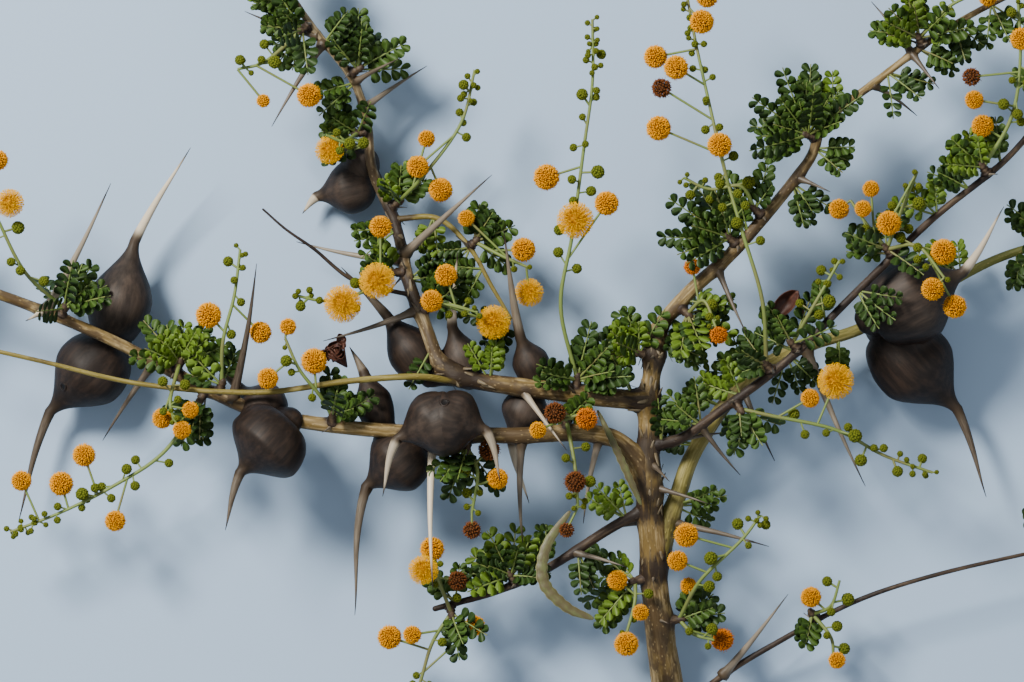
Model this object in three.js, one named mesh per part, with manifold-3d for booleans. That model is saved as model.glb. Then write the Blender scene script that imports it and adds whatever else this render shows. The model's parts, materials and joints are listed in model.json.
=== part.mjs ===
// A cut flowering branch of a swollen-thorn acacia, lying on a level surface.
//
// Millimetres, +Z up. The branch is drawn as it is seen from above: X runs across it from the tip of its
// left bough to the tips of its right ones, Y runs from the cut end towards the upper tips, and Z is the
// height above the surface. DRAWING_CENTRE moves the drawing so that its middle lies over the origin.

import * as THREE from "three";
import { mergeVertices } from "three/addons/utils/BufferGeometryUtils.js";
import Module from "manifold-3d";

const wasm = await Module();
wasm.setup();

const DRAWING_CENTRE = { x: -8.5, y: 3.6 };

// Gaps and sinkings
const CLEARANCE = 0.3; // between neighbouring pieces
const FLOOR_MARGIN = 1.2; // the least height of foliage and blossom
const SLIVER = 0.1; // faces narrower than this are smoothed away after a join

// Fineness of the search for a node along its limb
const NODE_SEARCH = 400;

// Roughness of each kind of surface
const ROUGHNESS = { bark: 0.85, gall: 0.6, pod: 0.7, spray: 0.7 };

// Facets
const SIDES = { stem: 8, bough: 6, twig: 4, stalk: 3, gall: 8, smallGall: 6, spine: 3 };

// Spines: the straight paired thorns at the nodes
const SPINE_RADIUS = 1.25;
const SPINE_POINT = 0.12;

// Galls: the swollen bases of spines
const GREAT_GIRTH = 10; // above which a lobe has more sides
const GALL_RINGS = [0, 0.12, 0.32, 0.56, 0.8, 1];
const GALL_NECK_RADIUS = 1.9;
const GALL_ROOT_SHARE = 0.35; // of the girth, where the lobe leaves its bough
const GALL_SPINE_WAIST = 0.85; // thinning of a gall's spine half-way along

// Foliage: the pinnae of a node's leaves spread from one spur, each a blade toothed by its leaflets
const SEAT_GAP = 0.4; // between a spur's foot and its limb, whose surface bends under it
const SPUR_RADIUS = 1.6;
const SPUR_HEIGHT = 3.4; // its pinnae and racemes spread from its heart, one radius under its end
const PINNA_HALF_WIDTH = 4;
const PINNA_RIB_HALF_WIDTH = 0.4;
const PINNA_THICKNESS = 0.7;
const PINNA_NOTCH_SHARE = 0.34; // of the half width left between two teeth
const PINNA_TOOTH_ROOT = 0.4; // where a tooth's middle leaves the rib, along its own stretch
const PINNA_TOOTH_LEAN = 0.72; // where its tip stands along that stretch
const PINNA_LAST_TOOTH = 0.8; // share of the full width
const PINNA_RADIUS = { rib: 1, tooth: 0.9 }; // room kept round them
const LEAFLET_PITCH = 7; // length of rib for each pair of teeth
const PINNA_DROOP = 1.8; // of its tip
const PINNA_STALK_SHARE = 0.24; // of its length without leaflets
const PINNA_TRIES = 22; // places tried for each, in turn
const GOLDEN_ANGLE = 137.5;

// Blossom: racemes of round heads, open at the base and in bud towards the tip
const RACEME_RADIUS = { base: 0.75, tip: 0.5 };
const STALK_RADIUS = 0.42;
const GREAT_HEAD = 4.8; // the least radius of a head that is made rounder
const BALL_TO_OCTAHEDRON = 1.24; // from a ball's radius to that of an octahedron a little smaller than it
const HEAD_NECK = 1.15; // where the stalk ends below a small head, as a share of its half height
const BUD_RADIUS = { base: 2.7, tip: 1.7 };
const BUD_REACH = { base: 6.5, tip: 3.6 };
const BUD_TRIES = 6;
const BUD_TURN = 50; // degrees between two tries
const BUDS_FROM = { afterHeads: 0.45, bare: 0.25 }; // share of the raceme where its buds start
const NEAREST_ROOTS = 3; // places on its stem tried for a head

// Where a place is taken: heights and then sideways shifts tried in turn
const LIFTS = [0, 3, -3, 6, -6, 9, -9, 12, -12, 16, -16, 20];
const SHIFTS = [[0, 0], [2, 0], [-2, 0], [0, 2], [0, -2], [3, 3], [-3, -3], [3, -3], [-3, 3]];

// A chance generator whose run of numbers depends on its seed alone (mulberry32).
function chance(seed) {
  let state = seed >>> 0;
  return function next(low = 0, high = 1) {
    state = (state + 0x6d2b79f5) >>> 0;
    let t = state;
    t = Math.imul(t ^ (t >>> 15), t | 1);
    t ^= t + Math.imul(t ^ (t >>> 7), t | 61);
    return low + ((high - low) * ((t ^ (t >>> 14)) >>> 0)) / 4294967296;
  };
}

// The seed that belongs to a name, so that adding a piece changes no other one.
function seedOf(name) {
  return [...name].reduce((sum, letter) => (sum * 31 + letter.charCodeAt(0)) >>> 0, 7);
}

const point = ([x, y, z]) => new THREE.Vector3(x, y, z);
const radians = THREE.MathUtils.degToRad;
const mix = THREE.MathUtils.lerp;

// A unit vector from a heading in the drawing (0 to the right, 90 upwards) and a rise above it, in degrees.
function heading(angle, rise = 0) {
  const a = radians(angle);
  const e = radians(rise);
  return new THREE.Vector3(Math.cos(a) * Math.cos(e), Math.sin(a) * Math.cos(e), Math.sin(e));
}

// Any unit vector at right angles to a direction, as near to a wanted one as that allows.
function squareTo(direction, wanted) {
  const side = wanted.clone().addScaledVector(direction, -wanted.dot(direction));
  if (side.lengthSq() < 1e-6) return squareTo(direction, new THREE.Vector3(0.36, 0.48, 0.8));
  return side.normalize();
}

// A closed surface through rings of the same number of points, with flat ends.
function skin(rings) {
  const sides = rings[0].length;
  const positions = rings.flat().flatMap((p) => [p.x, p.y, p.z]);
  const index = [];
  for (let i = 0; i + 1 < rings.length; i++) {
    for (let k = 0; k < sides; k++) {
      const a = i * sides + k;
      const b = i * sides + ((k + 1) % sides);
      index.push(a, b, b + sides, a, b + sides, a + sides);
    }
  }
  const last = (rings.length - 1) * sides;
  for (let k = 1; k + 1 < sides; k++) {
    index.push(0, k + 1, k, last, last + k, last + k + 1);
  }
  const geometry = new THREE.BufferGeometry();
  geometry.setAttribute("position", new THREE.Float32BufferAttribute(positions, 3));
  geometry.setIndex(index);
  return geometry;
}

// A round limb through centres with a radius at each. Its rings are carried along without twisting, apart
// from a turn that may be asked of each.
function tube(centres, radii, sides, turns = []) {
  let across = new THREE.Vector3(0, 0, 1);
  const rings = centres.map((centre, i) => {
    const ahead = centres[Math.min(i + 1, centres.length - 1)];
    const behind = centres[Math.max(i - 1, 0)];
    const along = ahead.clone().sub(behind).normalize();
    across = squareTo(along, across);
    const other = along.clone().cross(across);
    return Array.from({ length: sides }, (_, k) => {
      const a = (2 * Math.PI * k) / sides + (turns[i] ?? 0);
      return centre
        .clone()
        .addScaledVector(across, radii[i] * Math.cos(a))
        .addScaledVector(other, radii[i] * Math.sin(a));
    });
  });
  return skin(rings);
}

function solid(geometry) {
  const bare = geometry.clone();
  bare.deleteAttribute("normal");
  bare.deleteAttribute("uv");
  const merged = mergeVertices(bare, 1e-4);
  return new wasm.Manifold(
    new wasm.Mesh({
      numProp: 3,
      vertProperties: new Float32Array(merged.attributes.position.array),
      triVerts: new Uint32Array(merged.index.array),
    }),
  );
}

// The join of several solids, less what they must stay clear of, without loose scraps.
function fused(solids, cutters = []) {
  let joined = wasm.Manifold.union(solids);
  for (const cutter of cutters) joined = joined.subtract(cutter);
  const bodies = joined.decompose().sort((a, b) => b.volume() - a.volume());
  return bodies[0].simplify(SLIVER);
}

// Space already taken: capsules, each a straight stretch with a radius.
class Space {
  constructor() {
    this.taken = [];
  }

  add(capsules) {
    this.taken.push(...capsules);
  }

  // Whether capsules fit. One marked as a root may touch those that it grows from.
  isFree(capsules, grownFrom) {
    return capsules.every(
      (c) =>
        Math.min(c.a.z, c.b.z) - c.r >= FLOOR_MARGIN &&
        this.taken.every((o) => (c.root && grownFrom.includes(o)) || gapBetween(c, o) >= CLEARANCE),
    );
  }
}

// The gap between two capsules: the least distance between their stretches, less both radii.
function gapBetween(p, q) {
  const d1 = p.b.clone().sub(p.a);
  const d2 = q.b.clone().sub(q.a);
  const r = p.a.clone().sub(q.a);
  const a = d1.lengthSq() + 1e-9;
  const e = d2.lengthSq() + 1e-9;
  const b = d1.dot(d2);
  const c = d1.dot(r);
  const f = d2.dot(r);
  const clamp = (v) => Math.min(1, Math.max(0, v));
  const denominator = a * e - b * b;
  let s = denominator > 1e-6 ? clamp((b * f - c * e) / denominator) : 0;
  const t = clamp((b * s + f) / e);
  s = clamp((b * t - c) / a);
  const distance = r.addScaledVector(d1, s).addScaledVector(d2, -t).length();
  return distance - p.r - q.r;
}

function capsulesAlong(centres, radii) {
  return centres.slice(1).map((b, i) => ({ a: centres[i], b, r: Math.max(radii[i], radii[i + 1]) }));
}

// Capsules round a body whose radius changes fast: a ball at each centre, and thinner stretches between.
function swellingCapsules(centres, radii) {
  const balls = centres.map((centre, i) => ({ a: centre, b: centre, r: radii[i] }));
  const between = centres.slice(1).map((b, i) => ({ a: centres[i], b, r: mix(radii[i], radii[i + 1], 0.5) }));
  return [...balls, ...between];
}

// A limb that tapers from its base to its tip along a smooth curve through its bends.
class Limb {
  constructor({ name, bends, radius, sides, steps }) {
    this.name = name;
    this.curve = new THREE.CatmullRomCurve3(bends.map(point), false, "catmullrom", 0.5);
    this.radius = radius;
    this.sides = sides;
    this.steps = steps;
    this.centres = Array.from({ length: steps + 1 }, (_, i) => this.curve.getPoint(i / steps));
    this.radii = this.centres.map((_, i) => this.radiusAt(i / steps));
  }

  radiusAt(t) {
    return mix(this.radius[0], this.radius[1], t);
  }

  // The place on the centre line nearest to a point of the drawing.
  nearest(x, y) {
    let best = 0;
    let least = Infinity;
    for (let i = 0; i <= NODE_SEARCH; i++) {
      const p = this.curve.getPoint(i / NODE_SEARCH);
      const distance = Math.hypot(p.x - x, p.y - y);
      if (distance < least) [least, best] = [distance, i / NODE_SEARCH];
    }
    return best;
  }

  body() {
    return solid(tube(this.centres, this.radii, this.sides));
  }

  // The limb grown on all sides by the clearance, for cutting what is seated on it.
  sleeve() {
    const grown = this.radii.map((r) => r + CLEARANCE / Math.cos(Math.PI / this.sides));
    const centres = this.centres.map((centre) => centre.clone());
    const [first, second] = centres;
    const [last, before] = [centres.at(-1), centres.at(-2)];
    first.addScaledVector(first.clone().sub(second).normalize(), CLEARANCE);
    last.addScaledVector(last.clone().sub(before).normalize(), CLEARANCE);
    return solid(tube(centres, grown, this.sides));
  }

  capsules() {
    return capsulesAlong(this.centres, this.radii);
  }
}

// Limbs, in the order that they branch. Bends are [x, y, z]; a radius runs from base to tip.
const LIMBS = [
  {
    name: "main_stem",
    bends: [
      [57.5, -141, 6.1], [55, -122, 10], [51.5, -98, 18], [49, -71, 26], [48, -45, 31],
      [48, -21, 33], [50.5, 0, 34],
    ],
    radius: [6.2, 3.6],
    sides: SIDES.stem,
    steps: 10,
    colour: 0x6e6242,
  },
  {
    name: "upper_right_bough",
    parent: "main_stem",
    bends: [
      [49.9, -5, 34],
      [50.7, 3.2, 34], [62, 17, 36], [80, 34, 38], [103, 62, 40], [109, 76, 40], [125, 89, 39],
      [157, 112, 36], [201, 134, 30],
    ],
    radius: [3.3, 1.1],
    sides: SIDES.bough,
    steps: 14,
    colour: 0x6a5c3e,
  },
  {
    name: "middle_bough",
    parent: "main_stem",
    bends: [[48, -21, 33], [31, -19.5, 34.5], [10, -17, 36], [-12, -14, 35], [-25, -10, 34]],
    radius: [3.5, 3],
    sides: SIDES.bough,
    steps: 6,
    colour: 0x75684a,
  },
  {
    name: "upper_left_bough",
    parent: "middle_bough",
    bends: [
      [-19, -12, 34.6],
      [-25.9, -6.4, 34], [-30, 4, 32], [-36, 20, 27], [-41, 41, 20], [-49, 60, 17.5], [-51, 76, 20],
      [-56, 92, 25], [-70, 110, 29], [-86, 134, 28],
    ],
    radius: [2.8, 1.2],
    sides: SIDES.bough,
    steps: 12,
    colour: 0x6f6550,
  },
  {
    name: "left_bough",
    parent: "main_stem",
    bends: [
      [48, -53, 30], [42, -40, 33.5], [30, -32.5, 36], [-4, -33, 38], [-50, -31, 37],
      [-84, -26, 35], [-107, -17, 32], [-142, 1, 29.5], [-179, 16, 31], [-214, 27, 32],
    ],
    radius: [3.4, 1.6],
    sides: SIDES.bough,
    steps: 14,
    colour: 0x6b6046,
  },
  {
    name: "right_bough",
    parent: "main_stem",
    bends: [
      [51, -78, 24], [58, -55, 25], [65, -37, 25], [82, -14, 22], [100, -3, 18], [122, 4, 15],
      [146, 16, 14], [171, 29, 17], [197, 37, 21],
    ],
    radius: [3.3, 1.3],
    sides: SIDES.bough,
    steps: 12,
    colour: 0x7c7a4c,
  },
  {
    name: "right_thin_bough",
    parent: "main_stem",
    bends: [
      [48, -37, 32], [59, -34, 37], [72, -25, 41], [97, -6, 45], [118, 15, 47], [146, 42, 46],
      [172, 63, 43], [186, 80, 40], [196, 99, 37],
    ],
    radius: [1.9, 1],
    sides: SIDES.twig,
    steps: 13,
    colour: 0x54403a,
  },
  {
    name: "lower_left_bough",
    parent: "main_stem",
    bends: [[49, -58, 28], [34, -66, 30], [12, -80, 29], [-6, -88, 27], [-27, -94, 25]],
    radius: [2.1, 1],
    sides: SIDES.twig,
    steps: 7,
    colour: 0x4c3d34,
  },
  {
    name: "lower_right_twig",
    parent: "main_stem",
    bends: [[56, -134, 8], [73, -119, 13], [92, -107, 16], [120, -92, 19], [150, -82, 21], [194, -72, 20]],
    radius: [1.5, 0.9],
    sides: SIDES.twig,
    steps: 8,
    colour: 0x4a403a,
  },
  {
    name: "long_green_twig",
    parent: "middle_bough",
    bends: [
      [-17, -15, 36], [-33, -12.5, 43], [-57, -14, 43], [-90, -18, 42], [-130, -15, 39],
      [-165, -7, 37], [-196, 0, 34],
    ],
    radius: [1.3, 0.7],
    sides: SIDES.twig,
    steps: 10,
    colour: 0x8a8c42,
  },
  {
    name: "arching_twig",
    parent: "upper_left_bough",
    bends: [[-40.5, 43, 20], [-26, 43, 25], [-15, 33, 28], [-7, 19, 30], [-0.5, 8, 31]],
    radius: [1.1, 0.6],
    sides: SIDES.twig,
    steps: 8,
    colour: 0x5d5a38,
  },
  {
    name: "dead_twig",
    parent: "upper_left_bough",
    bends: [[-35, 16, 28.5], [-55, 21, 37], [-69, 32, 40], [-79, 39, 41], [-87, 46, 40]],
    radius: [1, 0.6],
    sides: SIDES.twig,
    steps: 7,
    colour: 0x3d2f33,
  },
];

// Spines of each limb: base on the limb, then tip, both x and y in the drawing, then the tip's rise over
// the base.
const SPINES = {
  main_stem: [[51, -51, 69, -57, 12], [49, -42, 55, -49, 12], [51, -62, 32, -66, -9]],
  upper_right_bough: [
    [139, 102, 126, 119, -8], [139, 101, 149, 88, 8], [126, 90, 142, 79, -9],
    [99, 57, 111, 52, 7], [72, 26, 82, 2, 9],
  ],
  middle_bough: [[3, -16.5, 19, -38, 14]],
  upper_left_bough: [
    [-68, 107, -94, 116, -10], [-66, 105, -84, 75, 10], [-55, 91, -39, 99, 12], [-51, 82, -30, 97, -9],
    [-38, 28, -76, 35, -12], [-38, 30, -7, 58, 20], [-33, 11, -66, 0, 8],
  ],
  left_bough: [
    [-163, 12, -140, 55, 14], [-164, 12, -170, 7, 9], [-98, -21, -89, 27, 15], [-126, -9, -144, -35, -10],
    [3, -33, 4, -73, -12], [31, -33, 25, -64, -8],
  ],
  right_bough: [[103, -1, 124, -51, 10], [81, -16, 92, -42, 11], [56, -64, 90, -72, 8]],
  right_thin_bough: [[55, -35.5, 76, -32, -4], [66, -30, 80, -47, -8]],
  lower_left_bough: [[22, -75, 40, -79, 10]],
  lower_right_twig: [[74, -118, 97, -89, 10]],
};

// Galls. A lobe runs from its root on a bough to its neck, with its greatest girth in between, and goes on as
// a spine. The lowest galls carry the branch on the surface.
const GALLS = [
  {
    name: "far_left_gall",
    boughs: ["left_bough"],
    rests: true,
    colour: 0x4a4347,
    lobes: [
      { root: [-141, 1, 16.5], neck: [-133, 35, 17], tip: [-113, 68, 24], girth: 11.2, fullness: 0.38 },
      { root: [-139, -1, 15], neck: [-163, -25, 14], tip: [-174, -64, 17], girth: 13.2, fullness: 0.42 },
    ],
  },
  {
    name: "left_gall",
    boughs: ["left_bough"],
    colour: 0x453c40,
    lobes: [
      { root: [-78, -28, 38], neck: [-95, -46, 42], tip: [-100, -66, 46], girth: 14.2, fullness: 0.5 },
      { root: [-82, -27, 34], neck: [-95, -17, 25], tip: [-113, 1, 18], girth: 8.6, fullness: 0.42 },
    ],
  },
  {
    name: "centre_left_gall",
    boughs: ["left_bough", "middle_bough"],
    colour: 0x463d3f,
    lobes: [
      { root: [-32, -36, 32], neck: [-51, -51, 32], tip: [-55, -96, 36], girth: 11.6, fullness: 0.45 },
      { root: [-45, -32, 30.5], neck: [-52, -11, 30], tip: [-57, -2, 28], girth: 6.6, fullness: 0.5 },
    ],
  },
  {
    name: "front_gall",
    boughs: ["left_bough", "middle_bough"],
    colour: 0x3d3639,
    lobes: [
      { root: [-20, -25, 50], neck: [-40, -34, 52], tip: [-45, -54, 57], girth: 11.4, fullness: 0.42 },
      { root: [-27, -26, 50], neck: [-9, -31, 54], tip: [-4, -49, 60], girth: 11, fullness: 0.46 },
    ],
  },
  {
    name: "elbow_gall",
    boughs: ["middle_bough", "upper_left_bough"],
    colour: 0x3c3538,
    lobes: [
      { root: [-29, -13, 26.5], neck: [-44, 9, 27], tip: [-60, 26, 24], girth: 8.6, fullness: 0.42 },
      { root: [-15, -14, 26.5], neck: [-21, 5, 31], tip: [-19, 31, 35], girth: 7.2, fullness: 0.42 },
    ],
  },
  {
    name: "centre_gall",
    boughs: ["middle_bough", "left_bough"],
    colour: 0x3a3437,
    lobes: [
      { root: [10, -16, 29], neck: [3, 1, 37], tip: [-3, 39, 42], girth: 6.6, fullness: 0.5 },
      { root: [7, -18, 28.5], neck: [0, -35, 28], tip: [6, -57, 24], girth: 8.2, fullness: 0.4 },
    ],
  },
  {
    name: "top_gall",
    boughs: ["upper_left_bough"],
    rests: true,
    colour: 0x5d5654,
    lobes: [
      { root: [-49, 56, 11], neck: [-69, 51, 9], tip: [-74, 45, 11], girth: 9.2, fullness: 0.45 },
      { root: [-50, 58, 12], neck: [-58, 70, 14], tip: [-63, 86, 20], girth: 6.4, fullness: 0.42 },
    ],
  },
  {
    name: "right_gall",
    boughs: ["right_bough", "right_thin_bough"],
    rests: true,
    colour: 0x54473f,
    lobes: [
      { root: [126, 8, 30], neck: [158, 24, 34], tip: [172, 47, 40], girth: 15.8, fullness: 0.5 },
      { root: [130, 4, 16], neck: [157, -24, 15], tip: [167, -55, 19], girth: 14.6, fullness: 0.46 },
    ],
  },
];

// Pods, each a flat blade along its bends.
const PODS = [
  {
    name: "sickle_pod",
    bends: [[20, -60, 35], [12, -72, 37], [11, -84, 38], [19, -93, 38], [28, -97, 37]],
    halfWidth: 2.1,
    colour: 0x7d8460,
  },
  {
    name: "young_pod",
    bends: [[30, -24.5, 42], [36, -37, 43], [41, -48, 42], [45, -57, 39.5]],
    halfWidth: 1.3,
    colour: 0x7f8f4c,
  },
];
const POD_THICKNESS = 1.6;
const POD_END_SHARE = 0.3; // of its half width, at its ends
const POD_STEPS = 9;

// Sprays of leaves and blossom. Each grows from one spur at a node of its host.
// leaves: toward (heading of the fan), spread (its whole angle), count and length of a pinna.
// racemes: route from the spur as [x, y, rise over the host], heads as [x, y, radius], and a count of buds.
const LEAF_GREEN = 0x3c6b35;
const SPRAYS = [
  {
    name: "left_tip_spray", host: "left_bough", at: [-206, 25], toward: 120,
    leaves: { toward: 150, spread: 190, count: 4, length: 18 },
    racemes: [{ route: [[-214, 38, 6], [-217, 52, 8]], heads: [[-222, 46, 4.2], [-209, 50, 4]], buds: 2 }],
  },
  {
    name: "far_left_spray", host: "left_bough", at: [-158, 10], toward: 95,
    leaves: { toward: 80, spread: 130, count: 5, length: 20 },
    racemes: [
      {
        route: [[-170, 24, 8], [-179, 42, 14], [-184, 53, 16]],
        heads: [[-175, 48, 5.2], [-179, 63, 3.9]],
        buds: 2,
      },
    ],
  },
  {
    name: "left_middle_spray", host: "left_bough", at: [-118, -12], toward: 80,
    leaves: { toward: 85, spread: 130, count: 5, length: 18 },
    racemes: [
      {
        route: [[-119, -20, 4], [-118, -27, 5]],
        heads: [[-122, -27, 3.9], [-115, -31, 3.5], [-112, -24, 3.2]],
        buds: 0,
      },
    ],
  },
  {
    name: "left_upper_spray", host: "left_bough", at: [-103, -19], toward: 95,
    leaves: { toward: 110, spread: 60, count: 2, length: 16 },
    racemes: [
      {
        route: [[-101, 0, 5], [-97, 16, 6], [-95, 32, 5]],
        heads: [[-106, 9, 4.9], [-88, 3, 4.2]],
        buds: 2,
      },
    ],
  },
  {
    name: "left_galls_spray", host: "left_bough", at: [-63, -29.5], toward: 80, rise: 45,
    leaves: { toward: 80, spread: 110, count: 4, length: 17 },
    racemes: [
      {
        route: [[-67, -19, 6], [-74, -10, 10], [-79, 1, 11]],
        heads: [[-69, -7, 4.9], [-85, -13, 4], [-78, 5, 3.2]],
        buds: 1,
      },
    ],
  },
  {
    name: "left_lower_spray", host: "left_bough", at: [-107, -17], toward: 250,
    leaves: { toward: 238, spread: 40, count: 2, length: 19 },
    racemes: [
      {
        route: [[-122, -39, 0], [-140, -51, -2], [-158, -60, -3], [-176, -67, -4]],
        heads: [[-150, -40, 4.4], [-172, -49, 3.9], [-158, -50, 4.6], [-139, -63, 4]],
        buds: 2,
      },
    ],
  },
  {
    name: "under_left_spray", host: "left_bough", at: [-16, -32.5], toward: 265,
    leaves: { toward: 255, spread: 130, count: 5, length: 21 },
    racemes: [
      {
        route: [[-12, -46, 4], [-14, -60, 2]],
        heads: [[-8, -38, 4.2], [-5, -48, 4], [-14, -66, 3.5]],
        buds: 2,
      },
    ],
  },
  {
    name: "centre_blossom", host: "left_bough", at: [19, -33], toward: 90,
    leaves: { toward: 60, spread: 60, count: 2, length: 13 },
    racemes: [
      {
        route: [[19, -27, 8], [26, -25, 9]],
        heads: [[15, -25, 4.2], [26, -27, 4.2], [9, -31, 3.2]],
        buds: 0,
      },
      { route: [[22, -44, 7], [23, -58, 5]], heads: [[22, -49, 4.2], [19, -66, 3]], buds: 1 },
    ],
  },
  {
    name: "top_tip_spray", host: "upper_left_bough", at: [-83, 130], toward: 30,
    leaves: { toward: 100, spread: 220, count: 5, length: 17 },
    racemes: [],
  },
  {
    name: "top_left_spray", host: "upper_left_bough", at: [-71, 111], toward: 200,
    leaves: { toward: 190, spread: 130, count: 5, length: 17 },
    racemes: [
      { route: [[-86, 98, 6], [-96, 95, 7]], heads: [[-71, 86, 4.6], [-87, 84, 2.6]], buds: 2 },
    ],
  },
  {
    name: "top_spray", host: "upper_left_bough", at: [-57, 94], toward: 20,
    leaves: { toward: 55, spread: 120, count: 5, length: 20 },
    racemes: [],
  },
  {
    name: "top_gall_spray", host: "upper_left_bough", at: [-51, 74], toward: 170,
    leaves: { toward: 130, spread: 70, count: 3, length: 15 },
    racemes: [{ route: [[-59, 70, 12], [-65, 72, 15]], heads: [[-64, 67, 5.2]], buds: 1 }],
  },
  {
    name: "upper_centre_spray", host: "upper_left_bough", at: [-43, 47], toward: 50,
    leaves: { toward: 75, spread: 70, count: 3, length: 13 },
    racemes: [
      {
        route: [[-31, 58, 10], [-18, 76, 12], [-13, 95, 12]],
        heads: [[-33, 61, 4.2], [-25, 53, 4.6], [-30, 71, 3.3]],
        buds: 2,
      },
    ],
  },
  {
    name: "inner_left_spray", host: "upper_left_bough", at: [-37.5, 24], toward: 180,
    leaves: { toward: 150, spread: 60, count: 2, length: 13 },
    racemes: [
      {
        route: [[-50, 18, 9], [-64, 14, 11], [-76, 16, 12]],
        heads: [[-59, 13, 6.8], [-47, 21, 6.5], [-46, 40, 4.2]],
        buds: 2,
      },
    ],
  },
  {
    name: "inner_right_spray", host: "upper_left_bough", at: [-32, 10], toward: 20,
    leaves: { toward: 30, spread: 60, count: 3, length: 15 },
    racemes: [
      {
        route: [[-23, 13, 11], [-12, 10, 15]],
        heads: [[-6.5, 6.5, 6.2], [-23, 23, 4.2], [-28, 14, 4.2]],
        buds: 0,
      },
    ],
  },
  {
    name: "arch_spray", host: "arching_twig", at: [-15, 33], toward: 60,
    leaves: { toward: 20, spread: 120, count: 3, length: 15 },
    racemes: [
      {
        route: [[-4, 30, 5], [5, 26, 6]],
        heads: [[4, 32, 4.6], [6, 17, 5.2], [-16, 43, 3.2]],
        buds: 0,
      },
    ],
  },
  {
    name: "centre_raceme", host: "middle_bough", at: [22, -18.5], toward: 90,
    leaves: { toward: 90, spread: 170, count: 8, length: 20 },
    racemes: [
      {
        route: [[17, 12, 8], [21, 37, 12], [25, 67, 14], [28, 90, 15], [28, 112, 15]],
        heads: [[12, 57, 4.9], [22, 42, 6.6], [33, 48, 4.6]],
        buds: 3,
      },
    ],
  },
  {
    name: "fork_spray", host: "main_stem", at: [49.5, -5], toward: 175,
    leaves: { toward: 120, spread: 110, count: 5, length: 17 },
    racemes: [],
  },
  {
    name: "stem_right_spray", host: "upper_right_bough", at: [58, 13], toward: 330,
    leaves: { toward: 320, spread: 120, count: 6, length: 18 },
    racemes: [{ route: [[67, 14, 6], [71, 5, 9]], heads: [[63, 26, 3.3], [72, 2, 3.4]], buds: 0 }],
  },
  {
    name: "curved_leaf_spray", host: "upper_right_bough", at: [79, 33], toward: 140,
    leaves: { toward: 165, spread: 90, count: 4, length: 24 },
    racemes: [],
  },
  {
    name: "bud_spray", host: "upper_right_bough", at: [88, 43], toward: 130,
    leaves: { toward: 100, spread: 50, count: 2, length: 16 },
    racemes: [{ route: [[80, 54, 3], [69, 53, 2], [60, 57, 2]], heads: [], buds: 2 }],
  },
  {
    name: "great_leaf_spray", host: "upper_right_bough", at: [107, 71], toward: 120,
    leaves: { toward: 115, spread: 160, count: 7, length: 24 },
    racemes: [],
  },
  {
    name: "upper_right_spray", host: "upper_right_bough", at: [143, 105], toward: 80,
    leaves: { toward: 95, spread: 150, count: 5, length: 19 },
    racemes: [
      {
        route: [[151.6, 116, 4], [160, 120.6, 5]],
        heads: [[150, 123, 3.5], [166, 120, 3.5]],
        buds: 1,
      },
    ],
  },
  {
    name: "right_tip_spray", host: "upper_right_bough", at: [192, 130.5], toward: 60,
    leaves: { toward: 40, spread: 220, count: 5, length: 18 },
    racemes: [
      {
        route: [[189, 121, 4], [192, 110, 5]],
        heads: [[185, 117, 3.6], [196, 115, 3.4]],
        buds: 2,
      },
    ],
  },
  {
    name: "thin_bough_spray", host: "right_thin_bough", at: [100, -3], toward: 100,
    leaves: { toward: 75, spread: 100, count: 4, length: 18 },
    racemes: [{ route: [[106, 14, 5], [114, 28, 5]], heads: [], buds: 2 }],
  },
  {
    name: "tall_raceme", host: "right_thin_bough", at: [91, -10.5], toward: 110,
    leaves: { toward: 150, spread: 50, count: 2, length: 16 },
    racemes: [
      {
        route: [[87, 14, 10], [80, 38, 12], [74, 59, 10], [69, 81, 7], [64, 104, 4], [59, 131, 3]],
        heads: [
          [66, 111, 4.6], [68, 120, 4.2], [50, 99, 4.4], [57, 95, 4.6], [52, 88, 3.9], [51, 74, 4.7],
          [72, 68, 4.6],
        ],
        buds: 3,
      },
    ],
  },
  {
    name: "gall_blossom", host: "right_thin_bough", at: [133, 30], toward: 130,
    leaves: { toward: 90, spread: 120, count: 4, length: 18 },
    racemes: [
      {
        route: [[141, 33, 8], [150, 22, 12]],
        heads: [[150, 31, 4.9], [146, 18, 4.3], [154, 12, 4.4]],
        buds: 0,
      },
      {
        route: [[124, 40, 2], [118, 49, 0]],
        heads: [[114, 46, 3.9], [122, 46, 3.2], [125, 53, 3.2]],
        buds: 0,
      },
      { route: [[135, 44, 4], [141, 59, 5]], heads: [[131, 41, 4.6]], buds: 2 },
    ],
  },
  {
    name: "right_end_spray", host: "right_thin_bough", at: [166, 58.5], toward: 110,
    leaves: { toward: 125, spread: 90, count: 4, length: 17 },
    racemes: [
      {
        route: [[174, 78, 4], [177, 98, 5], [176, 122, 5]],
        heads: [[177, 105, 4.2], [160, 92, 3.6], [161, 84, 3.6], [164, 75, 4.2]],
        buds: 2,
      },
    ],
  },
  {
    name: "thin_tip_spray", host: "right_thin_bough", at: [193, 93], toward: 40,
    leaves: { toward: 60, spread: 210, count: 4, length: 17 },
    racemes: [],
  },
  {
    name: "gall_tip_spray", host: "right_bough", at: [189, 35], toward: 60,
    leaves: { toward: 30, spread: 230, count: 5, length: 17 },
    racemes: [{ route: [[193, 24, 5], [197, 14, 6]], heads: [[189, 18, 3.8], [201, 20, 3.6]], buds: 2 }],
  },
  {
    name: "hanging_raceme", host: "right_thin_bough", at: [78, -21], toward: 280,
    leaves: { toward: 300, spread: 70, count: 3, length: 16 },
    racemes: [
      {
        route: [[90, -26, 1], [113, -31, 0], [130, -40, -3], [147, -46, -4]],
        heads: [[113, -14, 6.6], [104, -20, 3.6]],
        buds: 4,
      },
    ],
  },
  {
    name: "stem_lower_spray", host: "main_stem", at: [51.5, -98], toward: 40,
    leaves: { toward: 50, spread: 80, count: 4, length: 17 },
    racemes: [
      {
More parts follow.
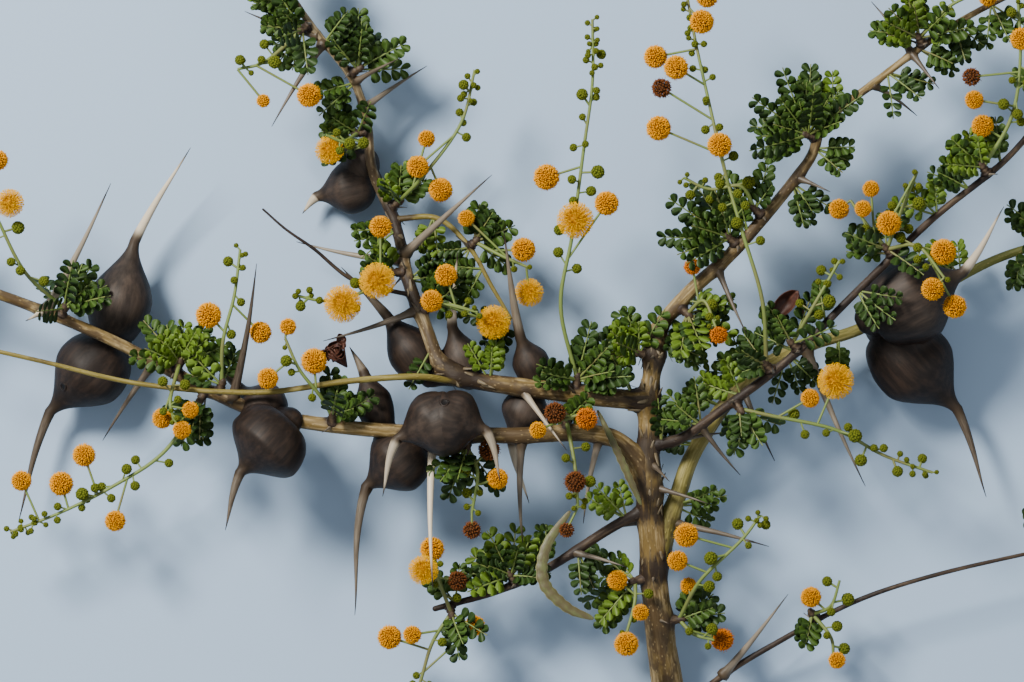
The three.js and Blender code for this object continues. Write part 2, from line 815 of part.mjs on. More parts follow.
        route: [[66, -84, 8], [80, -70, 12], [87, -61, 13]],
        heads: [[58, -77, 3.9], [61, -68, 4.6], [62, -86, 3.2]],
        buds: 3,
      },
      { route: [[64, -103, 5], [71, -105, 6]], heads: [[74, -105, 4.4]], buds: 1 },
    ],
  },
  {
    name: "stem_left_spray", host: "main_stem", at: [50, -83], toward: 180,
    leaves: { toward: 185, spread: 80, count: 4, length: 22 },
    racemes: [
      {
        route: [[43, -92, 4], [40, -103, 6]],
        heads: [[37, -84, 3.9], [40, -106, 4.6], [45, -95, 3.2]],
        buds: 0,
      },
    ],
  },
  {
    name: "lower_left_spray", host: "lower_left_bough", at: [1, -85], toward: 90,
    leaves: { toward: 100, spread: 170, count: 6, length: 18 },
    racemes: [],
  },
  {
    name: "lower_tip_spray", host: "lower_left_bough", at: [-22, -92.5], toward: 260,
    leaves: { toward: 310, spread: 60, count: 2, length: 16 },
    racemes: [
      {
        route: [[-25, -86, 5], [-29, -76, 7]],
        heads: [[-28, -73, 4.6], [-31, -80, 5.4], [-19, -84, 3.9]],
        buds: 0,
      },
      {
        route: [[-28, -106, -1], [-32, -119, -3], [-36, -131, -4]],
        heads: [[-43, -104, 4.6], [-35, -103, 3.5], [-13, -100, 3.9]],
        buds: 2,
      },
    ],
  },
  {
    name: "low_twig_spray", host: "lower_right_twig", at: [107, -98.5], toward: 60,
    leaves: { toward: 290, spread: 60, count: 2, length: 12 },
    racemes: [
      { route: [[112, -93, 6], [115, -84, 8]], heads: [[105, -90, 4]], buds: 2 },
      { route: [[112, -104, 3], [113, -111, 3]], heads: [[114, -112, 3.3]], buds: 1 },
    ],
  },
  {
    name: "low_tip_spray", host: "lower_right_twig", at: [187, -73.5], toward: 45,
    leaves: { toward: 10, spread: 200, count: 4, length: 15 },
    racemes: [],
  },
];

const limbs = new Map(LIMBS.map((spec) => [spec.name, new Limb(spec)]));
const space = new Space();
const branch = new THREE.Group();
branch.position.set(-DRAWING_CENTRE.x, -DRAWING_CENTRE.y, 0);

// Adds a finished solid to the branch as one named piece.
function place(name, made, colour, roughness) {
  const mesh = made.getMesh();
  const geometry = new THREE.BufferGeometry();
  geometry.setAttribute("position", new THREE.Float32BufferAttribute(mesh.vertProperties, 3));
  geometry.setIndex(new THREE.Uint32BufferAttribute(mesh.triVerts, 1));
  const material = new THREE.MeshStandardMaterial({ color: colour, roughness, metalness: 0 });
  const piece = new THREE.Mesh(geometry, material);
  piece.name = name;
  branch.add(piece);
}

// A limb with its spines, cut clear of the limb that it branches from.
function growLimb(spec) {
  const limb = limbs.get(spec.name);
  const parts = [limb.body()];
  for (const [x, y, tipX, tipY, rise] of SPINES[spec.name] ?? []) {
    const base = limb.curve.getPoint(limb.nearest(x, y));
    const tip = new THREE.Vector3(tipX, tipY, base.z + rise);
    const radii = [SPINE_RADIUS, SPINE_POINT];
    parts.push(solid(tube([base, tip], radii, SIDES.spine)));
    space.add(capsulesAlong([base, tip], radii));
  }
  space.add(limb.capsules());
  const cutters = spec.parent ? [limbs.get(spec.parent).sleeve()] : [];
  place(spec.name, fused(parts, cutters), spec.colour, ROUGHNESS.bark);
}

// The rings of one gall lobe and of the spine that it ends in.
function lobeRings({ root, neck, tip, girth, fullness }, drop) {
  const [start, end, spineTip] = [root, neck, tip].map(point);
  const centres = [];
  const radii = [];
  for (const u of GALL_RINGS) {
    centres.push(start.clone().lerp(end, u));
    const inner = (fullness - u) / fullness;
    const outer = (u - fullness) / (1 - fullness);
    radii.push(
      u < fullness
        ? girth * mix(Math.sqrt(1 - inner * inner), 1, GALL_ROOT_SHARE)
        : mix(GALL_NECK_RADIUS, girth, 0.5 + 0.5 * Math.cos(Math.PI * outer)),
    );
  }
  centres.push(end.clone().lerp(spineTip, 0.5), spineTip);
  radii.push(mix(GALL_NECK_RADIUS, SPINE_POINT, 0.5) * GALL_SPINE_WAIST, SPINE_POINT);
  for (const centre of centres) centre.z -= drop;
  return { centres, radii };
}

// A pair of lobes seated on a bough and joined at their roots. One that rests is lowered until it touches
// the surface.
function growGall({ name, boughs, lobes, rests, colour }) {
  const cutters = boughs.map((bough) => limbs.get(bough).sleeve());
  const make = (drop) => {
    const rings = lobes.map((lobe) => lobeRings(lobe, drop));
    const solids = rings.map(({ centres, radii }, i) =>
      solid(tube(centres, radii, lobes[i].girth > GREAT_GIRTH ? SIDES.gall : SIDES.smallGall)),
    );
    const [one, other] = rings;
    const bridge = tube([one.centres[0], other.centres[0]], [one.radii[0], other.radii[0]], SIDES.smallGall);
    return { rings, made: fused([...solids, solid(bridge)], cutters) };
  };
  const lowest = make(0).made.boundingBox().min[2];
  const { rings, made } = make(rests ? lowest : 0);
  for (const { centres, radii } of rings) space.add(swellingCapsules(centres, radii));
  place(name, made, colour, ROUGHNESS.gall);
}

// A flat pod, widest in its middle.
function growPod({ name, bends, halfWidth, colour }) {
  const curve = new THREE.CatmullRomCurve3(bends.map(point), false, "catmullrom", 0.5);
  const centres = Array.from({ length: POD_STEPS + 1 }, (_, i) => curve.getPoint(i / POD_STEPS));
  const widths = centres.map((_, i) => {
    const fullness = Math.sin((Math.PI * (i + 0.5)) / (POD_STEPS + 1));
    return halfWidth * mix(POD_END_SHARE, 1, fullness);
  });
  const rings = centres.map((centre, i) => {
    const along = centres[Math.min(i + 1, POD_STEPS)].clone().sub(centres[Math.max(i - 1, 0)]).normalize();
    const up = squareTo(along, new THREE.Vector3(0, 0, 1)).multiplyScalar(POD_THICKNESS / 2);
    const across = along.clone().cross(up).setLength(widths[i]);
    return [up, across, up.clone().negate(), across.clone().negate()].map((v) => centre.clone().add(v));
  });
  place(name, fused([solid(skin(rings))]), colour, ROUGHNESS.pod);
  space.add(capsulesAlong(centres, widths));
}

// A pinna: a bare stalk, then a ridged blade with pointed teeth on both sides, each standing for two leaflets
// or more. Its stations are left edge, ridge and right edge.
function pinna(base, line, normal, length) {
  const across = normal.clone().cross(line);
  const pairs = Math.max(3, Math.round(length / LEAFLET_PITCH));
  const at = (s, x, z) =>
    base
      .clone()
      .addScaledVector(line, s * length)
      .addScaledVector(across, x)
      .addScaledVector(normal, z - PINNA_DROOP * s * s);
  const along = (k) => mix(PINNA_STALK_SHARE, 1, k / pairs);
  const stations = [0];
  for (let k = 0; k < pairs; k++) stations.push(along(k));
  const edges = stations.map((s, i) => {
    const half = i < 2 ? PINNA_RIB_HALF_WIDTH : PINNA_HALF_WIDTH * PINNA_NOTCH_SHARE;
    return [at(s, half, 0), at(s, 0, PINNA_THICKNESS), at(s, -half, 0)];
  });
  const teeth = Array.from({ length: pairs }, (_, k) => {
    const width = PINNA_HALF_WIDTH * (k === pairs - 1 ? PINNA_LAST_TOOTH : 1);
    return [width, -width].map((x) => at(along(k + PINNA_TOOTH_LEAN), x, 0));
  });
  const corners = [...edges.flat(), ...teeth.flat(), at(1, 0, 0)];
  const tip = corners.length - 1;
  const index = [0, 2, 1];
  for (let i = 0; i <= pairs; i++) {
    const [left, ridge, right] = [3 * i, 3 * i + 1, 3 * i + 2];
    const [left2, ridge2, right2] = i === pairs ? [tip, tip, tip] : [left + 3, ridge + 3, right + 3];
    const pair = 3 * (pairs + 1) + 2 * (i - 1);
    const [leftTooth, rightTooth] = i === 0 ? [left2, right2] : [pair, pair + 1];
    const faces = [
      [ridge, ridge2, leftTooth],
      [ridge, leftTooth, left],
      [ridge, rightTooth, ridge2],
      [ridge, right, rightTooth],
      [ridge2, left2, leftTooth],
      [ridge2, rightTooth, right2],
      [left, leftTooth, left2],
      [right, right2, rightTooth],
      [left, left2, right],
      [right, left2, right2],
    ];
    index.push(...faces.filter((face) => new Set(face).size === 3).flat());
  }
  const geometry = new THREE.BufferGeometry().setFromPoints(corners).setIndex(index);
  const capsules = [{ a: at(PINNA_STALK_SHARE, 0, 0), b: at(1, 0, 0), r: PINNA_RADIUS.rib }];
  teeth.forEach((tooth, k) => {
    const foot = at(along(k + PINNA_TOOTH_ROOT), 0, 0);
    for (const end of tooth) capsules.push({ a: foot, b: end, r: PINNA_RADIUS.tooth });
  });
  return { geometry, capsules };
}

// A great head: a ball of 20 faces, and its stalk.
function greatHead(from, centre, radius) {
  const ball = new THREE.IcosahedronGeometry(radius).translate(centre.x, centre.y, centre.z);
  return [ball, tube([from, centre], [STALK_RADIUS, STALK_RADIUS], SIDES.stalk)];
}

// A small head or a bud: an octahedron whose lowest face is drawn out into its stalk.
function smallHead(from, centre, radius) {
  const aim = centre.clone().sub(from).normalize();
  const size = radius * BALL_TO_OCTAHEDRON;
  const half = size / Math.sqrt(3);
  const face = size * Math.sqrt(2 / 3);
  const centres = [
    from,
    centre.clone().addScaledVector(aim, -half * HEAD_NECK),
    centre.clone().addScaledVector(aim, -half),
    centre.clone().addScaledVector(aim, half),
  ];
  return tube(centres, [STALK_RADIUS, STALK_RADIUS, face, face], SIDES.stalk, [0, 0, 0, Math.PI / 3]);
}

// A spray: a spur with racemes and a fan of pinnae, where nothing else is in the way.
class Spray {
  constructor(spec) {
    this.spec = spec;
    this.host = limbs.get(spec.host);
    this.next = chance(seedOf(spec.name));
    const t = this.host.nearest(...spec.at);
    const node = this.host.curve.getPoint(t);
    const out = squareTo(this.host.curve.getTangent(t), heading(spec.toward, spec.rise ?? 25));
    const foot = node.clone().addScaledVector(out, this.host.radiusAt(t) + SEAT_GAP);
    const tip = foot.clone().addScaledVector(out, SPUR_HEIGHT);
    this.heart = tip.clone().addScaledVector(out, -SPUR_RADIUS);
    this.solids = [solid(tube([foot, tip], [SPUR_RADIUS, SPUR_RADIUS], SIDES.twig))];
    this.firstStretches = [];
  }

  // Adds a piece if its space is free.
  take(geometries, capsules, grownFrom = []) {
    if (!space.isFree(capsules, grownFrom)) return false;
    space.add(capsules);
    for (const geometry of geometries) this.solids.push(solid(geometry));
    return true;
  }

  growPinnae({ toward, spread, count, length }) {
    for (let i = 0; i < count; i++) {
      const share = count > 1 ? i / (count - 1) - 0.5 : 0;
      for (let turn = 0; turn < PINNA_TRIES; turn++) {
        const angle = toward + share * spread + (turn / 2) * this.next(-7, 7);
        const rise = this.next(-22, 34) + turn * this.next(-3, 3);
        const line = heading(angle, rise);
        const lean = new THREE.Vector3(this.next(-0.5, 0.5), this.next(-0.5, 0.5), 1);
        const blade = pinna(this.heart, line, squareTo(line, lean), length * this.next(0.85, 1.12));
        if (this.take([blade.geometry], blade.capsules)) break;
      }
    }
  }

  // A round head on a stalk from the stem.
  growHead(from, centre, radius, stem) {
    const pieces = radius >= GREAT_HEAD ? greatHead(from, centre, radius) : [smallHead(from, centre, radius)];
    const capsules = [
      { a: centre, b: centre, r: radius },
      { a: from, b: centre, r: STALK_RADIUS, root: true },
    ];
    return this.take(pieces, capsules, stem);
  }

  // A raceme: its stem at the first free height, then its open heads, then its buds.
  growRaceme({ route, heads, buds }) {
    const steps = Math.max(3, route.length * 2 - 1);
    const grown = LIFTS.some((lift) => {
      const bends = route.map(([x, y, rise]) => new THREE.Vector3(x, y, this.heart.z + rise + lift));
      const curve = new THREE.CatmullRomCurve3([this.heart, ...bends], false, "catmullrom", 0.5);
      const centres = Array.from({ length: steps + 1 }, (_, i) => curve.getPoint(i / steps));
      const radii = centres.map((_, i) => mix(RACEME_RADIUS.base, RACEME_RADIUS.tip, i / steps));
      const stem = capsulesAlong(centres, radii);
      stem[0].root = true;
      if (!this.take([tube(centres, radii, SIDES.stalk)], stem, this.firstStretches)) return false;
      this.firstStretches.push(stem[0]);
      for (const [x, y, radius] of heads) this.placeHead(stem, x, y, radius);
      this.growBuds(curve, heads.length ? BUDS_FROM.afterHeads : BUDS_FROM.bare, buds, stem);
      return true;
    });
    if (!grown) console.warn(this.spec.name + ": no room for a raceme");
  }

  growBuds(curve, first, count, stem) {
    for (let i = 0; i < count; i++) {
      const share = (i + 0.5) / count;
      const from = curve.getPoint(mix(first, 1, share));
      const radius = mix(BUD_RADIUS.base, BUD_RADIUS.tip, share);
      const reach = mix(BUD_REACH.base, BUD_REACH.tip, share);
      for (let turn = 0; turn < BUD_TRIES; turn++) {
        const aim = heading(i * GOLDEN_ANGLE + turn * BUD_TURN + this.next(-20, 20), this.next(-35, 45));
        if (this.growHead(from, from.clone().addScaledVector(aim, reach), radius, stem)) break;
      }
    }
  }

  // Sets an open head at its place in the drawing, or as near as it is free, on the nearest part of its stem.
  placeHead(stem, x, y, radius) {
    const distance = (p) => Math.hypot(p.x - x, p.y - y);
    const roots = stem.map((stretch) => stretch.b).sort((a, b) => distance(a) - distance(b));
    const free = SHIFTS.some(([dx, dy]) =>
      LIFTS.some((lift) =>
        roots.slice(0, NEAREST_ROOTS).some((from) => {
          const centre = new THREE.Vector3(x + dx, y + dy, from.z + lift);
          return this.growHead(from, centre, radius, stem);
        }),
      ),
    );
    if (!free) console.warn(this.spec.name + ": no room for the head at " + x + ", " + y);
  }

  finish() {
    place(this.spec.name, fused(this.solids), LEAF_GREEN, ROUGHNESS.spray);
  }
}

for (const spec of LIMBS) growLimb(spec);
for (const spec of GALLS) growGall(spec);
for (const spec of PODS) growPod(spec);
const sprays = SPRAYS.map((spec) => new Spray(spec));
for (const spray of sprays) spray.spec.racemes.forEach((raceme) => spray.growRaceme(raceme));
for (const spray of sprays) spray.growPinnae(spray.spec.leaves);
for (const spray of sprays) spray.finish();

export default branch;
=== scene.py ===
"""A cut flowering branch of a swollen-thorn acacia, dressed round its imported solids.

The branch lies on a level floor, under a camera that looks straight down on it. Its limbs, galls, pods and
sprays are worked out here by the same rule and from the same sizes as in the part's source: in millimetres,
X to the right, Y towards the upper tips and Z up from the floor. Each solid is then replaced by finer meshes
in the same place, and the sprays are carried on to leaflets, stamens, buds and smaller leaves in their reach.
"""

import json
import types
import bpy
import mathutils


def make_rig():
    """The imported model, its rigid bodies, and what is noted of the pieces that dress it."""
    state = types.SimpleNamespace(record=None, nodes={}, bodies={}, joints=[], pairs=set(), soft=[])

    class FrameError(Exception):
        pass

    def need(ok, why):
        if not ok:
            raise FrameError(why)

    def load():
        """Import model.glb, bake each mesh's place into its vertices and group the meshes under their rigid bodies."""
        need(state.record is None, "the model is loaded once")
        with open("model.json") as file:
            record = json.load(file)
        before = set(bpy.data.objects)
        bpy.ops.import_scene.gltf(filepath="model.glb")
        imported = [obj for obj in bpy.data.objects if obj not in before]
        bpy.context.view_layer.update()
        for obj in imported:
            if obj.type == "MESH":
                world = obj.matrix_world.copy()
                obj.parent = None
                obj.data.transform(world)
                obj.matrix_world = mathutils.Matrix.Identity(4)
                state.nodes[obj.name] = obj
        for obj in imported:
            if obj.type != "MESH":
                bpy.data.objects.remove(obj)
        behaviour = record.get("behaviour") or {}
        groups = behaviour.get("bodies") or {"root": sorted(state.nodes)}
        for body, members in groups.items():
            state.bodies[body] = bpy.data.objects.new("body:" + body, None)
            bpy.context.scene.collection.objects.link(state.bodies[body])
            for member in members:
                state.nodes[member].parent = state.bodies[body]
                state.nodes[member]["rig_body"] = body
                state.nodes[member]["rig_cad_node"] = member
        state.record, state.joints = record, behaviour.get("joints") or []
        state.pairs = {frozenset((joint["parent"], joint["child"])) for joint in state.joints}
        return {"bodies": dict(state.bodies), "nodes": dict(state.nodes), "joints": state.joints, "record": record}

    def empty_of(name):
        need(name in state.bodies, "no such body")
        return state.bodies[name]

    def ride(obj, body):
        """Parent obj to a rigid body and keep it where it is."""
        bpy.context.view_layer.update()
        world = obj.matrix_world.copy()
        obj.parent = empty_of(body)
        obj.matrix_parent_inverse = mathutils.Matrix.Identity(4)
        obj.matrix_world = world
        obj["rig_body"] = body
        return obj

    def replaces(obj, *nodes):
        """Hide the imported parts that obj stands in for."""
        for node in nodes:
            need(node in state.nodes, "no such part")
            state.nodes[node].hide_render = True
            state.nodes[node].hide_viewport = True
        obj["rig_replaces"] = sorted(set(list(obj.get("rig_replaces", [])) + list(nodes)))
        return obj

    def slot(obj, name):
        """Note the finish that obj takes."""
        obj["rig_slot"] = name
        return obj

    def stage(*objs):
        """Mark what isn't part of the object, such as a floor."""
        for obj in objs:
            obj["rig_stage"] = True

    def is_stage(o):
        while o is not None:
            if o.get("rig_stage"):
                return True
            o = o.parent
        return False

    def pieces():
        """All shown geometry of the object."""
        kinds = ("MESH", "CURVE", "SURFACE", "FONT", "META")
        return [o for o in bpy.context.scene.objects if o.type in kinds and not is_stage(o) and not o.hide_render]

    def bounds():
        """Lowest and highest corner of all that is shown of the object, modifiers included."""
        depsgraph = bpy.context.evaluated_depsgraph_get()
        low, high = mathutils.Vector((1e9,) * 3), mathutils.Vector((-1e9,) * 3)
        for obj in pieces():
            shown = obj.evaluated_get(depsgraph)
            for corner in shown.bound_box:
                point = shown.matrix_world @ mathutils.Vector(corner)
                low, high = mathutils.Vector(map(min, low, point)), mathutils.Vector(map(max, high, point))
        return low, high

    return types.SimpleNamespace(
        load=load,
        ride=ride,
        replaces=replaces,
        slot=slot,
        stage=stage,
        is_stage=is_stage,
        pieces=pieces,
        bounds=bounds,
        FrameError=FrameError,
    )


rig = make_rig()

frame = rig.load()

import json
import logging
import math
from dataclasses import dataclass, field
from enum import Enum
from functools import cached_property
from typing import Any, Callable, Iterable, Sequence

import bpy
import numpy as np
from mathutils import Vector, noise
from mathutils.bvhtree import BVHTree

log = logging.getLogger("acacia branch")

Vec = np.ndarray
Colour = tuple[float, float, float]
Triple = tuple[float, float, float]

SIZE_FILE = "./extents.json"
BODY = "root"

# The drawing
MM = 0.001  # metres in a millimetre
DRAWING_CENTRE = np.array((-8.5, 3.6, 0.0))  # over the frame's origin
UP = np.array((0.0, 0.0, 1.0))
STAND_IN_UP = np.array((0.36, 0.48, 0.8))  # used where up is no side of a direction

# Gaps and the floor
CLEARANCE = 0.3  # between neighbouring pieces
FLOOR_MARGIN = 1.2  # the least height of foliage and blossom
SEAT_GAP = 0.4  # between a spur's foot and its limb
NODE_SEARCH = 400  # fineness of the search for a node along its limb
TANGENT_STEP = 0.0001  # share of a curve on each side of a tangent
DOME_ANGLES = (15, 38, 60, 78)  # of the rings that round off an end, in degrees

# Spines and galls
SPINE_RADIUS = 1.25
SPINE_POINT = 0.12
SMALL_THORN_RADIUS = 0.55
SMALL_THORN_LENGTH = (5.0, 10.0)
SMALL_THORN_GAP = 1.2  # from the bark to where it takes room
SMALL_THORN_TONE = 0.35
GREAT_GIRTH = 10.0  # above which a lobe's solid has more sides
GREAT_GALL_SIDES = 8
SMALL_GALL_SIDES = 6
GALL_RINGS = (0.0, 0.12, 0.32, 0.56, 0.8, 1.0)
GALL_NECK_RADIUS = 1.9
GALL_ROOT_SHARE = 0.35  # of the girth, where the lobe leaves its bough
GALL_SPINE_WAIST = 0.85  # thinning of a gall's spine half-way along

# Foliage
SPUR_RADIUS = 1.6
SPUR_HEIGHT = 3.4
PINNA_HALF_WIDTH = 4.0
PINNA_TOOTH_ROOT = 0.4
PINNA_TOOTH_LEAN = 0.72
PINNA_LAST_TOOTH = 0.8
PINNA_RIB_ROOM = 1.0
PINNA_TOOTH_ROOM = 0.9
TOOTH_PITCH = 7.0
PINNA_DROOP = 1.8
PINNA_STALK_SHARE = 0.24
PINNA_TRIES = 22
GOLDEN_ANGLE = 137.5

SMALL_PINNAE = 3.2  # how many shorter pinnae fill a fan, for each of its longer ones
SMALL_PINNA_LENGTH = (0.5, 0.9)
SMALL_PINNA_OVERLAP = -1.5  # how far a shorter pinna may run into the room of another leaf
LEAFY_LIMBS = (
    "upper_right_bough", "middle_bough", "upper_left_bough", "right_bough", "right_thin_bough",
    "lower_left_bough", "arching_twig",
)
TUFT_PITCH = 17.0  # along a leafy bough
TUFT_STRAY = 0.35  # of the pitch
TUFT_PINNAE = 4
TUFT_LENGTH = (10.0, 17.0)
TUFT_DEPTH = 0.6  # how far its leaves start inside the bark

# Blossom
RACEME_RADIUS = (0.75, 0.5)
STALK_RADIUS = 0.42
BUD_RADIUS = (2.7, 1.7)
BUD_REACH = (6.5, 3.6)
BUD_TRIES = 6
BUD_TURN = 50.0
BUDS_AFTER_HEADS = 0.45
BUDS_BARE = 0.25
NEAREST_ROOTS = 3
SMALL_BUD_PITCH = 3.3
SMALL_BUD_RADIUS = (2.4, 1.0)
SMALL_BUD_REACH = (4.0, 1.2)
SMALL_BUDS_FROM = 0.3
SMALL_BUDS_CROWD = 0.82  # from here on they sit tight together
SMALL_BUD_SQUEEZE = 0.5  # the share of its radius that a tight one needs
SMALL_STALK_SHARE = 0.75  # of a stalk's radius
DRY_CLUSTER_LEAVES = 13

# Pods
POD_STEPS = 9
POD_END_SHARE = 0.3

# Where a place is taken: heights and then sideways shifts tried in turn
LIFTS = (0, 3, -3, 6, -6, 9, -9, 12, -12, 16, -16, 20)
SHIFTS = ((0, 0), (2, 0), (-2, 0), (0, 2), (0, -2), (3, 3), (-3, -3), (3, -3), (-3, 3))


class Bark(Enum):
    """The looks of bark that the limbs show."""

    OLIVE = "olive"
    KHAKI = "khaki"
    ASHEN = "ashen"
    DARK = "dark"
    GREEN = "green"
    DEAD = "dead"


class Bloom(Enum):
    """How far a flower head has come."""

    OPEN = "open"
    GOLDEN = "golden"
    SPENT = "spent"
    WITHERED = "withered"


class Tint(Enum):
    """The greens that are dealt out to the leaves by spray."""

    DEEP = "deep"
    MIDDLE = "middle"
    FRESH = "fresh"


def mix(low: Any, high: Any, share: Any) -> Any:
    """The value at a share of the way from low to high."""
    return (1 - share) * low + share * high


def unit(direction: Vec) -> Vec:
    """A direction's unit vector."""
    return direction / math.sqrt(float(direction @ direction))
def heading(angle: float, rise: float = 0.0) -> Vec:
    """The unit vector at degrees from the right, turning towards the upper tips, and degrees above level."""
    a, e = math.radians(angle), math.radians(rise)
    return np.array((math.cos(a) * math.cos(e), math.sin(a) * math.cos(e), math.sin(e)))


def square_to(direction: Vec, wanted: Vec) -> Vec:
    """A unit vector at right angles to a direction, as near to a wanted one as that allows.

    Args:
        direction: A unit vector.
        wanted: The vector to come near to.

    Returns:
        The unit vector.
    """
    side = wanted - direction * float(wanted @ direction)
    if float(side @ side) < 1e-6:
        return square_to(direction, STAND_IN_UP)
    return unit(side)


class Chance:
    """A chance generator whose run of numbers depends on a name alone (mulberry32)."""

    MASK = 0xFFFFFFFF

    def __init__(self, name: str) -> None:
        """Starts the run of numbers that belongs to a name.

        Args:
            name: The name.
        """
        self.state = 7
        for letter in name:
            self.state = (self.state * 31 + ord(letter)) & self.MASK

    def next(self, low: float = 0.0, high: float = 1.0) -> float:
        """The next number from low up to high.

        Args:
            low: The low end.
            high: The high end, never reached.

        Returns:
            The number.
        """
        self.state = (self.state + 0x6D2B79F5) & self.MASK
        t = self.state
        t = ((t ^ (t >> 15)) * (t | 1)) & self.MASK
        t ^= (t + (((t ^ (t >> 7)) * (t | 61)) & self.MASK)) & self.MASK
        return low + ((high - low) * (t ^ (t >> 14))) / 4294967296

    def direction(self) -> Vec:
        """A unit vector that may point anywhere.

        Returns:
            The vector.
        """
        z = self.next(-1, 1)
        a = self.next(0, 2 * math.pi)
        flat = math.sqrt(1 - z * z)
        return np.array((flat * math.cos(a), flat * math.sin(a), z))


class SmoothCurve:
    """A smooth curve that passes through its bends, with even weight on each."""

    def __init__(self, bends: Sequence[Sequence[float]]) -> None:
        """Carries the bends on by one at each end.

        Args:
            bends: The points that the curve runs through.
        """
        points = np.array(bends, dtype=float)
        before = (points[0] - points[1]) + points[0]
        after = (points[-1] - points[-2]) + points[-1]
        self.spans = len(points) - 1
        self.knots = np.vstack((before, points, after))

    def points(self, shares: Sequence[float]) -> Vec:
        """The points at shares of the curve, each from 0 to 1.

        Args:
            shares: The shares.

        Returns:
            The points, one row for each.
        """
        place = np.asarray(shares, dtype=float) * self.spans
        first = np.minimum(np.floor(place), self.spans - 1).astype(int)
        w = (place - first)[:, None]
        p0, p1, p2, p3 = (self.knots[first + i] for i in range(4))
        t0, t1 = 0.5 * (p2 - p0), 0.5 * (p3 - p1)
        return p1 + t0 * w + (3 * p2 - 3 * p1 - 2 * t0 - t1) * w**2 + (2 * p1 - 2 * p2 + t0 + t1) * w**3

    def point(self, share: float) -> Vec:
        """The point at one share."""
        return self.points((share,))[0]

    def tangent(self, share: float) -> Vec:
        """The unit tangent at one share."""
        ends = self.points((max(0.0, share - TANGENT_STEP), min(1.0, share + TANGENT_STEP)))
        return unit(ends[1] - ends[0])

    def evenly(self, pitch: float) -> tuple[Vec, Vec, Vec]:
        """Places spaced by a pitch along the curve.

        Args:
            pitch: The spacing wanted.

        Returns:
            The share of the curve at each place, the points, and the length of curve up to each.
        """
        shares = np.linspace(0, 1, NODE_SEARCH + 1)
        run = run_along(self.points(shares))
        lengths = np.linspace(0, run[-1], max(3, int(run[-1] / pitch)) + 1)
        places = np.interp(lengths, run, shares)
        return places, self.points(places), lengths


def run_along(centres: Vec) -> Vec:
    """The length of a line up to each of its points."""
    return np.concatenate(((0.0,), np.cumsum(np.linalg.norm(np.diff(centres, axis=0), axis=1))))


def frames(centres: Vec) -> tuple[Vec, Vec]:
    """Two sideways directions at each centre of a limb, carried along without twisting.

    Args:
        centres: The limb's centre line.

    Returns:
        For each centre a unit vector across, and one square to that.
    """
    ahead = centres[np.minimum(np.arange(len(centres)) + 1, len(centres) - 1)]
    behind = centres[np.maximum(np.arange(len(centres)) - 1, 0)]
    across, other = np.empty_like(centres), np.empty_like(centres)
    side = UP
    for i, along in enumerate(ahead - behind):
        along = unit(along)
        side = square_to(along, side)
        across[i], other[i] = side, np.cross(along, side)
    return across, other


@dataclass(eq=False)
class Capsule:
    """Room that is kept: a straight stretch with a radius."""

    a: Vec
    b: Vec
    r: float
    root: bool = False  # it may touch what it grows from
    index: int = -1


class Space:
    """The room that is taken so far."""

    CAPACITY = 24000

    def __init__(self) -> None:
        """Starts empty."""
        self.count = 0
        self.a = np.zeros((self.CAPACITY, 3))
        self.b = np.zeros((self.CAPACITY, 3))
        self.r = np.zeros(self.CAPACITY)
        self.leafy = np.zeros(self.CAPACITY, dtype=bool)

    def add(self, capsules: Iterable[Capsule], leafy: bool = False) -> None:
        """Takes room.

        Args:
            capsules: The room.
            leafy: Whether smaller leaves may grow into its edge.
        """
        for capsule in capsules:
            capsule.index = self.count
            self.a[self.count], self.b[self.count], self.r[self.count] = capsule.a, capsule.b, capsule.r
            self.leafy[self.count] = leafy
            self.count += 1

    def gaps(self, c: Capsule) -> Vec:
        """The gap between one capsule and each that is taken.

        Args:
            c: The capsule.

        Returns:
            The gaps in millimetres; below zero where two overlap.
        """
        n = self.count
        d1 = c.b - c.a
        d2 = self.b[:n] - self.a[:n]
        r = c.a - self.a[:n]
        a = float(d1 @ d1) + 1e-9
        e = np.einsum("ij,ij->i", d2, d2) + 1e-9
        b, along, f = d2 @ d1, r @ d1, np.einsum("ij,ij->i", d2, r)
        denominator = a * e - b * b
        skew = denominator > 1e-6
        s = np.where(skew, np.clip((b * f - along * e) / np.where(skew, denominator, 1.0), 0, 1), 0.0)
        t = np.clip((b * s + f) / e, 0, 1)
        s = np.clip((b * t - along) / a, 0, 1)
        apart = r + d1 * s[:, None] - d2 * t[:, None]
        return np.sqrt(np.einsum("ij,ij->i", apart, apart)) - c.r - self.r[:n]

    def take(
        self,
        capsules: Sequence[Capsule],
        grown_from: Sequence[Capsule] = (),
        leafy: bool = False,
        leaf_gap: float = CLEARANCE,
    ) -> bool:
        """Takes room if all of it is free.

        Args:
            capsules: The room wanted.
            grown_from: What a capsule that is a root may touch.
            leafy: Whether smaller leaves may grow into its edge.
            leaf_gap: The gap kept to leafy room; below zero they may run into each other.

        Returns:
            Whether it was free.
        """
        for capsule in capsules:
            if min(capsule.a[2], capsule.b[2]) - capsule.r < FLOOR_MARGIN:
                return False
            gaps = self.gaps(capsule)
            if capsule.root and len(grown_from):
                gaps[[o.index for o in grown_from]] = math.inf
            if (gaps < np.where(self.leafy[: self.count], leaf_gap, CLEARANCE)).any():
                return False
        self.add(capsules, leafy)
        return True


def capsules_along(centres: Sequence[Vec], radii: Sequence[float]) -> list[Capsule]:
    """Capsules along a limb through its centres."""
    return [Capsule(a, b, float(max(r, s))) for a, b, r, s in zip(centres, centres[1:], radii, radii[1:])]


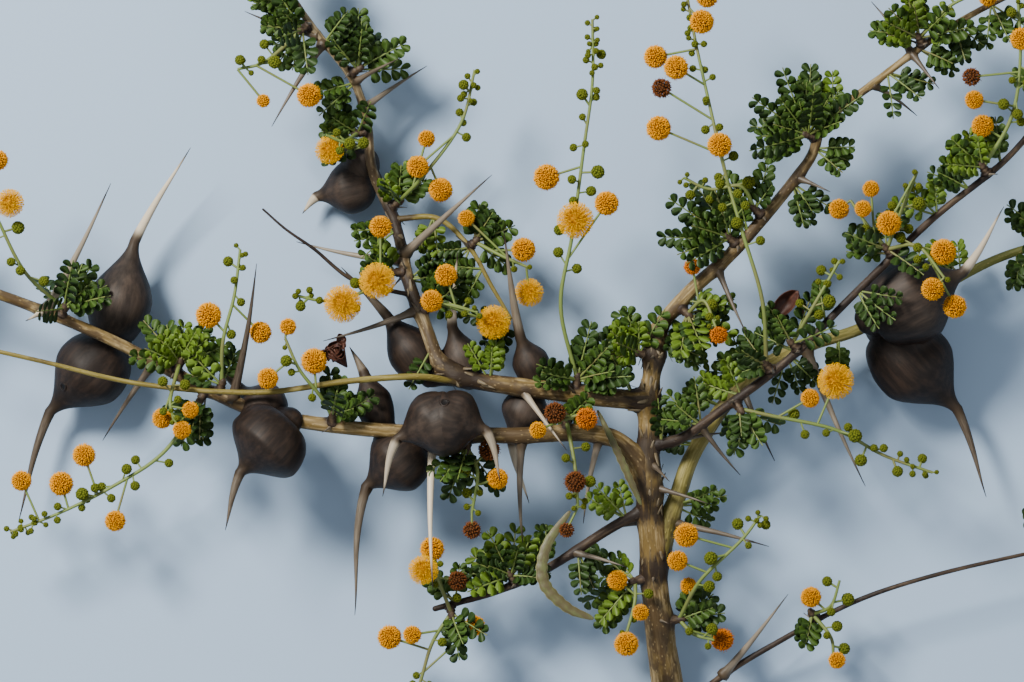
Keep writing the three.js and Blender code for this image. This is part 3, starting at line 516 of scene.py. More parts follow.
def swelling_capsules(centres: Sequence[Vec], radii: Sequence[float]) -> list[Capsule]:
    """Capsules round a body that swells fast: a ball at each centre, and thinner stretches between.

    Args:
        centres: Its centres from end to end.
        radii: Its radius at each.

    Returns:
        The capsules.
    """
    balls = [Capsule(centre, centre, float(radius)) for centre, radius in zip(centres, radii)]
    stretches = zip(centres, centres[1:], radii, radii[1:])
    return balls + [Capsule(a, b, float(mix(r, s, 0.5))) for a, b, r, s in stretches]


@dataclass
class Limb:
    """A limb that tapers from its base to its tip along a smooth curve, and its spines.

    A spine is its base x, y and its tip x, y in the drawing, the tip's rise over the base, and its tone: 0 is
    dark and 1 is ivory.
    """

    name: str
    bends: tuple[Triple, ...]
    radius: tuple[float, float]
    steps: int
    parent: str | None
    bark: Bark
    spines: tuple[tuple[float, ...], ...] = ()

    def __post_init__(self) -> None:
        """Works out the centre line."""
        self.curve = SmoothCurve(self.bends)
        shares = [i / self.steps for i in range(self.steps + 1)]
        self.centres = list(self.curve.points(shares))
        self.radii = [self.radius_at(share) for share in shares]

    def radius_at(self, share: float) -> float:
        """The radius at a share of the limb."""
        return mix(self.radius[0], self.radius[1], share)

    def nearest(self, x: float, y: float) -> float:
        """The share of the limb nearest to a point of the drawing."""
        tried = self.curve.points(np.arange(NODE_SEARCH + 1) / NODE_SEARCH)
        return int(np.argmin(np.hypot(tried[:, 0] - x, tried[:, 1] - y))) / NODE_SEARCH

    def spine_ends(self) -> list[tuple[Vec, Vec, float]]:
        """The base, the tip and the tone of each spine.

        Returns:
            The three of each spine.
        """
        ends = []
        for x, y, tip_x, tip_y, rise, tone in self.spines:
            base = self.curve.point(self.nearest(x, y))
            ends.append((base, np.array((tip_x, tip_y, base[2] + rise)), tone))
        return ends

    def take_room(self, space: Space) -> None:
        """Takes the room of the spines and of the limb.

        Args:
            space: The room that is taken.
        """
        for base, tip, _ in self.spine_ends():
            space.add(capsules_along((base, tip), (SPINE_RADIUS, SPINE_POINT)))
        space.add(capsules_along(self.centres, self.radii))


@dataclass(frozen=True)
class Lobe:
    """A swollen thorn base: from its root over its greatest girth to its neck, then on as a spine."""

    root: Triple
    neck: Triple
    tip: Triple
    girth: float
    fullness: float
    tone: float

    def swelling(self, share: float) -> float:
        """The radius at a share of the way from root to neck.

        Args:
            share: The share.

        Returns:
            The radius in millimetres.
        """
        if share < self.fullness:
            inner = (self.fullness - share) / self.fullness
            return self.girth * mix(math.sqrt(1 - inner * inner), 1, GALL_ROOT_SHARE)
        outer = (share - self.fullness) / (1 - self.fullness)
        return mix(GALL_NECK_RADIUS, self.girth, 0.5 + 0.5 * math.cos(math.pi * outer))

    def rings(self) -> tuple[list[Vec], list[float]]:
        """The centres and radii of the lobe's solid, not yet lowered.

        Returns:
            The centres, and the radius at each.
        """
        root, neck, tip = (np.array(p, dtype=float) for p in (self.root, self.neck, self.tip))
        centres = [mix(root, neck, u) for u in GALL_RINGS] + [mix(neck, tip, 0.5), tip]
        waist = mix(GALL_NECK_RADIUS, SPINE_POINT, 0.5) * GALL_SPINE_WAIST
        return centres, [self.swelling(u) for u in GALL_RINGS] + [waist, SPINE_POINT]

    def lowest(self) -> float:
        """The height of the lowest corner of the lobe's solid, not yet lowered.

        Returns:
            The height in millimetres.
        """
        centres, radii = self.rings()
        sides = GREAT_GALL_SIDES if self.girth > GREAT_GIRTH else SMALL_GALL_SIDES
        across, other = frames(np.array(centres))
        heights = []
        for i, (centre, radius) in enumerate(zip(centres, radii)):
            for k in range(sides):
                a = 2 * math.pi * k / sides
                heights.append(centre[2] + radius * (math.cos(a) * across[i][2] + math.sin(a) * other[i][2]))
        return min(heights)


@dataclass(frozen=True)
class Gall:
    """A pair of lobes on a bough. One that rests is lowered until it touches the floor."""

    name: str
    lobes: tuple[Lobe, ...]
    rests: bool = False
    hole: tuple[float, float] | None = None  # where ants come and go, in the drawing

    def drop(self) -> float:
        """How far the gall is lowered."""
        return min(lobe.lowest() for lobe in self.lobes) if self.rests else 0.0

    def take_room(self, space: Space) -> None:
        """Takes the room of both lobes.

        Args:
            space: The room that is taken.
        """
        lowering = UP * self.drop()
        for lobe in self.lobes:
            centres, radii = lobe.rings()
            space.add(swelling_capsules([centre - lowering for centre in centres], radii))


@dataclass(frozen=True)
class Pod:
    """A flat pod along its bends."""

    name: str
    bends: tuple[Triple, ...]
    half_width: float

    def take_room(self, space: Space) -> None:
        """Takes the pod's room.

        Args:
            space: The room that is taken.
        """
        centres = SmoothCurve(self.bends).points([i / POD_STEPS for i in range(POD_STEPS + 1)])
        widths = [
            self.half_width * mix(POD_END_SHARE, 1, math.sin(math.pi * (i + 0.5) / (POD_STEPS + 1)))
            for i in range(POD_STEPS + 1)
        ]
        space.add(capsules_along(centres, widths))


@dataclass(frozen=True)
class Fan:
    """Pinnae that spread from a spur."""

    toward: float
    spread: float
    count: int
    length: float


@dataclass(frozen=True)
class Raceme:
    """A stem of flower heads: its route, its open heads as x, y and radius, and a count of buds."""

    route: tuple[Triple, ...]
    heads: tuple[Triple, ...] = ()
    buds: int = 0


@dataclass(frozen=True)
class Spray:
    """Leaves and blossom from one spur at a node of its host."""

    name: str
    host: str
    at: tuple[float, float]
    toward: float
    leaves: Fan
    racemes: tuple[Raceme, ...] = ()
    rise: float = 25.0


# Each has its host, its base and its tip in the drawing, its rise, its tone and its share inside a gall
EXTRA_THORNS = (
    ("upper_right_bough", 126.7, 87.2, 127, 93.5, 5, 0.3, 0),
    ("main_stem", 54, -98, 92, -102, 9, 0.5, 0),
    ("main_stem", 55, -108, 36, -119, -5, 0.4, 0),
    ("main_stem", 55, -119, 24, -116, 6, 0.2, 0),
    ("main_stem", 50, -66, 84, -84, 7, 0.2, 0),
    ("left_bough", -84, -26, -92, -2, 12, 0.4, 0),
    ("upper_left_bough", -60, 98, -71, 86, -4, 0.3, 0),
    ("right_bough", 62, -44, 74, -62, 6, 0.3, 0),
    ("left_bough", -28, -33, -27.5, -87, 15, 0.95, 0.36),
)

OPEN_FROM = 5.1  # the radius above which a head is fully open
BLOOMS: dict[Bloom, tuple[tuple[float, float], ...]] = {
    Bloom.WITHERED: ((52, 88), (160, 92), (15, -25), (22, -49), (19, -66), (-19, -84), (-8, -38), (-14, -66)),
    Bloom.SPENT: ((26, -27), (63, 26), (72, 2), (74, -105)),
}

LIMBS: tuple[Limb, ...] = (
    Limb("main_stem", radius=(6.2, 3.6), steps=10, parent=None, bark=Bark.OLIVE, bends=(
        (57.5, -141, 6.1), (55, -122, 10), (51.5, -98, 18), (49, -71, 26), (48, -45, 31), (48, -21, 33),
        (50.5, 0, 34),
    ), spines=(
        (51, -51, 69, -57, 12, 0.2), (49, -42, 55, -49, 12, 0.2), (51, -62, 32, -66, -9, 0.2),
    )),
    Limb("upper_right_bough", radius=(3.3, 1.1), steps=14, parent="main_stem", bark=Bark.OLIVE, bends=(
        (49.9, -5, 34), (50.7, 3.2, 34), (62, 17, 36), (80, 34, 38), (103, 62, 40), (109, 76, 40),
        (125, 89, 39), (157, 112, 36), (201, 134, 30),
    ), spines=(
        (139, 102, 126, 119, -8, 0.2), (139, 101, 149, 88, 8, 0.2), (126, 90, 142, 79, -9, 0.2),
        (99, 57, 111, 52, 7, 0.2), (72, 26, 82, 2, 9, 0.2),
    )),
    Limb("middle_bough", radius=(3.5, 3), steps=6, parent="main_stem", bark=Bark.OLIVE, bends=(
        (48, -21, 33), (31, -19.5, 34.5), (10, -17, 36), (-12, -14, 35), (-25, -10, 34),
    ), spines=(
        (3, -16.5, 19, -38, 14, 0.65),
    )),
    Limb("upper_left_bough", radius=(2.8, 1.2), steps=12, parent="middle_bough", bark=Bark.ASHEN, bends=(
        (-19, -12, 34.6), (-25.9, -6.4, 34), (-30, 4, 32), (-36, 20, 27), (-41, 41, 20), (-49, 60, 17.5),
        (-51, 76, 20), (-56, 92, 25), (-70, 110, 29), (-86, 134, 28),
    ), spines=(
        (-68, 107, -94, 116, -10, 0.2), (-66, 105, -84, 75, 10, 0.25), (-55, 91, -39, 99, 12, 0.2),
        (-51, 82, -30, 97, -9, 0.3), (-38, 28, -76, 35, -12, 0.45), (-38, 30, -7, 58, 20, 0.38),
        (-33, 11, -66, 0, 8, 0.25),
    )),
    Limb("left_bough", radius=(3.4, 1.6), steps=14, parent="main_stem", bark=Bark.OLIVE, bends=(
        (48, -53, 30), (42, -40, 33.5), (30, -32.5, 36), (-4, -33, 38), (-50, -31, 37), (-84, -26, 35),
        (-107, -17, 32), (-142, 1, 29.5), (-179, 16, 31), (-214, 27, 32),
    ), spines=(
        (-163, 12, -140, 55, 14, 0.5), (-164, 12, -170, 7, 9, 0.9), (-98, -21, -89, 27, 15, 0.12),
        (-126, -9, -144, -35, -10, 0.2), (3, -33, 4, -73, -12, 0.3), (31, -33, 25, -64, -8, 0.45),
    )),
    Limb("right_bough", radius=(3.3, 1.3), steps=12, parent="main_stem", bark=Bark.KHAKI, bends=(
        (51, -78, 24), (58, -55, 25), (65, -37, 25), (82, -14, 22), (100, -3, 18), (122, 4, 15),
        (146, 16, 14), (171, 29, 17), (197, 37, 21),
    ), spines=(
        (103, -1, 124, -51, 10, 0.4), (81, -16, 92, -42, 11, 0.25), (56, -64, 90, -72, 8, 0.25),
    )),
    Limb("right_thin_bough", radius=(1.9, 1), steps=13, parent="main_stem", bark=Bark.DARK, bends=(
        (48, -37, 32), (59, -34, 37), (72, -25, 41), (97, -6, 45), (118, 15, 47), (146, 42, 46),
        (172, 63, 43), (186, 80, 40), (196, 99, 37),
    ), spines=(
        (55, -35.5, 76, -32, -4, 0.2), (66, -30, 80, -47, -8, 0.2),
    )),
    Limb("lower_left_bough", radius=(2.1, 1), steps=7, parent="main_stem", bark=Bark.DARK, bends=(
        (49, -58, 28), (34, -66, 30), (12, -80, 29), (-6, -88, 27), (-27, -94, 25),
    ), spines=(
        (22, -75, 40, -79, 10, 0.3),
    )),
    Limb("lower_right_twig", radius=(1.5, 0.9), steps=8, parent="main_stem", bark=Bark.DARK, bends=(
        (56, -134, 8), (73, -119, 13), (92, -107, 16), (120, -92, 19), (150, -82, 21), (194, -72, 20),
    ), spines=(
        (74, -118, 97, -89, 10, 0.4),
    )),
    Limb("long_green_twig", radius=(1.3, 0.7), steps=10, parent="middle_bough", bark=Bark.GREEN, bends=(
        (-17, -15, 36), (-33, -12.5, 43), (-57, -14, 43), (-90, -18, 42), (-130, -15, 39), (-165, -7, 37),
        (-196, 0, 34),
    )),
    Limb("arching_twig", radius=(1.1, 0.6), steps=8, parent="upper_left_bough", bark=Bark.GREEN, bends=(
        (-40.5, 43, 20), (-26, 43, 25), (-15, 33, 28), (-7, 19, 30), (-0.5, 8, 31),
    )),
    Limb("dead_twig", radius=(1, 0.6), steps=7, parent="upper_left_bough", bark=Bark.DEAD, bends=(
        (-35, 16, 28.5), (-55, 21, 37), (-69, 32, 40), (-79, 39, 41), (-87, 46, 40),
    )),
)
GALLS: tuple[Gall, ...] = (
    Gall("far_left_gall", rests=True, hole=(-157.9, -16.1), lobes=(
        Lobe((-141, 1, 16.5), (-133, 35, 17), (-113, 68, 24), 11.2, 0.38, 0.9),
        Lobe((-139, -1, 15), (-163, -25, 14), (-174, -64, 17), 13.2, 0.42, 0.15),
    )),
    Gall("left_gall", lobes=(
        Lobe((-78, -28, 38), (-95, -46, 42), (-100, -66, 46), 14.2, 0.5, 0.2),
        Lobe((-82, -27, 34), (-95, -17, 25), (-113, 1, 18), 8.6, 0.42, 0.3),
    )),
    Gall("centre_left_gall", lobes=(
        Lobe((-32, -36, 32), (-51, -51, 32), (-55, -96, 36), 11.6, 0.45, 0.25),
        Lobe((-45, -32, 30.5), (-52, -11, 30), (-57, -2, 28), 6.6, 0.5, 0.3),
    )),
    Gall("front_gall", hole=(-23.5, -21.4), lobes=(
        Lobe((-20, -25, 50), (-40, -34, 52), (-45, -54, 57), 11.4, 0.42, 0.6),
        Lobe((-27, -26, 50), (-9, -31, 54), (-4, -49, 60), 11, 0.46, 0.45),
    )),
    Gall("elbow_gall", lobes=(
        Lobe((-29, -13, 26.5), (-44, 9, 27), (-60, 26, 24), 8.6, 0.42, 0.2),
        Lobe((-15, -14, 26.5), (-21, 5, 31), (-19, 31, 35), 7.2, 0.42, 0.85),
    )),
    Gall("centre_gall", lobes=(
        Lobe((10, -16, 29), (3, 1, 37), (-3, 39, 42), 6.6, 0.5, 0.3),
        Lobe((7, -18, 28.5), (0, -35, 28), (6, -57, 24), 8.2, 0.4, 0.9),
    )),
    Gall("top_gall", rests=True, lobes=(
        Lobe((-49, 56, 11), (-69, 51, 9), (-74, 45, 11), 9.2, 0.45, 0.75),
        Lobe((-50, 58, 12), (-58, 70, 14), (-63, 86, 20), 6.4, 0.42, 0.85),
    )),
    Gall("right_gall", rests=True, hole=(131.6, 11.6), lobes=(
        Lobe((126, 8, 30), (158, 24, 34), (172, 47, 40), 15.8, 0.5, 0.8),
        Lobe((130, 4, 16), (157, -24, 15), (167, -55, 19), 14.6, 0.46, 0.15),
    )),
)
PODS: tuple[Pod, ...] = (
    Pod("sickle_pod", ((20, -60, 35), (12, -72, 37), (11, -84, 38), (19, -93, 38), (28, -97, 37)), 2.1),
    Pod("young_pod", ((30, -24.5, 42), (36, -37, 43), (41, -48, 42), (45, -57, 39.5)), 1.3),
)
# Each has its host, its place, the way that it faces, its leaves and its racemes: their route, heads and buds
SPRAYS: tuple[Spray, ...] = (
    Spray("left_tip_spray", "left_bough", (-206, 25), 120, Fan(150, 190, 4, 18), (
        Raceme(((-214, 38, 6), (-217, 52, 8)), ((-222, 46, 4.2), (-209, 50, 4)), 2),
    )),
    Spray("far_left_spray", "left_bough", (-158, 10), 95, Fan(80, 130, 5, 20), (
        Raceme(((-170, 24, 8), (-179, 42, 14), (-184, 53, 16)), ((-175, 48, 5.2), (-179, 63, 3.9)), 2),
    )),
    Spray("left_middle_spray", "left_bough", (-118, -12), 80, Fan(85, 130, 5, 18), (
        Raceme(((-119, -20, 4), (-118, -27, 5)), ((-122, -27, 3.9), (-115, -31, 3.5), (-112, -24, 3.2))),
    )),
    Spray("left_upper_spray", "left_bough", (-103, -19), 95, Fan(110, 60, 2, 16), (
        Raceme(((-101, 0, 5), (-97, 16, 6), (-95, 32, 5)), ((-106, 9, 4.9), (-88, 3, 4.2)), 2),
    )),
    Spray("left_galls_spray", "left_bough", (-63, -29.5), 80, Fan(80, 110, 4, 17), rise=45, racemes=(
        Raceme(((-67, -19, 6), (-74, -10, 10), (-79, 1, 11)), (
            (-69, -7, 4.9), (-85, -13, 4), (-78, 5, 3.2),
        ), 1),
    )),
    Spray("left_lower_spray", "left_bough", (-107, -17), 250, Fan(238, 40, 2, 19), (
        Raceme(((-122, -39, 0), (-140, -51, -2), (-158, -60, -3), (-176, -67, -4)), (
            (-150, -40, 4.4), (-172, -49, 3.9), (-158, -50, 4.6), (-139, -63, 4),
        ), 2),
    )),
    Spray("under_left_spray", "left_bough", (-16, -32.5), 265, Fan(255, 130, 5, 21), (
        Raceme(((-12, -46, 4), (-14, -60, 2)), ((-8, -38, 4.2), (-5, -48, 4), (-14, -66, 3.5)), 2),
    )),
    Spray("centre_blossom", "left_bough", (19, -33), 90, Fan(60, 60, 2, 13), (
        Raceme(((19, -27, 8), (26, -25, 9)), ((15, -25, 4.2), (26, -27, 4.2), (9, -31, 3.2))),
        Raceme(((22, -44, 7), (23, -58, 5)), ((22, -49, 4.2), (19, -66, 3)), 1),
    )),
    Spray("top_tip_spray", "upper_left_bough", (-83, 130), 30, Fan(100, 220, 5, 17)),
    Spray("top_left_spray", "upper_left_bough", (-71, 111), 200, Fan(190, 130, 5, 17), (
        Raceme(((-86, 98, 6), (-96, 95, 7)), ((-71, 86, 4.6), (-87, 84, 2.6)), 2),
    )),
    Spray("top_spray", "upper_left_bough", (-57, 94), 20, Fan(55, 120, 5, 20)),
    Spray("top_gall_spray", "upper_left_bough", (-51, 74), 170, Fan(130, 70, 3, 15), (
        Raceme(((-59, 70, 12), (-65, 72, 15)), ((-64, 67, 5.2),), 1),
    )),
    Spray("upper_centre_spray", "upper_left_bough", (-43, 47), 50, Fan(75, 70, 3, 13), (
        Raceme(((-31, 58, 10), (-18, 76, 12), (-13, 95, 12)), (
            (-33, 61, 4.2), (-25, 53, 4.6), (-30, 71, 3.3),
        ), 2),
    )),
    Spray("inner_left_spray", "upper_left_bough", (-37.5, 24), 180, Fan(150, 60, 2, 13), (
        Raceme(((-50, 18, 9), (-64, 14, 11), (-76, 16, 12)), (
            (-59, 13, 6.8), (-47, 21, 6.5), (-46, 40, 4.2),
        ), 2),
    )),
    Spray("inner_right_spray", "upper_left_bough", (-32, 10), 20, Fan(30, 60, 3, 15), (
        Raceme(((-23, 13, 11), (-12, 10, 15)), ((-6.5, 6.5, 6.2), (-23, 23, 4.2), (-28, 14, 4.2))),
    )),
    Spray("arch_spray", "arching_twig", (-15, 33), 60, Fan(20, 120, 3, 15), (
        Raceme(((-4, 30, 5), (5, 26, 6)), ((4, 32, 4.6), (6, 17, 5.2), (-16, 43, 3.2))),
    )),
    Spray("centre_raceme", "middle_bough", (22, -18.5), 90, Fan(90, 170, 8, 20), (
        Raceme(((17, 12, 8), (21, 37, 12), (25, 67, 14), (28, 90, 15), (28, 112, 15)), (
            (12, 57, 4.9), (22, 42, 6.6), (33, 48, 4.6),
        ), 3),
    )),
    Spray("fork_spray", "main_stem", (49.5, -5), 175, Fan(120, 110, 5, 17)),
    Spray("stem_right_spray", "upper_right_bough", (58, 13), 330, Fan(320, 120, 6, 18), (
        Raceme(((67, 14, 6), (71, 5, 9)), ((63, 26, 3.3), (72, 2, 3.4))),
    )),
    Spray("curved_leaf_spray", "upper_right_bough", (79, 33), 140, Fan(165, 90, 4, 24)),
    Spray("bud_spray", "upper_right_bough", (88, 43), 130, Fan(100, 50, 2, 16), (
        Raceme(((80, 54, 3), (69, 53, 2), (60, 57, 2)), buds=2),
    )),
    Spray("great_leaf_spray", "upper_right_bough", (107, 71), 120, Fan(115, 160, 7, 24)),
    Spray("upper_right_spray", "upper_right_bough", (143, 105), 80, Fan(95, 150, 5, 19), (
        Raceme(((151.6, 116, 4), (160, 120.6, 5)), ((150, 123, 3.5), (166, 120, 3.5)), 1),
    )),
    Spray("right_tip_spray", "upper_right_bough", (192, 130.5), 60, Fan(40, 220, 5, 18), (
        Raceme(((189, 121, 4), (192, 110, 5)), ((185, 117, 3.6), (196, 115, 3.4)), 2),
    )),
    Spray("thin_bough_spray", "right_thin_bough", (100, -3), 100, Fan(75, 100, 4, 18), (
        Raceme(((106, 14, 5), (114, 28, 5)), buds=2),
    )),
    Spray("tall_raceme", "right_thin_bough", (91, -10.5), 110, Fan(150, 50, 2, 16), (
        Raceme(((87, 14, 10), (80, 38, 12), (74, 59, 10), (69, 81, 7), (64, 104, 4), (59, 131, 3)), (
            (66, 111, 4.6), (68, 120, 4.2), (50, 99, 4.4), (57, 95, 4.6), (52, 88, 3.9), (51, 74, 4.7),
            (72, 68, 4.6),
        ), 3),
    )),
    Spray("gall_blossom", "right_thin_bough", (133, 30), 130, Fan(90, 120, 4, 18), (
        Raceme(((141, 33, 8), (150, 22, 12)), ((150, 31, 4.9), (146, 18, 4.3), (154, 12, 4.4))),
        Raceme(((124, 40, 2), (118, 49, 0)), ((114, 46, 3.9), (122, 46, 3.2), (125, 53, 3.2))),
        Raceme(((135, 44, 4), (141, 59, 5)), ((131, 41, 4.6),), 2),
    )),
    Spray("right_end_spray", "right_thin_bough", (166, 58.5), 110, Fan(125, 90, 4, 17), (
        Raceme(((174, 78, 4), (177, 98, 5), (176, 122, 5)), (
            (177, 105, 4.2), (160, 92, 3.6), (161, 84, 3.6), (164, 75, 4.2),
        ), 2),
    )),
    Spray("thin_tip_spray", "right_thin_bough", (193, 93), 40, Fan(60, 210, 4, 17)),
    Spray("gall_tip_spray", "right_bough", (189, 35), 60, Fan(30, 230, 5, 17), (
        Raceme(((193, 24, 5), (197, 14, 6)), ((189, 18, 3.8), (201, 20, 3.6)), 2),
    )),
    Spray("hanging_raceme", "right_thin_bough", (78, -21), 280, Fan(300, 70, 3, 16), (
        Raceme(((90, -26, 1), (113, -31, 0), (130, -40, -3), (147, -46, -4)), (
            (113, -14, 6.6), (104, -20, 3.6),
        ), 4),
    )),
    Spray("stem_lower_spray", "main_stem", (51.5, -98), 40, Fan(50, 80, 4, 17), (
        Raceme(((66, -84, 8), (80, -70, 12), (87, -61, 13)), (
            (58, -77, 3.9), (61, -68, 4.6), (62, -86, 3.2),
        ), 3),
        Raceme(((64, -103, 5), (71, -105, 6)), ((74, -105, 4.4),), 1),
    )),
    Spray("stem_left_spray", "main_stem", (50, -83), 180, Fan(185, 80, 4, 22), (
        Raceme(((43, -92, 4), (40, -103, 6)), ((37, -84, 3.9), (40, -106, 4.6), (45, -95, 3.2))),
    )),
    Spray("lower_left_spray", "lower_left_bough", (1, -85), 90, Fan(100, 170, 6, 18)),
    Spray("lower_tip_spray", "lower_left_bough", (-22, -92.5), 260, Fan(310, 60, 2, 16), (
        Raceme(((-25, -86, 5), (-29, -76, 7)), ((-28, -73, 4.6), (-31, -80, 5.4), (-19, -84, 3.9))),
        Raceme(((-28, -106, -1), (-32, -119, -3), (-36, -131, -4)), (
            (-43, -104, 4.6), (-35, -103, 3.5), (-13, -100, 3.9),
        ), 2),
    )),
    Spray("low_twig_spray", "lower_right_twig", (107, -98.5), 60, Fan(290, 60, 2, 12), (
        Raceme(((112, -93, 6), (115, -84, 8)), ((105, -90, 4),), 2),
        Raceme(((112, -104, 3), (113, -111, 3)), ((114, -112, 3.3),), 1),
    )),
    Spray("low_tip_spray", "lower_right_twig", (187, -73.5), 45, Fan(10, 200, 4, 15)),
)


@dataclass(eq=False)
class Twig:
    """A green stem or stalk: points along it, and the radius at each."""

    points: Vec
    radii: Vec


@dataclass(eq=False)
class Pinna:
    """A leaf's stalk that carries two rows of leaflets, flat on its normal and drooping towards its tip."""

    base: Vec
    line: Vec
    normal: Vec
    length: float

    def __post_init__(self) -> None:
        """Works out the sideways direction and the pairs of teeth on the leaf's solid."""
        self.across = np.cross(self.normal, self.line)
        self.pairs = max(3, math.floor(self.length / TOOTH_PITCH + 0.5))

    def at(self, s: float, x: float = 0.0, z: float = 0.0) -> Vec:
        """The point at a share of the leaf's length, so far sideways and so far off its flat."""
        stalk = self.base + self.line * (s * self.length)
        return stalk + self.across * x + self.normal * (z - PINNA_DROOP * s * s)

    def along(self, k: float) -> float:
        """The share of the length at a pair of teeth."""
        return mix(PINNA_STALK_SHARE, 1, k / self.pairs)

    def room(self) -> list[Capsule]:
        """The room that the leaf takes: its rib and its teeth.

        Returns:
            The capsules.
        """
        taken = [Capsule(self.at(PINNA_STALK_SHARE), self.at(1), PINNA_RIB_ROOM)]
        for k in range(self.pairs):
            width = PINNA_HALF_WIDTH * (PINNA_LAST_TOOTH if k == self.pairs - 1 else 1)
            foot = self.at(self.along(k + PINNA_TOOTH_ROOT))
            for side in (width, -width):
                taken.append(Capsule(foot, self.at(self.along(k + PINNA_TOOTH_LEAN), side), PINNA_TOOTH_ROOM))
        return taken


@dataclass(eq=False)
class Head:
    """A flower head or a bud on its stalk."""

    centre: Vec
    radius: float
    stalk: Twig
    bloom: Bloom = Bloom.GOLDEN


class Tuft:
    """A few short leaves straight from the bark of a bough."""

    def __init__(self, host: Limb, share: float, name: str) -> None:
        """Takes the bough, the share of its length where the tuft stands, and the name of its chances."""
        self.host, self.share, self.chance = host, share, Chance(name)
        self.pinnae: list[Pinna] = []

    def grow(self, space: Space) -> None:
        """Grows each leaf where there is room.

        Args:
            space: The room that is taken.
        """
        pick = self.chance
        node, tangent = self.host.curve.point(self.share), self.host.curve.tangent(self.share)
        girth = self.host.radius_at(self.share)
        side = np.cross(UP, tangent) * (1 if pick.next() < 0.5 else -1)
        for _ in range(TUFT_PINNAE):
            for _ in range(PINNA_TRIES):
                line = unit(side + tangent * pick.next(-0.9, 0.9) + UP * pick.next(-0.3, 0.6))
                lean = np.array((pick.next(-0.5, 0.5), pick.next(-0.5, 0.5), 1.0))
                foot, normal = node + line * (girth - TUFT_DEPTH), square_to(line, lean)
                blade = Pinna(foot, line, normal, pick.next(*TUFT_LENGTH))
                if space.take(blade.room(), leafy=True, leaf_gap=SMALL_PINNA_OVERLAP):
                    self.pinnae.append(blade)
                    break


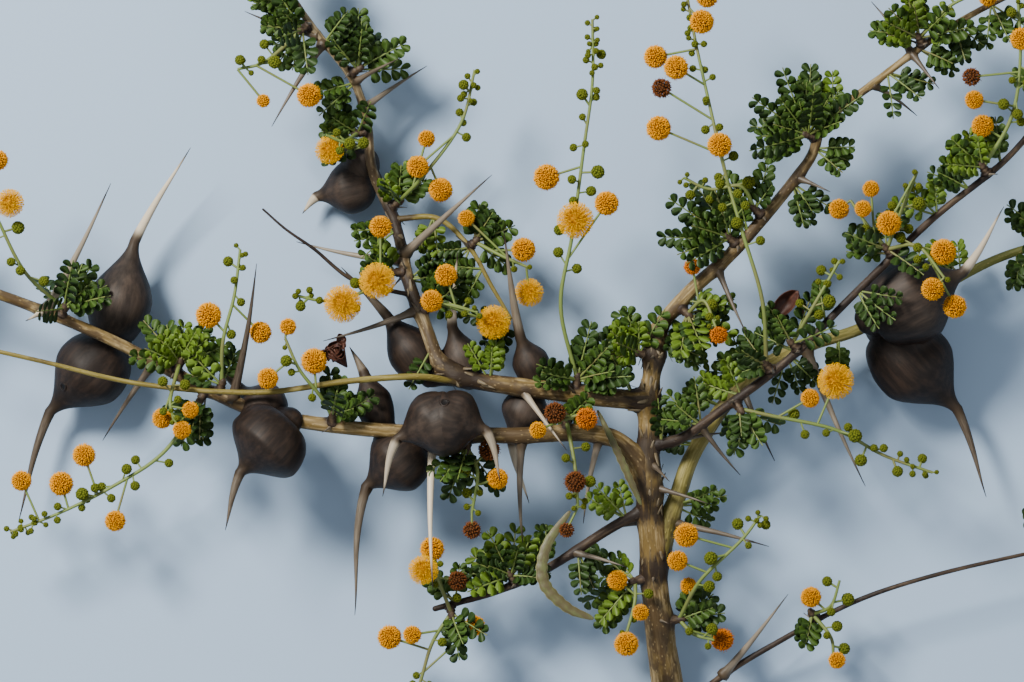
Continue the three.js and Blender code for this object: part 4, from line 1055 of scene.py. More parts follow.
class GrownSpray:
    """What has grown from one spur, where nothing else is in the way."""

    def __init__(self, plan: Spray, host: Limb) -> None:
        """Sets the spur of a planned spray on its host.

        Args:
            plan: The planned spray.
            host: The limb that it stands on.
        """
        self.plan = plan
        self.chance = Chance(plan.name)
        share = host.nearest(*plan.at)
        node, self.girth = host.curve.point(share), host.radius_at(share)
        self.tangent = host.curve.tangent(share)
        out = square_to(self.tangent, heading(plan.toward, plan.rise))
        tip = node + out * (self.girth + SEAT_GAP) + out * SPUR_HEIGHT
        self.spur = (node, tip)
        self.heart = tip - out * SPUR_RADIUS
        self.first_stretches: list[Capsule] = []
        self.raceme_lines: list[tuple[SmoothCurve, list[Capsule]]] = []
        self.stems: list[Twig] = []
        self.heads: list[Head] = []
        self.buds: list[Head] = []
        self.pinnae: list[Pinna] = []
        self.small_pinnae: list[Pinna] = []

    def grow_racemes(self, space: Space) -> None:
        """Grows each raceme: its stem at the first free height, then its open heads, then its buds.

        Args:
            space: The room that is taken.
        """
        for raceme in self.plan.racemes:
            if not any(self.grow_raceme(space, raceme, lift) for lift in LIFTS):
                log.warning("%s: no room for a raceme", self.plan.name)

    def grow_raceme(self, space: Space, raceme: Raceme, lift: float) -> bool:
        """Grows one raceme if its stem is free at a height.

        Args:
            space: The room taken so far.
            raceme: What is to grow.
            lift: The height tried.

        Returns:
            Whether it grew.
        """
        steps = max(3, len(raceme.route) * 2 - 1)
        bends = [self.heart] + [np.array((x, y, self.heart[2] + rise + lift)) for x, y, rise in raceme.route]
        curve = SmoothCurve(bends)
        shares = [i / steps for i in range(steps + 1)]
        stem = capsules_along(curve.points(shares), [mix(*RACEME_RADIUS, share) for share in shares])
        stem[0].root = True
        if not space.take(stem, self.first_stretches):
            return False
        self.first_stretches.append(stem[0])
        fine = np.linspace(0, 1, 5 * steps + 1)
        self.stems.append(Twig(curve.points(fine), mix(*RACEME_RADIUS, fine)))
        for x, y, radius in raceme.heads:
            self.place_head(space, stem, x, y, radius)
        self.grow_buds(space, curve, stem, raceme)
        self.raceme_lines.append((curve, stem))
        return True

    def grow_head(
        self, space: Space, root: Vec, centre: Vec, radius: float, stem: list[Capsule]
    ) -> Head | None:
        """Grows a round head on a stalk from its stem, if it is free.

        Args:
            space: The room taken so far.
            root: Where the stalk leaves the stem.
            centre: The head's middle.
            radius: The head's radius.
            stem: The stem's own room, which the stalk may touch.

        Returns:
            The head, or None.
        """
        wanted = [Capsule(centre, centre, radius), Capsule(root, centre, STALK_RADIUS, root=True)]
        if not space.take(wanted, stem):
            return None
        return Head(centre, radius, Twig(np.array((root, centre)), np.full(2, STALK_RADIUS)))

    def grow_buds(self, space: Space, curve: SmoothCurve, stem: list[Capsule], raceme: Raceme) -> None:
        """Grows buds round the outer part of a stem.

        Args:
            space: The room taken so far.
            curve: The stem's line.
            stem: The stem's own room.
            raceme: What is to grow.
        """
        first = BUDS_AFTER_HEADS if raceme.heads else BUDS_BARE
        for i in range(raceme.buds):
            share = (i + 0.5) / raceme.buds
            root = curve.point(mix(first, 1, share))
            for turn in range(BUD_TRIES):
                angle = i * GOLDEN_ANGLE + turn * BUD_TURN + self.chance.next(-20, 20)
                aim = heading(angle, self.chance.next(-35, 45))
                centre = root + aim * mix(*BUD_REACH, share)
                bud = self.grow_head(space, root, centre, mix(*BUD_RADIUS, share), stem)
                if bud:
                    self.buds.append(bud)
                    break

    def place_head(self, space: Space, stem: list[Capsule], x: float, y: float, radius: float) -> None:
        """Sets an open head at its place in the drawing, or as near to it as there is room.

        Args:
            space: The room taken so far.
            stem: The stem's own room.
            x: Where the head is in the drawing.
            y: The same, towards the upper tips.
            radius: The head's radius.
        """
        ends = sorted((stretch.b for stretch in stem), key=lambda end: math.hypot(end[0] - x, end[1] - y))
        for dx, dy in SHIFTS:
            for lift in LIFTS:
                for root in ends[:NEAREST_ROOTS]:
                    centre = np.array((x + dx, y + dy, root[2] + lift))
                    head = self.grow_head(space, root, centre, radius, stem)
                    if head:
                        head.bloom = bloom_of(x, y, radius)
                        self.heads.append(head)
                        return
        log.warning("%s: no room for the head at %s, %s", self.plan.name, x, y)

    def grow_small_buds(self, space: Space) -> None:
        """Sets small buds along each raceme, ever closer towards its tip, where there is room.

        Args:
            space: The room that is taken.
        """
        for number, (curve, stem) in enumerate(self.raceme_lines):
            pick = Chance(f"{self.plan.name} small buds {number}")
            length = sum(float(np.linalg.norm(stretch.b - stretch.a)) for stretch in stem)
            share, i = SMALL_BUDS_FROM, 0
            while share < 1:
                angle, rise = i * GOLDEN_ANGLE + pick.next(-20, 20), pick.next(-30, 50)
                root, aim = curve.point(share), heading(angle, rise)
                radius = mix(*SMALL_BUD_RADIUS, share) * pick.next(0.85, 1.15)
                centre = root + aim * (radius + mix(*SMALL_BUD_REACH, share) * pick.next(0.7, 1.2))
                tight = share > SMALL_BUDS_CROWD
                room = radius * (SMALL_BUD_SQUEEZE if tight else 1.0)
                if space.take([Capsule(centre, centre, room, root=True)], stem):
                    stalk = Twig(np.array((root, centre)), np.full(2, STALK_RADIUS) * SMALL_STALK_SHARE)
                    self.buds.append(Head(centre, radius, stalk))
                share += SMALL_BUD_PITCH * (0.35 if tight else pick.next(0.7, 1.6)) / length
                i += 1

    def small_thorns(self, space: Space) -> list[tuple[Vec, Vec]]:
        """A pair of short thorns at the spur's node, each where there is room.

        Args:
            space: The room that is taken.

        Returns:
            The base and the tip of each.
        """
        pick = Chance(self.plan.name + " thorns")
        node, tip = self.spur
        out = unit(tip - node)
        side = np.cross(out, self.tangent)
        pair = []
        for turn in (1, -1):
            aim = out * pick.next(0.2, 0.7) + side * turn * pick.next(0.8, 1.1)
            aim = unit(aim + self.tangent * pick.next(-0.5, 0.5))
            end = node + aim * (self.girth + pick.next(*SMALL_THORN_LENGTH))
            if space.take([Capsule(node + aim * (self.girth + SMALL_THORN_GAP), end, SMALL_THORN_RADIUS)]):
                pair.append((node, end))
        return pair

    def grow_pinnae(self, space: Space) -> None:
        """Fans out the pinnae, each turned until it is free.

        Args:
            space: The room that is taken.
        """
        fan = self.plan.leaves
        for i in range(fan.count):
            share = i / (fan.count - 1) - 0.5 if fan.count > 1 else 0.0
            for turn in range(PINNA_TRIES):
                angle = fan.toward + share * fan.spread + (turn / 2) * self.chance.next(-7, 7)
                rise = self.chance.next(-22, 34) + turn * self.chance.next(-3, 3)
                line = heading(angle, rise)
                lean = np.array((self.chance.next(-0.5, 0.5), self.chance.next(-0.5, 0.5), 1.0))
                length = fan.length * self.chance.next(0.85, 1.12)
                blade = Pinna(self.heart, line, square_to(line, lean), length)
                if space.take(blade.room(), leafy=True):
                    self.pinnae.append(blade)
                    break

    def grow_small_pinnae(self, space: Space) -> None:
        """Fills the fan with shorter pinnae, which may lie across other leaves but touch nothing else.

        Args:
            space: The room that is taken.
        """
        fan = self.plan.leaves
        pick = Chance(self.plan.name + " small")
        for _ in range(round(fan.count * SMALL_PINNAE)):
            for _ in range(PINNA_TRIES):
                angle = fan.toward + pick.next(-0.5, 0.5) * (fan.spread + 40)
                line = heading(angle, pick.next(-25, 45))
                lean = np.array((pick.next(-0.5, 0.5), pick.next(-0.5, 0.5), 1.0))
                length = fan.length * pick.next(*SMALL_PINNA_LENGTH)
                blade = Pinna(self.heart, line, square_to(line, lean), length)
                if space.take(blade.room(), leafy=True, leaf_gap=SMALL_PINNA_OVERLAP):
                    self.small_pinnae.append(blade)
                    break


def bloom_of(x: float, y: float, radius: float) -> Bloom:
    """How far the head at a point of the drawing has come.

    Args:
        x: The point's x.
        y: Its y.
        radius: The head's radius.

    Returns:
        The stage of its bloom.
    """
    for bloom, places in BLOOMS.items():
        if any(math.hypot(x - px, y - py) < 1 for px, py in places):
            return bloom
    return Bloom.OPEN if radius > OPEN_FROM else Bloom.GOLDEN


@dataclass(eq=False)
class Skin:
    """Vertices and faces in the drawing, with values by vertex that the finishes read."""

    points: Vec
    faces: list[tuple[int, ...]]
    values: dict[str, Vec]

    @staticmethod
    def joined(skins: Sequence["Skin"]) -> "Skin":
        """Several skins as one; all have the same values.

        Args:
            skins: The skins.

        Returns:
            The joined skin.
        """
        starts = np.cumsum([0] + [len(skin.points) for skin in skins])
        faces = [tuple(i + int(n) for i in face) for skin, n in zip(skins, starts) for face in skin.faces]
        values = {key: np.concatenate([skin.values[key] for skin in skins]) for key in skins[0].values}
        return Skin(np.concatenate([skin.points for skin in skins]), faces, values)

    def mesh(self, name: str) -> bpy.types.Mesh:
        """The skin as a smooth mesh in the frame.

        Args:
            name: The mesh's name.

        Returns:
            The mesh, in metres, with one attribute for each value.
        """
        made = bpy.data.meshes.new(name)
        made.from_pydata(((self.points - DRAWING_CENTRE) * MM).tolist(), [], self.faces)
        for key, value in self.values.items():
            vector = value.ndim == 2
            layer = made.attributes.new(key, "FLOAT_VECTOR" if vector else "FLOAT", "POINT")
            layer.data.foreach_set("vector" if vector else "value", value.astype(np.float32).ravel())
        made.shade_smooth()
        made.update()
        return made


def ring_faces(rings: int, sides: int) -> list[tuple[int, ...]]:
    """The faces of a tube of rings, facing out. Two vertices after the rings close its start and its end.

    Args:
        rings: The count of rings.
        sides: The vertices in each.

    Returns:
        The faces.
    """
    faces: list[tuple[int, ...]] = []
    for i in range(rings - 1):
        for k in range(sides):
            n = (k + 1) % sides
            faces.append((i * sides + k, i * sides + n, (i + 1) * sides + n, (i + 1) * sides + k))
    start, last = rings * sides, (rings - 1) * sides
    for k in range(sides):
        n = (k + 1) % sides
        faces += [(start, n, k), (start + 1, last + k, last + n)]
    return faces


@dataclass(eq=False)
class Loft:
    """A round body lofted along its centre line, closed at both ends."""

    centres: Vec
    radii: Vec
    sides: int
    values: dict[str, Vec] = field(default_factory=dict)  # by ring
    flatten: float = 1.0  # the thickness along `across`, as a share of the width
    relief: Any = None  # takes a vertex's grain and ring, and returns what is added to its radius

    def skin(self) -> Skin:
        """The loft's skin. Its `grain` value is the place round and along the body, without a seam.

        Returns:
            The skin, closed at both ends.
        """
        across, other = frames(self.centres)
        run = run_along(self.centres)
        turns = 2 * math.pi * np.arange(self.sides) / self.sides
        points, grain = [], []
        for i, centre in enumerate(self.centres):
            for turn in turns:
                c, s, r = math.cos(turn), math.sin(turn), float(self.radii[i])
                place = (c * r, s * r, float(run[i]))
                if self.relief:
                    r += self.relief(Vector(place), i)
                points.append(centre + across[i] * (c * r * self.flatten) + other[i] * (s * r))
                grain.append(place)
        points += [self.centres[0], self.centres[-1]]
        grain += [(0.0, 0.0, 0.0), (0.0, 0.0, float(run[-1]))]
        values = {key: np.append(np.repeat(v, self.sides), (v[0], v[-1])) for key, v in self.values.items()}
        values["grain"] = np.array(grain)
        return Skin(np.array(points), ring_faces(len(self.centres), self.sides), values)


def rounded(centres: Vec, radii: Vec, start: bool, end: bool) -> tuple[Vec, Vec, list[int]]:
    """Adds domes to the ends of a centre line.

    Args:
        centres: The centre line.
        radii: The radius at each centre.
        start: Whether the start gets a dome.
        end: Whether the end gets one.

    Returns:
        The centres, the radii, and the ring of the first line that each stands for.
    """
    angles = [math.radians(a) for a in DOME_ANGLES]
    points, widths, rings = list(centres), list(radii), list(range(len(centres)))
    if end:
        along = unit(centres[-1] - centres[-2])
        points += [centres[-1] + along * radii[-1] * math.sin(a) for a in angles]
        widths += [radii[-1] * math.cos(a) for a in angles]
        rings += [len(centres) - 1] * len(angles)
    if start:
        along = unit(centres[0] - centres[1])
        points = [centres[0] + along * radii[0] * math.sin(a) for a in reversed(angles)] + points
        widths = [radii[0] * math.cos(a) for a in reversed(angles)] + widths
        rings = [0] * len(angles) + rings
    return np.array(points), np.array(widths), rings


def ridges(place: Vector, around: float, along: float, offset: float) -> float:
    """Noise from -1 to 1 over a body's grain, as fine as given round it and along it, moved by an offset."""
    return noise.noise(Vector((place.x * around + offset, place.y * around - offset, place.z * along)))


@dataclass(eq=False)
class Body:
    """A round body near another: its centre line and the radius at each centre."""

    centres: Vec
    radii: Vec

    def distance(self, points: Vec) -> Vec:
        """How far points lie from the body's surface; below zero inside it.

        Args:
            points: The points, one row for each.

        Returns:
            The distances in millimetres.
        """
        nearest = np.full(len(points), math.inf)
        for a, b, r0, r1 in zip(self.centres, self.centres[1:], self.radii, self.radii[1:]):
            along = b - a
            share = np.clip((points - a) @ along / float(along @ along), 0, 1)
            away = np.linalg.norm(points - a - share[:, None] * along, axis=1) - mix(r0, r1, share)
            nearest = np.minimum(nearest, away)
        return nearest


class Pear(Body):
    """A body swollen along a straight axis, as a gall's lobe is; its distance is taken square to the axis."""

    def distance(self, points: Vec) -> Vec:
        """How far points lie from the pear's surface; below zero inside it.

        Args:
            points: The points, one row for each.

        Returns:
            The distances in millimetres.
        """
        root, reach = self.centres[0], self.centres[-1] - self.centres[0]
        share = np.clip((points - root) @ reach / float(reach @ reach), 0, 1)
        radius = np.interp(share, np.linspace(0, 1, len(self.radii)), self.radii)
        return np.linalg.norm(points - root - share[:, None] * reach, axis=1) - radius


def fillet(points: Vec, axis: Vec, other: Body, reach: float) -> Vec:
    """Swells a body where it meets another, so that they run into each other without a crease.

    Args:
        points: The body's vertices.
        axis: The place on its centre line that each belongs to.
        other: The body that it meets.
        reach: How far from the crease the swelling starts.

    Returns:
        The vertices.
    """
    out = points - axis
    out /= np.maximum(np.linalg.norm(out, axis=1), 1e-6)[:, None]
    near = np.clip(other.distance(points), 0, reach)
    return points + out * ((reach - near) ** 2 / (4 * reach))[:, None]


def nearness(points: Vec, places: Sequence[Vec], reach: Any) -> Vec:
    """How near points are to the nearest of some places.

    Args:
        points: The points.
        places: The places.
        reach: Where the nearness has fallen to about a third, for all or for each point.

    Returns:
        For each point 1 at a place, falling to 0 away from all.
    """
    near = np.zeros(len(points))
    for place in places:
        away = np.linalg.norm(points - place, axis=1)
        near = np.maximum(near, np.exp(-((away / reach) ** 2)))
    return near


@dataclass(frozen=True)
class BarkRelief:
    """The shape of bark: flutes, fine ridges, cracks and pores, each as a share of the radius."""

    flute: float = 0.05
    ridge: float = 0.03
    crack: float = 0.0
    pore: float = 0.03

    def height(self, place: Vector, radius: float, offset: float) -> float:
        """What the relief adds to the radius at a place, in millimetres.

        Args:
            place: The place along and round the limb.
            radius: The limb's radius there.
            offset: Where in the noise the limb lies.

        Returns:
            The height in millimetres.
        """
        h = self.flute * ridges(place, 0.35, 0.035, offset)
        h += self.ridge * ridges(place, 1.3, 0.12, offset + 7)
        h += self.pore * max(0.0, ridges(place, 1.1, 0.9, offset + 13) - 0.35)
        h -= self.crack * max(0.0, ridges(place, 0.9, 0.3, offset + 29) - 0.1)
        return h * radius


class LimbMesh:
    """A limb's bark: dense rings with relief, thick at its nodes and flared where it leaves its parent."""

    PITCH = 0.75
    SIDES = ((5.0, 28), (2.5, 20), (0.0, 14))  # for limbs stouter than each radius at their base
    NODE_REACH = 1.5  # of the limb's radius
    NODE_SWELLING = 0.42
    FILLET = 1.5  # of the thinner limb's radius
    WORN_REACH = 9.0  # of the dark, cracked bark round a fork
    SLENDER = {  # the bark's girth at both ends, as a share of the solid's
        "main_stem": (1.0, 0.80), "upper_right_bough": (0.95, 0.82), "upper_left_bough": (1.0, 0.9),
        "dead_twig": (0.85, 0.6), "lower_right_twig": (0.9, 0.72), "right_thin_bough": (1.0, 0.88),
    }
    PEELING_RADIUS = 2.7  # from which a limb's bark peels
    PEELING = 0.07  # how much of it does
    RELIEFS = {
        Bark.OLIVE: BarkRelief(crack=0.05),
        Bark.ASHEN: BarkRelief(flute=0.07, crack=0.04),
        Bark.KHAKI: BarkRelief(flute=0.04),
        Bark.DARK: BarkRelief(pore=0.08),
        Bark.GREEN: BarkRelief(flute=0.03, ridge=0.015, pore=0.0),
        Bark.DEAD: BarkRelief(flute=0.09, ridge=0.06, crack=0.08),
    }

    def __init__(self, limb: Limb, nodes: list[Vec], joined: list[Limb]) -> None:
        """Takes the limb, the points where spurs and thorns stand on it, and the limbs that it meets.

        Args:
            limb: The limb.
            nodes: The points.
            joined: The limbs that it meets.
        """
        self.limb = limb
        self.nodes = nodes
        self.joined = joined
        self.flakes: list[tuple[Vec, Vec, Vec]] = []  # the place, the way out of the bark and the limb's line

    def forks(self) -> list[Vec]:
        """Where the limb meets its parent and the limbs that leave it."""
        own = [self.limb.centres[0]] if self.limb.parent else []
        return own + [other.centres[0] for other in self.joined if other.parent == self.limb.name]

    def skin(self) -> Skin:
        """The limb's skin, with `knot` near its nodes and `cut` on a sawn end.

        Returns:
            The skin.
        """
        limb = self.limb
        shares, centres, _ = limb.curve.evenly(self.PITCH)
        radii = mix(*limb.radius, shares) * mix(*self.SLENDER.get(limb.name, (1.0, 1.0)), shares)
        centres, radii, rings = rounded(centres, radii, start=bool(limb.parent), end=True)
        relief, offset = self.RELIEFS[limb.bark], Chance(limb.name).next(0, 90)
        values = {"cut": np.zeros(len(rings)), "age": shares[rings]}
        sides = next(count for girth, count in self.SIDES if limb.radius[0] > girth)
        loft = Loft(centres, radii, sides, values)
        loft.relief = lambda place, i: relief.height(place, float(radii[i]), offset)
        skin = loft.skin()
        axis = np.concatenate((np.repeat(centres, sides, axis=0), centres[[0, -1]]))
        girth = np.concatenate((np.repeat(radii, sides), radii[[0, -1]]))
        knot = nearness(skin.points, self.nodes, self.NODE_REACH * np.sqrt(girth) + 0.6)
        skin.points = axis + (skin.points - axis) * (1 + self.NODE_SWELLING * knot / np.sqrt(girth))[:, None]
        for other in self.joined:
            thinner = min(limb.radius[0], other.radius[0])
            body = Body(np.array(other.centres), np.array(other.radii))
            skin.points = fillet(skin.points, axis, body, self.FILLET * thinner)
        worn = nearness(skin.points, self.forks(), self.WORN_REACH)
        self.peel(skin.points, axis, worn)
        skin.values.update(worn=worn, knot=knot)
        return skin if limb.parent else self.sawn(skin, sides)

    def peel(self, points: Vec, axis: Vec, worn: Vec) -> None:
        """Notes where flakes of bark stand off round the forks of a stout limb.

        Args:
            points: The points of the bark.
            axis: The limb's middle at each.
            worn: How near a fork each lies, from 0 to 1.
        """
        if self.limb.radius[0] < self.PEELING_RADIUS:
            return
        pick = Chance(self.limb.name + " flakes")
        for point, middle, share in zip(points, axis, worn):
            if pick.next() < self.PEELING * max(0.0, share - 0.4):
                line = self.limb.curve.tangent(self.limb.nearest(middle[0], middle[1]))
                out = unit(point - middle)
                self.flakes.append((point - out * 0.15, out, line * (1 if pick.next() < 0.5 else -1)))

    def sawn(self, skin: Skin, sides: int) -> Skin:
        """The skin with a flat sawn face of several rings at its start.

        Args:
            skin: The limb's skin.
            sides: The vertices in each ring.

        Returns:
            The skin.
        """
        middle = len(skin.points) - 2
        rim = skin.points[:sides]
        shares = (0.93, 0.9, 0.55, 0.2)
        extra = [mix(skin.points[middle], rim, share) for share in shares]
        grains = [skin.values["grain"][:sides] * share for share in shares]
        first = len(skin.points)
        faces = [face for face in skin.faces if middle not in face]
        outer = list(range(sides))
        for j in range(len(shares)):
            inner = [first + j * sides + k for k in range(sides)]
            for k in range(sides):
                n = (k + 1) % sides
                faces.append((outer[k], inner[k], inner[n], outer[n]))
            outer = inner
        faces += [(middle, outer[(k + 1) % sides], outer[k]) for k in range(sides)]
        none = np.zeros(len(shares) * sides)
        values = {key: np.append(skin.values[key], none) for key in ("knot", "cut", "age", "worn")}
        sawn = (1.0, *np.repeat((0.3, 1.0, 1.0, 1.0), sides))
        values["cut"][[middle, *range(first, first + len(none))]] = sawn
        values["grain"] = np.concatenate([skin.values["grain"], *grains])
        return Skin(np.concatenate([skin.points, *extra]), faces, values)


class DryLeaf:
    """A dead leaf that has curled up, on a dry stalk."""

    ROWS = 16
    COLUMNS = 11
    THICKNESS = 0.22
    CRUMPLE = 0.9
    STALK_RINGS = 9
    STALK_BOW = 1.2
    STALK_RADIUS = 0.4

    def __init__(self, root: Triple, neck: Triple, tip: Triple, width: float, roll: float) -> None:
        """Takes where the stalk and the blade start, the tip, half the flat width, and each half's curl."""
        self.root, self.neck, self.tip = (np.array(p, dtype=float) for p in (root, neck, tip))
        self.width, self.roll = width, roll

    def skins(self) -> list[Skin]:
        """The blade and its stalk.

        Returns:
            Their two skins.
        """
        reach = self.tip - self.neck
        line = unit(reach)
        up = square_to(line, UP)
        side = np.cross(line, up)
        layers: list[list[Vec]] = [[], []]
        across = []
        for s in np.linspace(0, 1, self.ROWS):
            half = self.width * (0.06 + 0.94 * math.sin(math.pi * s**0.8) ** 0.7)
            middle = self.neck + reach * s - up * (2.2 * math.sin(math.pi * s))
            for j in np.linspace(-1, 1, self.COLUMNS):
                turn = j * self.roll * mix(0.6, 1.25, s)
                flat = half * math.sin(turn) / self.roll
                rise = half * (1 - math.cos(turn)) / self.roll
                wave = noise.noise(Vector((s * 4.0, j * 2.2, self.width)))
                point = middle + side * flat + up * (rise + wave * self.CRUMPLE * math.sin(math.pi * s))
                out = unit(up * math.cos(turn) - side * math.sin(turn))
                layers[0].append(point - out * self.THICKNESS / 2)
                layers[1].append(point + out * self.THICKNESS / 2)
                across.append(abs(j))
        n, rows = self.COLUMNS, self.ROWS
        count = n * rows
        faces: list[tuple[int, ...]] = []
        for i in range(rows - 1):
            for j in range(n - 1):
                a = i * n + j
                b = a + count
                faces += [(a, a + n, a + n + 1, a + 1), (b, b + 1, b + n + 1, b + n)]
        ring = [*range(n - 1), *(i * n + n - 1 for i in range(rows - 1))]
        ring += [*range(count - 1, count - n, -1), *(i * n for i in range(rows - 1, 0, -1))]
        faces += [(a, b, b + count, a + count) for a, b in zip(ring, ring[1:] + ring[:1])]
        tone = 0.4
        values = {"across": np.array(across * 2), "tone": np.full(2 * count, tone)}
        shares = np.linspace(0, 1, self.STALK_RINGS)
        bow = np.sin(math.pi * shares) * self.STALK_BOW
        line = self.root + shares[:, None] * (self.neck - self.root) + bow[:, None] * UP
        dry = {"across": np.full(len(line), 0.9), "tone": np.full(len(line), tone)}
        stalk = Loft(line, np.full(len(line), self.STALK_RADIUS), 8, dry)
        return [Skin(np.array(layers[0] + layers[1]), faces, values), stalk.skin()]


class ThornMesh:
    """A slender thorn: flared where it leaves the bark, a little bowed, dark at its point."""

    RINGS = 16
    SIDES = 10
    BOW = 0.03  # of its length
    FLARE = 0.5  # of its radius, at the bark
    FLARE_REACH = 1.3
    POINT = 0.8  # of the solid's radius there

    def __init__(self, base: Vec, tip: Vec, radius: float, tone: float, buried: float) -> None:
        """Takes the thorn's ends, its radius, its tone, and how far from its base it leaves the bark."""
        self.base, self.tip, self.radius, self.tone, self.buried = base, tip, radius, tone, buried

    def skin(self) -> Skin:
        """The thorn's skin, with `along` from its foot to its point.

        Returns:
            The skin.
        """
        reach = self.tip - self.base
        length = math.sqrt(float(reach @ reach))
        shares = np.linspace(0.0, 1.0, self.RINGS) ** 1.25
        side = square_to(reach / length, UP + reach[[1, 0, 2]] / length)
        bow = np.sin(math.pi * shares) * self.BOW * length
        centres = self.base + shares[:, None] * reach + bow[:, None] * side
        out = np.maximum(0.0, shares * length - self.buried)
        flare = self.FLARE * self.radius * np.exp(-out / self.FLARE_REACH)
        radii = mix(self.radius, SPINE_POINT * self.POINT, shares**1.05) + flare
        above = np.clip((shares * length - self.buried) / max(1e-6, length - self.buried), 0, 1)
        values = {"along": above, "tone": np.full(self.RINGS, self.tone)}
        return Loft(centres, radii, self.SIDES, values).skin()


class GallMesh:
    """A gall's lobes as smooth swollen bodies, each drawn out into its thorn."""

    BODY_RINGS = 44
    THORN_RINGS = 18
    PEAR_RADII = 60
    SIDES = 36
    SMALL_SIDES = 26
    SMALL_GIRTH = 8.0  # up to which a lobe has the fewer sides
    BRIDGE_RADIUS = 2.4
    BRIDGE_RINGS = 14
    FILLET = 4.0
    FUSED = {"front_gall": (11.0, 0.88)}  # its fillet, and its girth as a share of the solid's
    BRIDGE_FILLET = 3.0
    TUCK = 0.35  # of how far a vertex lies past the crease, by which it goes under the other lobe
    HALVINGS = 14  # in the search for the shared surface

    def __init__(self, gall: Gall) -> None:
        """Takes the gall.

        Args:
            gall: The gall.
        """
        self.gall = gall
        self.lowering = UP * gall.drop()
        self.reach, self.slim = self.FUSED.get(gall.name, (self.FILLET, 1.0))
        self.bodies = [self.body(lobe) for lobe in gall.lobes] + [self.bridge_body()]

    def lowered(self, *places: Triple) -> list[Vec]:
        """Places of the gall, where they are once it rests."""
        return [np.array(place, dtype=float) - self.lowering for place in places]

    def lobe(self, lobe: Lobe, number: int) -> Skin:
        """One lobe's skin, with `along` from the neck to the thorn's point.

        Args:
            lobe: The lobe.
            number: Sets its relief apart from the other's.

        Returns:
            The skin.
        """
        root, neck, tip = self.lowered(lobe.root, lobe.neck, lobe.tip)
        body = np.linspace(0, 1, self.BODY_RINGS)
        spike = np.linspace(0, 1, self.THORN_RINGS + 1)[1:]
        centres = [mix(root, neck, u) for u in body]
        radii = [lobe.swelling(u) * self.slim for u in body]
        turn = unit(neck - root) * math.sqrt(float((tip - neck) @ (tip - neck))) * 0.22
        for u in spike:
            centres.append(mix(neck, tip, u) + turn * (u * (1 - u) ** 2) * 1.6)
            radii.append(mix(GALL_NECK_RADIUS, SPINE_POINT * 0.7, u**0.85))
        line, widths, rings = rounded(np.array(centres), np.array(radii), start=True, end=False)
        along = np.concatenate((body * 0.0, spike))
        swell = np.concatenate((body, np.ones(len(spike))))
        values = {"along": along[rings], "tone": np.full(len(rings), lobe.tone), "body": swell[rings]}
        offset = Chance(self.gall.name).next(0, 60) + 11 * number
        loft = Loft(line, widths, self.SIDES if lobe.girth > self.SMALL_GIRTH else self.SMALL_SIDES, values)
        loft.relief = lambda place, i: self.relief(place, float(widths[i]), offset, float(along[rings[i]]))
        return self.run_together(loft.skin(), loft, number)

    def run_together(self, skin: Skin, loft: Loft, number: int) -> Skin:
        """Moves a body's vertices out to the one smooth surface that all the gall's bodies share.

        Args:
            skin: The body's skin.
            loft: Its loft.
            number: Its place among the bodies.

        Returns:
            The skin, whose vertices past a crease lie under the other body.
        """
        ends = [0, -1]
        axis = np.concatenate((np.repeat(loft.centres, loft.sides, axis=0), loft.centres[ends]))
        girth = np.concatenate((np.repeat(loft.radii, loft.sides), loft.radii[ends]))
        out = skin.points - axis
        far = np.linalg.norm(out, axis=1)
        out /= np.maximum(far, 1e-6)[:, None]
        spike = Body(loft.centres[-self.THORN_RINGS :], loft.radii[-self.THORN_RINGS :])
        low, high = np.zeros(len(axis)), girth + np.minimum(self.reach / 2, girth)
        for _ in range(self.HALVINGS):
            middle = (low + high) / 2
            points = axis + out * middle[:, None]
            inside = np.minimum(self.shared(points), spike.distance(points)) < 0
            low, high = np.where(inside, middle, low), np.where(inside, high, middle)
        points = axis + out * low[:, None]
        own = np.minimum(self.bodies[number].distance(points), spike.distance(points))
        others = [body for body in self.bodies if body is not self.bodies[number]]
        past = own - np.min([body.distance(points) for body in others], axis=0)
        seat = low + (far - girth) - self.TUCK * np.clip(past, 0, 1.5)
        skin.points[:-2] = (axis + out * seat[:, None])[:-2]
        return skin

    def shared(self, points: Vec) -> Vec:
        """How far points lie from the surface that runs over all the bodies with a fillet between them.

        Args:
            points: The points, one row for each.

        Returns:
            The distances in millimetres.
        """
        whole = self.bodies[0].distance(points)
        for body, reach in zip(self.bodies[1:], (self.reach, self.BRIDGE_FILLET)):
            other = body.distance(points)
            near = np.maximum(reach - np.abs(whole - other), 0.0) / reach
            whole = np.minimum(whole, other) - near * near * reach / 4
        return whole

    def body(self, lobe: Lobe) -> Body:
        """A lobe's swollen part."""
        radii = np.array([lobe.swelling(u) for u in np.linspace(0, 1, self.PEAR_RADII)])
        return Pear(np.array(self.lowered(lobe.root, lobe.neck)), radii * self.slim)

    def bridge_body(self) -> Body:
        """The neck of tissue that joins the lobes' roots across the bough.

        Returns:
            The neck as a body.
        """
        a, b = self.lowered(*(lobe.root for lobe in self.gall.lobes))
        radius = max(self.BRIDGE_RADIUS, min(lobe.swelling(0.0) for lobe in self.gall.lobes) * 0.9)
        shares = np.linspace(0, 1, self.BRIDGE_RINGS)
        return Body(np.array([mix(a, b, s) for s in shares]), np.full(self.BRIDGE_RINGS, radius))

